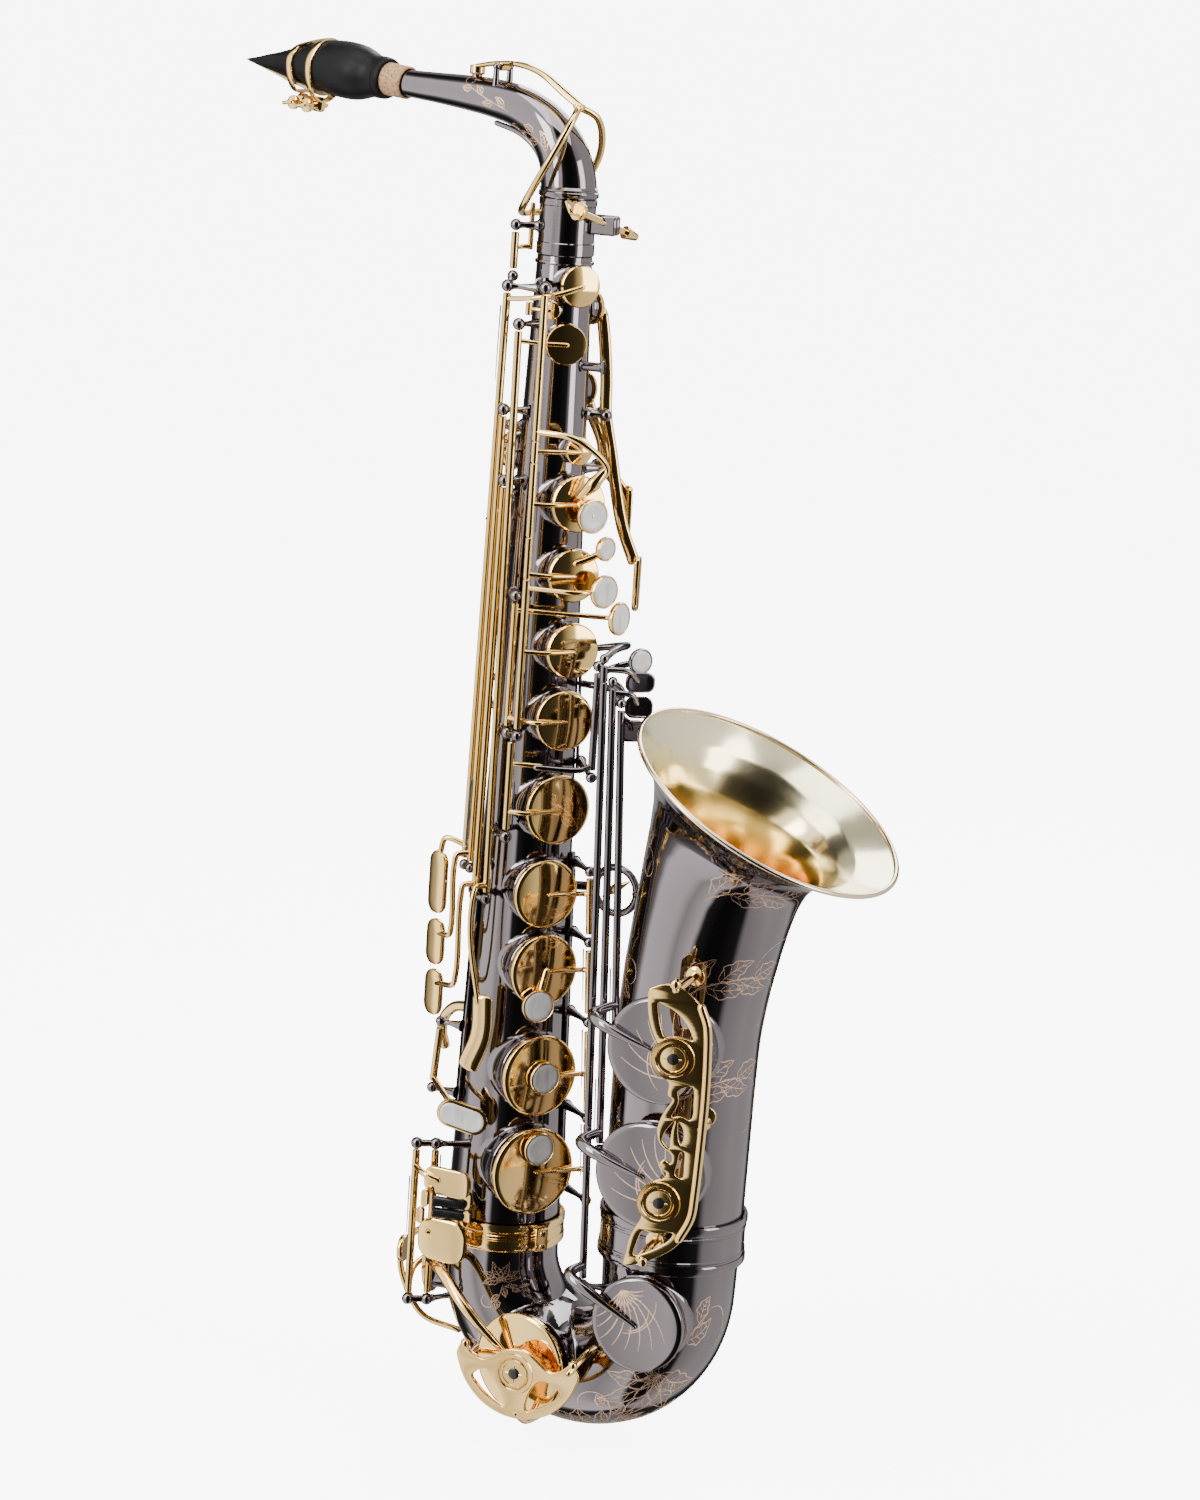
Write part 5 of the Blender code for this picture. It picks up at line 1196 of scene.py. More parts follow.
def ligature():
    """Two bands round the mouthpiece and reed, joined on top, drawn tight underneath by two screws."""
    bands = []
    for start in (LIGATURE_START, LIGATURE_END - BAND_WIDTH):
        profile = ((0.0, 0.45), (0.3, 1.15), (0.7, 1.3), (BAND_WIDTH - 0.7, 1.3), (BAND_WIDTH - 0.3, 1.15),
                   (BAND_WIDTH, 0.45))
        bands.append(rings_to_shape([beak_ring(section_at(start + reach), 96, grow, BAND_DROP)
                                     for reach, grow in profile], True))
    rings = []
    for step in range(10):
        crown_length = LIGATURE_END - LIGATURE_START - 2 * BAND_WIDTH + 0.8
        distance = LIGATURE_START + BAND_WIDTH - 0.4 + crown_length * step / 9
        narrow = 2 if step in (3, 4, 5, 6) else 0
        outer = beak_ring(section_at(distance), 96, 1.2, BAND_DROP, 15 + narrow, 34 - narrow)
        inner = beak_ring(section_at(distance), 96, 0.5, BAND_DROP, 15 + narrow, 34 - narrow)
        if narrow:
            outer, inner = respaced(outer, 19), respaced(inner, 19)
        rings.append(outer + inner[::-1])
    crown = rings_to_shape(rings)
    middle = (LIGATURE_START + LIGATURE_END) / 2
    length = LIGATURE_END - LIGATURE_START
    lugs = [neck_block(distance, LUG_RISE + 0.6, (5.2, 7.0, 6.4), 1.4)
            for distance in (LIGATURE_START + 3.8, LIGATURE_END - 3.8)]
    rail = neck_block(middle, LUG_RISE + 2.6, (3.2, 2.0, length - 2.0), 0.6)
    part("ligature", GOLD, bands + [crown, rail] + lugs)
    for name, distance in (("ligature_screw_rear", LIGATURE_START + 4.4),
                           ("ligature_screw_front", LIGATURE_END - 4.4)):
        centre = along_neck_end(distance, LUG_RISE)
        shank = rod(centre - NECK_SIDE * 6.5, centre + NECK_SIDE * 6.5, 1.3)
        head = lathe(((2.4, 0), (3.0, 0.4), (3.4, 1.4), (3.4, 2.8), (3.0, 3.1), (1.6, 3.2)),
                     centre + NECK_SIDE * 5.5,
                     NECK_SIDE, 20)
        wing = block(centre + NECK_SIDE * 10.2, (6.6, 1.8, 5.0), NECK_SIDE)
        moving(name, GOLD, [shank, head, wing], centre, NECK_SIDE)


# ---------------------------------------------------------------- keys

def pearl(centre, normal, radius):
    """A touch: a shallow metal cup that carries a dished pearl."""
    normal = Vector(normal).normalized()
    base = Vector(centre) - normal * 1.0
    setting = ((0, 0), (radius * 0.7, 0), (radius - 0.4, 0.5), (radius, 1.3), (radius, 2.7),
               (radius - 0.25, 3.15),
               (radius - 0.65, 3.25), (radius - 0.95, 2.9), (radius - 1.0, 2.3), (0, 2.3))
    inset = radius - 1.0
    button = ((0, 2.2), (inset, 2.2), (inset, 2.9), (inset - 0.35, 3.15), (inset * 0.75, 3.12),
              (inset * 0.4, 3.04), (inset * 0.15, 3.02), (0, 3.02))
    return [lathe(setting, base, normal, 40), lathe(button, base, normal, 40, "pearl")]


def c_plate(centre, size, face, way, roller_z):
    """A touch plate whose two lugs reach past the ends of its roller; way is +1 for lugs above it."""
    width, height, thickness = size
    lugs = []
    for side in (-1, 1):
        spot = Vector((centre.x, centre.y, 0)) + ACROSS * side * (width / 2 - 1.9)
        spot.z = (centre.z + way * height / 2 + roller_z) / 2
        tall = abs(roller_z - (centre.z + way * height / 2)) + 5.5
        lugs.append(plate(spot, (3.6, tall, thickness), face, 0, 0.4, 0.1))
    return [plate(centre, size, face, -1, 0.3, -0.3)] + lugs


def oval_touch(centre, size, face, tilt):
    """An oval metal dish with a long pearl set in it."""
    normal = Vector(face).normalized()
    width, height, thickness = size
    inlay = plate(centre + normal * 0.75, (width - 3.2, height - 3.2, thickness), face, tilt, 0.5, 0.3)
    return [plate(centre, size, face, tilt, 0.5, 0.2), inlay.painted("pearl")]


# Which way a key opens about its rod, and how far, in degrees
STACK_OPEN, RIGHT_OPEN, LOW_OPEN = 8.0, 8.0, 6.0


def stack_keys():
    """Left-hand stack: keys that stand open on one long rod, and the G key on a second."""
    rods = LEFT_STACK
    closed = -rods.axis

    def key(name, hinge, pieces):
        moving(name, GOLD, pieces, hinge.top, closed, STACK_OPEN)

    key("c_vent_key", rods, [rods.tube(-108.3, -118), C_VENT.arm(rods.point(-113)), C_VENT.cup()])
    pearl_b = around(32.5, -25, -141)
    key("b_key", rods, [
        rods.tube(-118.3, -152), B_HOLE.arm(rods.point(-137)), B_HOLE.cup(),
        bar([B_HOLE.cup_top, pearl_b], 2.2), pearl(pearl_b, around(1, -20, 0), 8.0)])
    pearl_bis = around(32.0, -9, -156.5)
    key("bis_key", rods, [
        rods.tube(-152.3, -171.2), BIS_HOLE.arm(rods.point(-169)), BIS_HOLE.cup(),
        bar([BIS_HOLE.cup_top + Vector((0, 0, 6)), around(29.5, -14, -160), pearl_bis], 1.6),
        pearl(pearl_bis, around(1, -8, 0), 5.7)])
    pearl_a = around(36.0, -14, -175.5)
    over_bis = at(3.0, 33.5, -175.5)
    key("a_key", rods, [
        rods.tube(-171.5, -241), A_HOLE.arm(rods.point(-205)), A_HOLE.cup(),
        bar([rods.point(-175.5), over_bis, at(17, 34.0, -175.5), pearl_a], 1.1),
        pearl(pearl_a, around(1, -12, 0), 7.8)])
    pearl_g = at(34.5, 15.5, -188.8)
    key("g_key", G_ROD, [
        G_ROD.tube(-184.3, -241.5), G_HOLE.arm(G_ROD.point(-237.5), 0.8),
        G_HOLE.cup(), bar([G_ROD.point(-187.6), at(4, 23.0, -187.6), pearl_g], 1.2),
        pearl(pearl_g, around(1, 4, 0), 7.8)])
    tip = at(14.5, 31.0, -132.0)
    front = [rods.point(-104), at(9, 36.5, -105), at(21, 35.0, -112), at(26, 32.0, -119)]
    moving("front_f_key", GOLD, [
        rods.tube(-42.5, -108), bar(front + [at(22, 32.0, -125), tip], 1.5),
        bar([at(24.5, 32.0, -120), at(20, 33.0, -126), tip], 1.0, [2.0, 3.4, 1.6]),
    ], rods.top, rods.axis)


def g_sharp_keys():
    rods, lever = G_SHARP_ROD, G_SHARP_LEVER_ROD
    moving("g_sharp_key", GOLD, [
        rods.tube(-247.3, -288.5), G_SHARP_HOLE.arm(rods.point(-280)), G_SHARP_HOLE.cup(),
        bar([rods.point(-257.5), at(4.5, 34.6, -257.5)], 1.2)], rods.top, -rods.axis)
    pearl_at = at(46.4, 37.0, -205)
    moving("g_sharp_lever", BLACK_NICKEL, [
        lever.tube(-212.3, -257.5), bar([lever.point(-214), at(34, 38, -209), pearl_at], 1.6),
        bar([lever.point(-255.5), at(22, 38.5, -257.5), at(2.5, 38.2, -257.5)], 1.4),
        pearl(pearl_at, at(0.55, 0.83, 0), 6.2)], lever.top, lever.axis)


def right_stack_keys():
    rods = RIGHT_STACK
    closed = rods.axis

    def key(name, hole, span, extra):
        arm = hole.arm(rods.point(hole.z), 1.0, 1.5)
        moving(name, GOLD, [rods.tube(*span), arm, hole.cup()] + extra, rods.top, closed, RIGHT_OPEN)

    key("f_sharp_key", F_SHARP_HOLE, (-311.5, -338), [])
    pearl_f = around(34.0, -47, -371.0)
    key("f_key", F_HOLE, (-346, -376), [
        bar([F_HOLE.cup_top, pearl_f], 2.0), pearl(pearl_f, around(1, -47, 0), 8.0)])
    pearl_e = E_HOLE.cup_top + E_HOLE.normal * 1.2
    key("e_key", E_HOLE, (-385, -424), [pearl(pearl_e, E_HOLE.normal, 8.0)])
    pearl_d = D_HOLE.cup_top + D_HOLE.normal * 1.2 + Vector((0, 0, 12))
    key("d_key", D_HOLE, (-430, -463.5), [pearl(pearl_d, D_HOLE.normal, 8.0)])


def side_keys():
    """Closed keys on the left edge: their cups sit high on the tube, their touches low."""
    face = ACROSS * -0.8 + OUT * 0.6

    def key(name, hinge, span, cup_pieces, touch_pieces):
        moving(name, GOLD, [hinge.tube(*span)] + cup_pieces + touch_pieces, hinge.top, -hinge.axis)

    key("high_e_key", HIGH_E_ROD, (-44.3, -309), [
        bar([HIGH_E_ROD.point(-47), at(-13, 17.5, -45),
             HIGH_E.cup_top + at(-8.2, 3.2, -3), HIGH_E.cup_top + HIGH_E.normal * 0.7], 1.2),
        HIGH_E.cup()], [
        bar([HIGH_E_ROD.point(-303), at(-38, 6, -301), at(-40.2, 5, -308)], 1.4),
        plate(at(-40.4, 5, -322.5), (12.5, 30, 3), face, 0.0, 0.35, -0.35)])
    key("high_f_sharp_key", HIGH_F_SHARP_ROD, (-60.3, -321), [
        bar([HIGH_F_SHARP_ROD.point(-64.5), HIGH_F_SHARP.cup_top + at(-11, 0.6, 0),
             HIGH_F_SHARP.cup_top + HIGH_F_SHARP.normal * 0.6], 1.1),
        HIGH_F_SHARP.cup()], [
        bar([HIGH_F_SHARP_ROD.point(-318), at(-22, 31, -318), at(-23, 33, -340), at(-17.5, 33.5, -372)], 1.4),
        bar([at(-15.5, 33.5, -370), at(-15.5, 33.5, -388), at(-20.5, 33.5, -403)], 5.2, squash=0.36,
            hint=at(-0.4, 1, 0))])
    key("side_c_lever", SIDE_C_ROD, (-100.3, -309), [
        bar([SIDE_C_ROD.point(-112), at(-20.6, 8.2, -112)], 1.1)], [
        bar([SIDE_C_ROD.point(-305), at(-32.5, 16.5, -307), at(-33, 15.5, -344), at(-39, 7, -347)], 1.4),
        plate(at(-40, 5, -351.5), (12.5, 22, 3), face, 0.0, 0.35, -0.35)])
    key("side_bb_lever", SIDE_BB_ROD, (-132.3, -321), [
        bar([SIDE_BB_ROD.point(-144), at(-20.2, 10.4, -144)], 1.1)], [
        bar([SIDE_BB_ROD.point(-318), at(-28.5, 23, -320), at(-29.5, 21, -366), at(-38, 8, -371)], 1.4),
        plate(at(-39.5, 5, -376), (12.5, 22, 3), face, 0.0, 0.35, -0.35)])
    for name, hinge, hole, tail in (
            ("side_c_key", SIDE_C_CUP_ROD, SIDE_C_HOLE, at(-18.0, 7.6, -112)),
            ("side_bb_key", SIDE_BB_CUP_ROD, SIDE_BB_HOLE, at(-18.8, 8.2, -144))):
        moving(name, GOLD, [
            rod(hinge.top - hinge.axis * 3.2, hinge.bottom + hinge.axis * 3.2, 1.5),
            bar([hinge.point(tail.z), tail], 1.0), hole.arm(hinge.point(hole.z)), hole.cup()],
            hinge.top, hinge.axis)


def alt_f_sharp_key():
    rods = ALT_F_SHARP_ROD
    moving("alt_f_sharp_key", GOLD, [
        rods.tube(-394.3, -420.5), bar([rods.point(-419), at(-28, 24, -424), at(-22, 30.5, -427)], 1.5),
        *oval_touch(at(-21.5, 31.5, -428.5), (25, 13.5, 3.4), at(-0.15, 1, 0), -14)],
        rods.top, rods.axis)


def pinky_keys():
    """Right-hand little finger keys, low E flat and low C, with a roller on each."""
    face = at(-0.42, 1, 0)
    eb_edge = LOW_EB.cup_top + LOW_EB.normal * 0.8
    moving("low_eb_key", GOLD, [
        EB_ROD.tube(-449.3, -519.5), bar([EB_ROD.point(-457), at(-38, 30, -458), at(-31, 32.3, -460)], 1.5),
        *c_plate(at(-26.6, 32.5, -460.8), (24, 13.5, 2.6), face, -1, -470.6),
        bar([EB_ROD.point(-516), at(-41, 4, -513), eb_edge], 1.5), LOW_EB.cup()],
        EB_ROD.top, EB_ROD.axis)
    moving("low_c_key", GOLD, [
        C_ROD.tube(-449.3, -519.5), bar([C_ROD.point(-486), at(-33.5, 31, -486)], 1.5),
        *c_plate(at(-26.4, 32.5, -489.3), (26, 21, 2.8), face, 1, -476.2),
        LOW_C.arm([C_ROD.point(-503), at(-26, 32, -505), at(-10, 47, -519)]), LOW_C.cup()],
        C_ROD.top, C_ROD.axis, -LOW_OPEN * 0.7)
    for name, high in (("eb_roller", -470.6), ("c_roller", -476.2)):
        centre = at(-25.5, 32.8, high)
        run = (ACROSS + Vector((0, 0, -0.07))).normalized()
        moving(name, "plastic", [rod(centre - run * 7.5, centre + run * 7.5, 2.55)], centre, run)


def low_bell_keys():
    """Low B, B flat and C sharp: long rods from the left-hand table down to the bell and bow."""
    b_rod, bb_rod, cs_rod = LOW_B_ROD, LOW_BB_ROD, LOW_C_SHARP_ROD
    face = at(0.35, 0.94, 0)
    moving("low_b_key", BLACK_NICKEL, cup_fan(LOW_B, 60) + [
        b_rod.tube(-226, -372.5), bar([b_rod.point(-229), at(43, 46.5, -232), at(44, 45, -235)], 1.4),
        plate(at(44.6, 44.5, -236), (12, 10.2, 2.6), face, 0, 0.3, 0.25),
        LOW_B.arm([b_rod.point(-362), Vector((66, -44, -364)), Vector((75, -47.5, -367))]), LOW_B.cup()],
        b_rod.top, b_rod.axis, -LOW_OPEN)
    moving("low_bb_key", BLACK_NICKEL, cup_fan(LOW_BB, 70) + [
        bb_rod.tube(-216.1, -428.5), bar([bb_rod.point(-217.8), at(44, 47.5, -219), at(46, 45, -223)], 1.4),
        plate(at(47.0, 44.5, -224.8), (13, 10, 2.6), face, 0, 0.3, 0.25),
        LOW_BB.arm([bb_rod.point(-423), Vector((64, -44, -425)), Vector((73.5, -46.5, -428))]), LOW_BB.cup()],
        bb_rod.top, bb_rod.axis, -LOW_OPEN)
    moving("low_c_sharp_lever", BLACK_NICKEL, [
        cs_rod.tube(-205.8, -213.0), bar([cs_rod.point(-207.5), at(42, 47, -208.5), at(46, 44, -213)], 1.4),
        plate(at(47.5, 43.0, -213.8), (14, 9.2, 2.6), face, 0, 0.3, 0.25)], cs_rod.top, cs_rod.axis)
    moving("low_c_sharp_key", BLACK_NICKEL, cup_fan(LOW_C_SHARP, 200) + [
        cs_rod.tube(-213.4, -494.5),
        LOW_C_SHARP.arm([cs_rod.point(-488), Vector((61, -43.5, -490)), Vector((72, -45.5, -495))]),
        LOW_C_SHARP.cup()], cs_rod.top, -cs_rod.axis)


def palm_keys():
    """Palm keys: levers that rock on short cross rods at the bell side, cups above, touches below."""
    def lever(name, hole, route, touch, size, face):
        centre, span = PALM_PIVOTS[name]
        pieces = [rod(centre - span * PALM_HALF, centre + span * PALM_HALF, ROD_R)]
        pieces.append(bar([hole.cup_top + hole.normal * 0.8] + [at(*point) for point in route], 2.9,
                          squash=0.45, hint=(0.5, -0.87, 0)))
        pieces += [hole.cup(), plate(at(*touch), size, at(*face))]
        moving(name, GOLD, pieces, centre, -span)

    lever("palm_f_key", PALM_F_HOLE,
          [(19, -8, -54), (22.5, -5, -80), (23.5, -4, -98), (27, -4, -115), (34, -4, -148), (41, -4, -166)],
          (43, -4, -176), (9, 26, 2.6), (1, 0.15, 0))
    lever("palm_eb_key", PALM_EB_HOLE,
          [(16, -19, -98), (22.5, -16, -112), (25, -14.5, -124), (33, -15, -134), (36.3, -15, -141)],
          (36.5, -15, -144), (9, 24, 2.6), (1, -0.2, 0))
    lever("palm_d_key", PALM_D_HOLE,
          [(-2, -26, -112), (2, -28, -122), (4, -27.5, -130), (8, -33, -142), (10, -35, -149)],
          (10, -35.5, -152), (9, 24, 2.6), (0.3, -1, 0))


THUMB_THETA = 150.0


def octave_keys():
    rods = OCTAVE_ROD
    pin_foot = at(-16.2, -9.2, -24)
    moving("octave_pin_key", GOLD, [
        rods.tube(-16.8, -33.4), bar([rods.point(-24), at(-21, -4, -24), pin_foot], 1.2),
        rod(pin_foot + Vector((0, 0, -1.5)), pin_foot + Vector((0, 0, 20)), 1.2)], rods.top, rods.axis)
    vent = BODY_VENT
    thumb = around(tube_radius(-187) + 9.0, THUMB_THETA, -189)
    pivot = around(tube_radius(-172) + 5.5, THUMB_THETA, -172)
    cross = around(1, THUMB_THETA - 90, 0)
    moving("octave_thumb_lever", GOLD, [
        rod(pivot - cross * 5, pivot + cross * 5, 1.8),
        bar([around(tube_radius(-162) + 6.5, THUMB_THETA, -162), pivot, thumb], 1.6),
        plate(thumb, (13, 12, 2.2), around(1, THUMB_THETA, 0))], pivot, -cross)
    vent_pivot = at(-14.5, 16.0, -50)
    moving("body_octave_key", GOLD, [
        rod(vent_pivot + Vector((0, 0, 3.0)), vent_pivot - Vector((0, 0, 3.0)), 1.6),
        vent.cup(), bar([vent_pivot, vent.cup_top + at(-4, 0.5, 0), vent.cup_top + vent.normal * 0.4], 1.0)],
        vent_pivot, (0, 0, -1))


def neck_octave_key():
    """Pad on top of the neck, saddle hinge, and the loop round the neck that the octave pin lifts."""
    side = around(1, 90 - NECK_SWING, 0)
    pad = rod(neck_point(58.4, 51.5), neck_point(58.4, 55.2), 3.6)
    stem = bar([neck_point(58.4, 54.8), neck_point(48, 56.6), neck_point(33, 57.2), neck_point(20, 54.2),
                neck_point(6, 46.5), neck_point(-4, 41.0)], 2.3, [0.8, 0.9, 1, 1.1, 1.3, 1.2], squash=0.6,
                hint=side.cross(Vector((0, 0, 1))))
    barrel = rod(NECK_KEY_PIVOT - side * 3.2, NECK_KEY_PIVOT + side * 3.2, 1.9)
    felt = rod(neck_point(58.4, 50.9), neck_point(58.4, 52.0), 3.5).painted("pad")
    shape = [pad, felt, stem, barrel]
    for sign in (1, -1):
        wide = side * sign
        shape.append(bar([
            neck_point(-2, 41.6) - wide * 1.3, neck_point(-7, 36) + wide * 9,
            neck_point(-4, 22) + wide * 16.5,
            neck_point(4, 8) + wide * 18.0, neck_point(14, -4) + wide * 14.5,
            neck_point(21.2, -8.5) + wide * 7.0, neck_point(23.4, -9.0) - wide * 2.0], 1.7))
    moving("neck_octave_key", GOLD, shape, NECK_KEY_PIVOT, side)


# ---------------------------------------------------------------- ribs, brackets, guards, fittings

LEFT_RIB, RIGHT_RIB, SIDE_RIB, TABLE_RIB = -104.0, 16.0, -134.0, 26.0
SMALL_BALL_R = 2.3


def ribs():
    """Plates along the tube that carry the key posts."""
    def rib(name, theta, span, heads, extra=(), ball_r=BALL_R):
        pieces = [strip(theta, *span)]
        for head in heads:
            pieces += rib_post(theta, head, 2.2, ball_r)
        part(name, BLACK_NICKEL, pieces + list(extra))

    def double(first, second):
        return [rod(first, second, 1.5), ball(second, 2.6)]

    rib("left_rib", LEFT_RIB, (-36, -296), [
        LEFT_STACK.point(-39), HIGH_E_ROD.point(-41), HIGH_F_SHARP_ROD.point(-57), SIDE_C_ROD.point(-97),
        SIDE_BB_ROD.point(-129), G_ROD.point(-181), G_ROD.point(-244.8), G_SHARP_ROD.point(-292)],
        double(HIGH_E_ROD.point(-41), OCTAVE_ROD.point(-36.7))
        + double(G_ROD.point(-244.8), LEFT_STACK.point(-244.2)))
    rib("right_rib", RIGHT_RIB, (-304, -470),
        [RIGHT_STACK.point(z) for z in (-308.2, -342.0, -380.5, -427.0, -467.0)], (), 2.6)
    rib("side_rib", SIDE_RIB, (-308, -428), [
        SIDE_C_ROD.point(-312.3), SIDE_BB_ROD.point(-324.3), ALT_F_SHARP_ROD.point(-391),
        ALT_F_SHARP_ROD.point(-423.8)],
        double(SIDE_C_ROD.point(-312.3), HIGH_E_ROD.point(-312.3))
        + double(SIDE_BB_ROD.point(-324.3), HIGH_F_SHARP_ROD.point(-324.3)), 2.6)
    plate_at = tube_radius(-224) + GAP + 1.1
    upper = [around(plate_at, TABLE_RIB, -208), at(40, 10, -203), at(35, 38, -200.5), LOW_C_SHARP_ROD.top]
    lower = [around(plate_at, TABLE_RIB, -224), at(36, 12, -224), at(36.5, 40, -224), LOW_B_ROD.top]
    link = [LOW_B_ROD.top, at(39.5, 42.0, -218), LOW_BB_ROD.top]
    lever_top = G_SHARP_LEVER_ROD.top
    extra = [bar(upper, 1.7), bar(lower, 1.7), bar(link, 1.4), rod(lever_top, at(34.8, 37, -200.6), 1.5)]
    extra += [ball(lever_top, 2.6)]
    extra += [ball(hinge.top, SMALL_BALL_R) for hinge in (LOW_C_SHARP_ROD, LOW_BB_ROD, LOW_B_ROD)]
    rib("table_bracket", TABLE_RIB, (-204, -265), [G_SHARP_LEVER_ROD.bottom], extra, 2.6)


def bumper(centre, normal, radius):
    """A guard's ringed disc: gold rim, black felt and an adjusting screw."""
    setting = ((0, 0), (radius - 0.3, 0), (radius, 0.4), (radius, 2.2), (radius - 0.5, 2.9),
               (radius - 2.0, 3.0),
               (radius - 2.5, 2.4), (radius - 3.0, 2.4), (radius - 3.4, 2.9), (radius - 4.3, 2.9),
               (radius - 4.7, 2.1), (0, 2.0))
    felt = ((0, 1.9), (2.7, 1.9), (2.7, 2.8), (2.3, 3.05), (0, 3.05))
    side, up, _ = basis(normal)
    ticks = [rod(centre + way * 2.5 + normal * 2.5, centre + way * 4.2 + normal * 2.5, 0.35)
             for way in (side, up, side * -1, up * -1)]
    return [lathe(setting, centre, normal, 56), lathe(felt, centre, normal, 24, "plastic")] + ticks


def rounded(corners, steps=4):
    """A closed smooth line through the corners of an outline."""
    found = []
    count = len(corners)
    for index in range(count):
        knots = [Vector((*corners[(index + shift) % count], 0)) for shift in (-1, 0, 1, 2)]
        for step in range(steps):
            t = step / steps
            spot = ((knots[1] * 2) + (knots[2] - knots[0]) * t
                    + (knots[0] * 2 - knots[1] * 5 + knots[2] * 4 - knots[3]) * t * t
                    + (knots[1] * 3 - knots[0] - knots[2] * 3 + knots[3]) * t ** 3) * 0.5
            found.append((spot.x, spot.y))
    return found


class Board:
    """An upright plane through pivot, turned by some degrees from the -Y side towards +X."""

    def __init__(self, pivot, turn):
        self.pivot = Vector(pivot)
        angle = math.radians(turn)
        self.across = Vector((math.cos(angle), math.sin(angle), 0))
        self.normal = Vector((math.sin(angle), -math.cos(angle), 0))

    def point(self, x, z, lift=0.0):
        return self.pivot + self.across * (x - self.pivot.x) + Vector((0, 0, z)) + self.normal * lift


def cut_plate(board, outline, windows, thickness, edge=0.5):
    """A plate on the board with windows cut through it and a rounded edge all round."""
    data = bpy.data.curves.new("plate", "CURVE")
    data.dimensions = "2D"
    data.fill_mode = "BOTH"
    data.extrude = thickness / 2 - edge
    data.bevel_depth = edge
    data.bevel_resolution = 2
    data.offset = -edge
    for line in [outline] + list(windows):
        spline = data.splines.new("POLY")
        points = rounded(line)
        spline.points.add(len(points) - 1)
        for point, (x, z) in zip(spline.points, points):
            point.co = (x, z, 0, 1)
        spline.use_cyclic_u = True
    made = bpy.data.objects.new("plate", data)
    mesh = made.to_mesh()
    points = [board.point(v.co.x, v.co.y, v.co.z)[:] for v in mesh.vertices]
    faces = [tuple(face.vertices) for face in mesh.polygons]
    made.to_mesh_clear()
    bpy.data.objects.remove(made)
    bpy.data.curves.remove(data)
    return Shape(points, faces)


def guard(name, paths, discs, extra=(), radius=1.6):
    pieces = [bar([Vector(point) for point in path], radius) for path in paths]
    for centre, normal, size in discs:
        pieces += bumper(Vector(centre), Vector(normal), size)
    part(name, GOLD, pieces + list(extra))


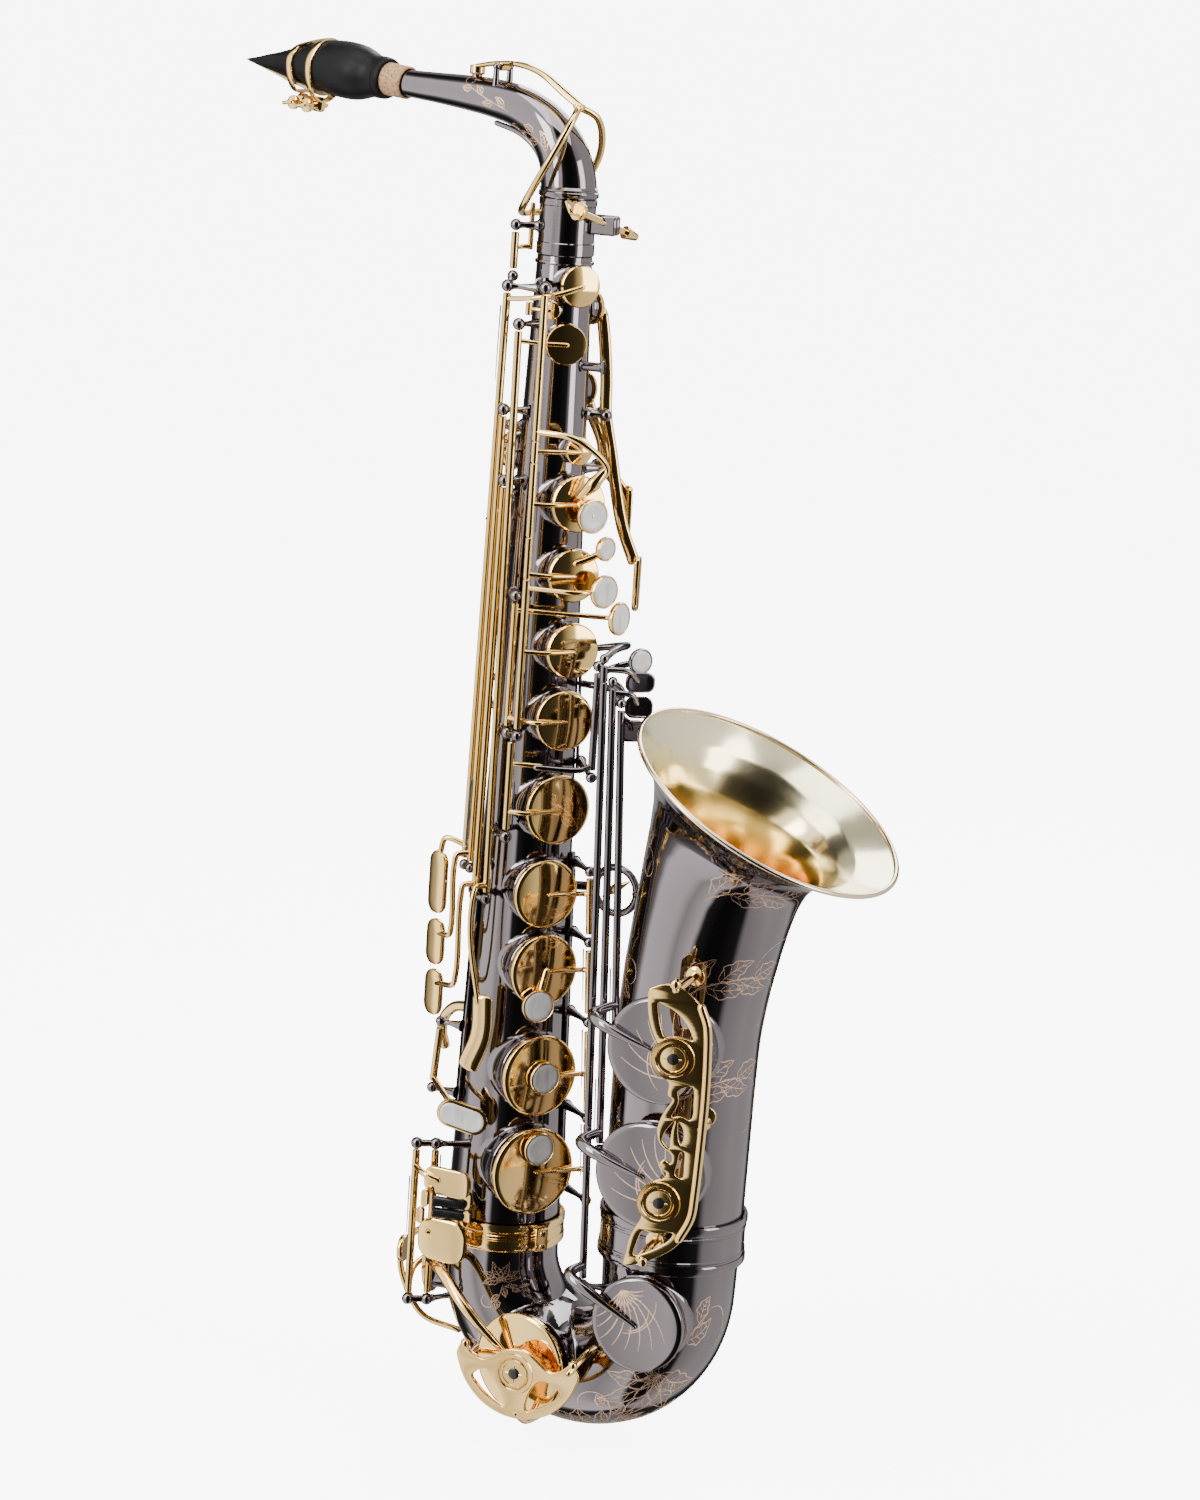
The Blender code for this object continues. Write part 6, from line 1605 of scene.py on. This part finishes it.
def guards():
    front = -54.0
    board = Board((112, front, 0), 18)
    outline = [
        (98.6, -343.5), (101.2, -341), (105.7, -339.3), (111.1, -339.8), (116.9, -342.3), (121.9, -346.5),
        (125.9, -352),
        (128, -360), (128.7, -375.5), (129, -390), (128.7, -405), (128.1, -420.5), (127.5, -436),
        (126.8, -446.5),
        (124.6, -453), (120.5, -460), (115.1, -465), (105.3, -470.5), (96.3, -473), (96.8, -467),
        (98.1, -459),
        (100.8, -453), (102.6, -449), (102.6, -440), (105.7, -432.5), (111.6, -429.8), (112.4, -426.5),
        (109.8, -425.5),
        (108.9, -423.5), (110.2, -421.5), (112, -421), (113.8, -422.5), (114.7, -421), (114.2, -418),
        (110.2, -415),
        (108, -412), (107.1, -407.5), (108, -402.5), (110.2, -397.5), (112.4, -394), (112.9, -392),
        (111.1, -391),
        (110.7, -389), (110.7, -384.5), (105.7, -380.5), (104.5, -372), (104.8, -368), (101.7, -361.5),
        (99.4, -354)]
    windows = [
        [(103.5, -348.5), (106.2, -349), (111.6, -351.5), (116.9, -356.5), (120.5, -363.5), (116.5, -363.5),
         (112.4, -363), (107.5, -363.8), (104.8, -356.5)],
        [(115.6, -388), (121.9, -385.5), (122.8, -393.5), (122.8, -398.5), (121.4, -401), (117.4, -399.8),
         (113.3, -400.5),
         (115.1, -396.5), (116, -392.5)],
        [(114.7, -402.5), (112.9, -404.5), (110.7, -408), (109.8, -411.5), (111.1, -413.8), (113.2, -415.3),
         (113.4, -411.5), (113.8, -406.5)],
        [(116.8, -402.5), (118.8, -405.5), (119.4, -409.5), (118.3, -413), (117, -410), (116.5, -405.5)],
        [(118.3, -417), (120.3, -416.5), (120.5, -422.5), (120.3, -428.5), (116.8, -427.4), (117.4, -422.5)],
        [(117.4, -455), (115.6, -459), (112, -462), (106.2, -465.5), (100.5, -467.5), (101.5, -461.5),
         (103.9, -455.5),
         (109.3, -456.3)]]
    feet = [disc(Vector(spot), Vector(way), 4.6, 1.2) for spot, way in (
        ((111, -35.2, -339), (0.05, -1, 0)), ((118.6, -29.6, -405), (0.5, -0.8, 0)),
        ((101, -37.0, -466.5), (0, -1, 0)))]
    spine = [board.point(x + 0.5, z, 0.5) for x, z in (
        (122.8, -348.5), (126, -357), (127.1, -372), (127.4, -390), (127.1, -405), (126.6, -420),
        (125.9, -436),
        (124.8, -447), (120.1, -457.5))]
    knob = [ball(board.point(110.7, -338.8, 0.6), 2.6), ball(board.point(110, -424.2), 1.3),
            disc(board.point(104.8, -470.3, 1.2), board.normal, 2.0, 1.4)]
    guard("guard_low_b", [
        [board.point(111, -341.5), (111, -36.0, -339)],
        [board.point(127, -405), (125, -41, -405), (117, -29.0, -405)],
        [board.point(103, -469), (101, -37.5, -466.5)],
        spine,
    ], [(board.point(112, -373.5, -1.2), board.normal, 10.2),
        (board.point(110.2, -441.5, -1.2), board.normal, 10.2)],
        [cut_plate(board, outline, windows, 2.4)] + feet + knob, 2.0)
    level = -52.5
    low_board = Board((40.6, level, 0), 6)
    crescent = []
    for step in range(17):
        angle = math.radians(188 + 164 * step / 16)
        crescent.append((42.0 + 31.5 * math.cos(angle), -531.0 + 31.5 * math.sin(angle)))
    inner = [(42.0 + 26.0 * math.cos(math.radians(342 - 144 * step / 12)),
              -533.0 + 25.0 * math.sin(math.radians(342 - 144 * step / 12))) for step in range(13)]
    upper = [(68.5, -531), (64, -534.5), (58, -536.5), (53, -533.5), (47, -529.5), (40.6, -528.6),
             (34, -530.5),
             (28, -535), (23, -536.5), (17.5, -534), (14, -529.5)]
    shell_line = crescent + upper
    gaps = [inner[1:6] + [(48.5, -549.5), (52.5, -543), (57, -541.5)],
            inner[7:12] + [(25.5, -541), (29.5, -545), (33.5, -549.5)]]
    guard("guard_low_c", [
        [(16, level, -543), (10, -40, -541), (8.5, -29.5, -541)],
        [(69, level, -534), (71, -40, -528), (70, -31.0, -528)],
        [(42.4, level, -560), (42.5, -42, -567), (42.5, -22.0, -568.0)],
    ], [(low_board.point(40.6, -540.6, -1.2), low_board.normal, 10.0)],
        [cut_plate(low_board, shell_line, gaps, 2.4), ball(low_board.point(14.5, -531), 2.2),
         ball(low_board.point(69.5, -531), 2.2)], 1.6)
    guard("guard_low_eb", [
        [(-17.2, -6, -546), (-36, -10, -541), (-47.5, -10.6, -524), (-48.5, -10.9, -510), (-47.5, 5, -504),
         (-31, 17.2, -500), (-26.0, 14.9, -499)],
    ], [((-46.5, -10.7, -510), (-1, -0.23, 0), 6.5)])


def fittings():
    outward = around(1, STRAP_THETA, 0)
    ring = []
    for step in range(16):
        angle = 2 * math.pi * step / 16
        ring.append(ORIGIN + (outward * math.cos(angle) + Z_UP * math.sin(angle)) * STRAP_R * 1.3)
    stem_at = outward * (tube_radius(STRAP_Z) + GAP + 0.8) + Vector((0, 0, STRAP_Z))
    stem = block(stem_at + outward * 0.9, (3.4, 4.0, 8.0), (0, 0, 1), STRAP_THETA)
    part("strap_ring", BLACK_NICKEL, [strip(STRAP_THETA, STRAP_Z + 13, STRAP_Z - 13, 9), stem,
                                      bar(ring, 1.7, cyclic=True)])
    hook_theta, hook_z = 165.0, -392.0
    hook_out = around(1, hook_theta, 0)
    base = tube_radius(hook_z) + GAP
    hook_points = [(1.0, 2), (9, 2), (17, 0), (23, -6), (24.5, -14), (22, -20)]
    hook = [hook_out * (base + reach) + Vector((0, 0, hook_z + rise)) for reach, rise in hook_points]
    screw = disc(hook_out * (base + 1.3) + Vector((0, 0, hook_z + 7.5)), hook_out, 2.6, 2.0)
    part("thumb_hook", GOLD, [strip(hook_theta, hook_z + 12, hook_z - 10, 11), bar(hook, 2.6), screw])
    rest_z = -205.0
    rest = around(tube_radius(rest_z) + GAP, THUMB_THETA, rest_z)
    rest_out = around(1, THUMB_THETA, 0)
    button = lathe(((0, 0.6), (7.2, 0.6), (7.5, 1.2), (7.5, 4.2), (7.0, 5.1), (5.5, 5.55), (3, 5.2),
                    (0, 5.0)),
                   rest, rest_out, 48)
    part("thumb_rest", RUBBER, [strip(THUMB_THETA, rest_z + 7, rest_z - 7, 8, 1.2), button])
    brace_theta, brace_z = 38.0, -322.0
    start = around(tube_radius(brace_z) + GAP + 0.8, brace_theta, brace_z)
    end = Vector((64.5, start.y, brace_z + 3))
    middle = start.lerp(end, 0.5)
    loop = []
    for step in range(14):
        angle = 2 * math.pi * step / 14
        loop.append(middle + Vector((11 * math.cos(angle), 0, 11 * math.sin(angle))))
    bell_side = Vector((-0.905, 0.365, 0.21))
    leaf_path = [middle + Vector(step) for step in ((-6.5, 0, -4), (0, -0.6, 1), (6.5, 0, 5))]
    leaf = [bar(leaf_path, 1.4, [0.4, 1.7, 0.4]).painted(GOLD)]
    part("bell_brace", BLACK_NICKEL, [
        strip(brace_theta, brace_z + 9, brace_z - 9, 8), bar([start, loop[7]], 2.2), bar([loop[0], end], 2.2),
        bar(loop, 1.8, cyclic=True), disc(end - bell_side * 1.2, bell_side, 6.5, 1.8)] + leaf)


def needle_springs():
    """Thin sprung wires that run beside the hinge rods from their posts."""
    wires = []
    for hinge, high, low, offset in (
            (LEFT_STACK, -236, -206, at(2.6, -0.6, 0)), (LEFT_STACK, -122, -150, at(2.6, -0.6, 0)),
            (G_SHARP_ROD, -288, -266, at(2.7, -0.4, 0)), (RIGHT_STACK, -345, -370, at(-2.7, 0.2, 0)),
            (RIGHT_STACK, -384, -412, at(-2.7, 0.2, 0)), (RIGHT_STACK, -430, -455, at(-2.7, 0.2, 0)),
            (HIGH_E_ROD, -50, -84, at(-2.5, 0.6, 0)), (SIDE_C_ROD, -270, -304, at(-2.4, 1.2, 0)),
            (LOW_B_ROD, -345, -371, at(-2.6, 1.0, 0)), (LOW_BB_ROD, -398, -427, at(-2.6, 1.0, 0)),
            (C_ROD, -451, -480, at(2.6, 0.5, 0)), (EB_ROD, -462, -490, at(-2.4, 0.9, 0))):
        wires.append(rod(hinge.point(high) + offset, hinge.point(low) + offset, 0.38, 0.22).painted("spring"))
    for piece in make("needle_springs", wires, "left_rib", None, False):
        piece["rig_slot"] = "black_nickel"


# ---------------------------------------------------------------- engraving

ENGRAVING = {}


def ribbon(path, halves, place, low, high):
    """A thin band along a path on a surface, from low to high about it; place() maps it into space."""
    rings = []
    last = len(path) - 1
    for index, (run, arc) in enumerate(path):
        before, after = path[max(index - 1, 0)], path[min(index + 1, last)]
        along = math.hypot(after[0] - before[0], after[1] - before[1]) or 1.0
        way = ((after[1] - before[1]) / along, -(after[0] - before[0]) / along)
        half = halves[index]
        rings.append([place(run + way[0] * half * sign, arc + way[1] * half * sign, lift)[:]
                      for sign, lift in ((-1, low), (1, low), (1, high), (-1, high))])
    return rings_to_shape(rings, False, "engraved")


class Sheet:
    """A round surface opened flat: run is millimetres along it, arc millimetres round it."""

    def __init__(self, line, theta):
        self.line, self.theta = line, math.radians(theta)
        steps = [(second[0] - first[0]).length for first, second in zip(line, line[1:])]
        self.runs = np.concatenate([[0.0], np.cumsum(steps)])

    def place(self, run, arc, lift):
        spot = float(np.interp(run, self.runs, range(len(self.line))))
        low = min(int(spot), len(self.line) - 2)
        share = spot - low
        first, second = self.line[low], self.line[low + 1]
        centre, side, up = (first[k].lerp(second[k], share) for k in range(3))
        radius = first[3] * (1 - share) + second[3] * share
        angle = self.theta + arc / radius
        return centre + (side.normalized() * math.cos(angle) + up * math.sin(angle)) * (radius + lift)

    def cut(self, path, width):
        """A cut line: a ribbon that swells in its middle, just proud of the surface."""
        last = len(path) - 1
        halves = [width / 2 * (0.25 + 0.75 * math.sin(math.pi * (index + 0.4) / (last + 0.8)))
                  for index in range(len(path))]
        return ribbon(path, halves, self.place, -0.03, 0.07)


def curve(start, heading, length, bend, steps=10):
    """Points from start, turning evenly by bend degrees over length."""
    points = [start]
    run, arc = start
    for step in range(steps):
        angle = math.radians(heading + bend * (step + 0.5) / steps)
        run += length / steps * math.cos(angle)
        arc += length / steps * math.sin(angle)
        points.append((run, arc))
    return points


def leaf(start, heading, length, width, bend):
    """Outline, rib and veins of one pointed leaf."""
    rib = curve(start, heading, length, bend, 12)
    edges = []
    for sign in (1, -1):
        edge = []
        for index, (run, arc) in enumerate(rib):
            share = index / 12
            angle = math.radians(heading + bend * share + 90)
            lobes = 1 + 0.16 * math.sin(share * math.pi * 7)
            reach = sign * width * math.sin(math.pi * share ** 0.75) * lobes * 0.5
            edge.append((run + reach * math.cos(angle), arc + reach * math.sin(angle)))
        edges.append(edge)
    strokes = [(rib, 0.36), (edges[0], 0.52), (edges[1], 0.52)]
    for index in (2, 4, 6, 8):
        for edge in edges:
            first, second = rib[index], edge[min(index + 2, 12)]
            tip = (first[0] + (second[0] - first[0]) * 0.82, first[1] + (second[1] - first[1]) * 0.82)
            mid = ((first[0] + tip[0]) / 2 + 0.15, (first[1] + tip[1]) / 2)
            strokes.append(([first, mid, tip], 0.24))
    return strokes


def spray(start, heading, length, bend, leaves, size, curl=300):
    """A stem that ends in a curl, with leaves on both sides."""
    stem = curve(start, heading, length, bend, 20)
    strokes = [(stem, 0.45)]
    end_heading = heading + bend
    turn = 1 if bend >= 0 else -1
    strokes.append((curve(stem[-1], end_heading, size * 1.9, turn * curl, 18), 0.4))
    for index in range(leaves):
        share = (index + 0.6) / leaves
        spot = stem[int(share * 19)]
        side = 1 if index % 2 else -1
        way = heading + bend * share + side * 42
        strokes += leaf(spot, way, size * (1.15 - 0.35 * share), size * 0.42, side * -38)
    return strokes


def blossom(centre, size, petals=6):
    """An open flower seen from above."""
    strokes = []
    for index in range(petals):
        way = 360 * index / petals
        for sign in (1, -1):
            strokes.append((curve(centre, way + sign * 34, size, sign * -68, 8), 0.34))
        strokes.append((curve(centre, way, size * 0.62, 0, 4), 0.22))
    ring = [(centre[0] + size * 0.22 * math.cos(a), centre[1] + size * 0.22 * math.sin(a))
            for a in np.linspace(0, 2 * math.pi, 13)]
    return strokes + [(ring, 0.3)]


def engrave(name, sheet, strokes):
    ENGRAVING.setdefault(name, [])
    ENGRAVING[name] += [sheet.cut(path, width) for path, width in strokes]


def engraving_of(name):
    return ENGRAVING.get(name, [])


def draw_engraving():
    """Leaf scrolls on the bell, bow, neck and tube, in a pattern of the object's own."""
    bell = bell_line()
    front = []
    for run, arc, heading, length, bend, leaves, size in (
            (70, 4, 6, 76, 34, 6, 25), (96, -8, 30, 54, -50, 4, 22), (128, 14, -8, 56, 46, 5, 24),
            (160, -6, 20, 46, 40, 4, 20), (60, 12, 160, 34, -40, 3, 18)):
        front += spray((run, arc), heading, length, bend, leaves, size, 150)
    engrave("bell", Sheet(bell, 34), front)
    flank = []
    for run in (70, 124, 176):
        flank += spray((run, -6), 40, 46, 60, 5, 21, 160)
    engrave("bell", Sheet(bell, -66), flank)
    engrave("bell", Sheet(bell, 96), flank)
    rear = blossom((150, 0), 9)
    for side in (1, -1):
        rear += spray((156, 8 * side), 24 * side, 46, 60 * side, 5, 16)
        rear += spray((146, 8 * side), 155 * side, 44, -58 * side, 4, 15)
    engrave("bell", Sheet(bell, 160), rear)
    bend = bow_line()
    for theta, run, size in ((-50, 132, 25), (-26, 96, 22), (-70, 60, 16), (-120, 24, 12), (60, 60, 16),
                             (60, 124, 20)):
        fan = []
        for spread_at in (-74, -44, -15, 15, 44, 74):
            fan += leaf((run, 0), 180 + spread_at, size * (1.15 - abs(spread_at) / 200), size * 0.36,
                        spread_at * 0.5)
        fan += spray((run + 3, 0), 12, size, 40, 3, size * 0.55, 200) + spray((run + 3, 0), -40, size, -40,
                                                                              3, size * 0.5, 200)
        engrave("bow", Sheet(bend, theta), fan)
    for theta in (-90, 90):
        vine = spray((16, 0), 8, 32, 24, 5, 9) + spray((50, 2), -4, 30, -20, 4, 7)
        engrave("neck_tube", Sheet(neck_line(), theta), vine)
    back = []
    for run in (30, 75, 120, 165, 210):
        back += spray((run, 0), 10, 28, 50, 4, 9) + spray((run, 2), 170, 16, -50, 3, 8)
    engrave("body_tube", Sheet(tube_line(), 96), [
        ([(run + 180, arc) for run, arc in path], width) for path, width in back])


def cup_fan(hole, turn=0.0):
    """Curved petals that sweep across a large cup's dome, cut as fine lines."""
    side, up, _ = basis(hole.normal)
    radius = hole.cup_r
    spin = math.radians(turn)

    def place(u, v, lift):
        reach = math.hypot(u, v)
        across, along = u * math.cos(spin) - v * math.sin(spin), u * math.sin(spin) + v * math.cos(spin)
        height = dome_height(min(reach / radius, 0.97), hole.pad)
        return (hole.cup_base + side * across + up * along + hole.normal * (height + lift))[:]

    lines = []
    for index in range(9):
        lean = -58 + 13 * index
        for bend, reach in ((64, 1.5 - 0.05 * index), (-40, 0.5)):
            stroke = curve((-radius * 0.8, radius * 0.1), lean, radius * reach, bend, 16)
            lines.append([(v, u) for u, v in stroke if math.hypot(u, v) < radius * 0.92])
    for way in (0.5, 0.78):
        ring = curve((-radius * 0.55 * way, -radius * 0.75 * way), 12, radius * 1.5 * way, 96, 16)
        lines.append([(v, u) for u, v in ring if math.hypot(u, v) < radius * 0.92])
    shapes = []
    for path in lines:
        if len(path) >= 4:
            halves = [0.2 * (0.4 + math.sin(math.pi * (step + 0.5) / len(path))) for step in range(len(path))]
            shapes.append(ribbon(path, halves, place, -0.1, 0.06))
    return shapes


# ---------------------------------------------------------------- studio

def build():
    draw_engraving()
    body_tube()
    bow()
    bell()
    sleeve("body_bow_ring", GOLD, 0, -481.5, -494.5, 28.1, 29.7, 0.7, -26.0)
    sleeve("bell_bow_ring", BLACK_NICKEL, BELL_X, -461.5, -484.5, 33.1, 34.8, 0.8)
    receiver()
    receiver_screw()
    neck()
    mouthpiece()
    reed()
    ligature()
    stack_keys()
    g_sharp_keys()
    right_stack_keys()
    side_keys()
    alt_f_sharp_key()
    pinky_keys()
    low_bell_keys()
    palm_keys()
    octave_keys()
    neck_octave_key()
    ribs()
    guards()
    fittings()
    needle_springs()


CAMERA_AZIMUTH, CAMERA_ELEVATION, CAMERA_ROLL = 28.0, 11.8, 3.88
CAMERA_TARGET, CAMERA_DISTANCE, CAMERA_LENS = Vector((35.4, 0.0, -251.8)), 1880.0, 97.3


def camera():
    azimuth, elevation, roll = (math.radians(angle) for angle in (CAMERA_AZIMUTH, CAMERA_ELEVATION,
                                                                  CAMERA_ROLL))
    back = Vector((math.sin(azimuth) * math.cos(elevation), -math.cos(azimuth) * math.cos(elevation),
                   math.sin(elevation)))
    level = Vector((math.cos(azimuth), math.sin(azimuth), 0))
    upright = back.cross(level)
    right = level * math.cos(roll) + upright * math.sin(roll)
    up = upright * math.cos(roll) - level * math.sin(roll)
    data = bpy.data.cameras.new("camera")
    data.sensor_width = 36.0
    data.lens = CAMERA_LENS
    data.clip_end = 200.0
    made = bpy.data.objects.new("camera", data)
    bpy.context.scene.collection.objects.link(made)
    matrix = upright_frame(right, up, back)
    matrix.translation = (CAMERA_TARGET + back * CAMERA_DISTANCE - ORIGIN) * MM
    made.matrix_world = matrix
    bpy.context.scene.camera = made


def softbox(name, azimuth, elevation, distance, size, power, colour=(1, 1, 1)):
    """A rectangular light that faces the object from an azimuth and elevation, in degrees."""
    turn, rise = math.radians(azimuth), math.radians(elevation)
    back = Vector((math.sin(turn) * math.cos(rise), -math.cos(turn) * math.cos(rise), math.sin(rise)))
    data = bpy.data.lights.new(name, "AREA")
    data.shape = "RECTANGLE"
    data.size, data.size_y = size
    data.energy = power
    data.color = colour
    made = bpy.data.objects.new(name, data)
    bpy.context.scene.collection.objects.link(made)
    made.matrix_world = Matrix.Translation((CAMERA_TARGET - ORIGIN) * MM + back * distance) @ \
        back.to_track_quat("Z", "Y").to_matrix().to_4x4()


# The light tent: brightness at angles round the object, in degrees from the camera's side
SKY_STOPS = (
    (-180, 0.5), (-158, 0.5), (-152, 0.05), (-122, 0.06), (-108, 0.6), (-100, 2.3), (-64, 2.0), (-52, 1.1),
    (-30, 1.9),
    (-23, 0.06), (-4, 0.02), (14, 0.02), (40, 0.05), (50, 0.8), (92, 1.15), (140, 0.9), (150, 0.05),
    (166, 0.07),
    (172, 0.5), (180, 0.5),
)


FLOOR_DROP, FLOOR_RADIUS, FLOOR_GLOW = 0.004, 60.0, 7.0


def studio():
    mesh = bpy.data.meshes.new("floor")
    shape = bmesh.new()
    bmesh.ops.create_circle(shape, cap_ends=True, segments=64, radius=FLOOR_RADIUS)
    shape.to_mesh(mesh)
    shape.free()
    floor = bpy.data.objects.new("floor", mesh)
    floor.location = (0, 0, CAD_BOX[0][2] - FLOOR_DROP)
    bpy.context.scene.collection.objects.link(floor)
    paper = Nodes("paper", "paper", (0.93, 0.93, 0.935), 0.75, 0.0)
    paper.tint(paper.noise(1.5, 3.0), 0.985, 1.015)
    paper.spread(paper.noise(30, 5.0), 0.7, 0.85, "Roughness")
    paper.set("Emission Color", (1, 1, 1, 1))
    paper.set("Emission Strength", FLOOR_GLOW)
    floor.data.materials.append(paper.material)
    floor.visible_glossy = False
    floor.visible_diffuse = False
    softbox("key_light", CAMERA_AZIMUTH - 52, 28, 1.7, (0.5, 1.5), 26)
    softbox("fill_light", CAMERA_AZIMUTH + 62, 18, 1.9, (0.7, 1.5), 22, (1.0, 0.97, 0.95))
    softbox("rim_light", CAMERA_AZIMUTH + 165, 35, 1.8, (0.9, 1.2), 20)
    softbox("top_light", CAMERA_AZIMUTH, 82, 1.6, (1.4, 1.0), 18)
    world = bpy.data.worlds.new("studio")
    bpy.context.scene.world = world
    world.use_nodes = True
    tree = world.node_tree
    background = tree.nodes["Background"]
    where = tree.nodes.new("ShaderNodeTexCoord").outputs["Generated"]
    mapping = tree.nodes.new("ShaderNodeMapping")
    mapping.inputs["Rotation"].default_value = (0, 0, math.radians(90 - CAMERA_AZIMUTH))
    around_it = tree.nodes.new("ShaderNodeTexGradient")
    around_it.gradient_type = "RADIAL"
    ramp = tree.nodes.new("ShaderNodeValToRGB")
    while len(ramp.color_ramp.elements) < len(SKY_STOPS):
        ramp.color_ramp.elements.new(0.5)
    for element, (turn, value) in zip(ramp.color_ramp.elements, SKY_STOPS):
        element.position = 0.5 + turn / 360
        element.color = (value, value * 0.98, value * 0.975, 1)
    tree.links.new(where, mapping.inputs["Vector"])
    tree.links.new(mapping.outputs["Vector"], around_it.inputs["Vector"])
    tree.links.new(around_it.outputs["Fac"], ramp.inputs["Fac"])
    tree.links.new(ramp.outputs["Color"], background.inputs["Color"])
    background.inputs["Strength"].default_value = 1.0


build()
camera()
studio()
bpy.context.view_layer.update()
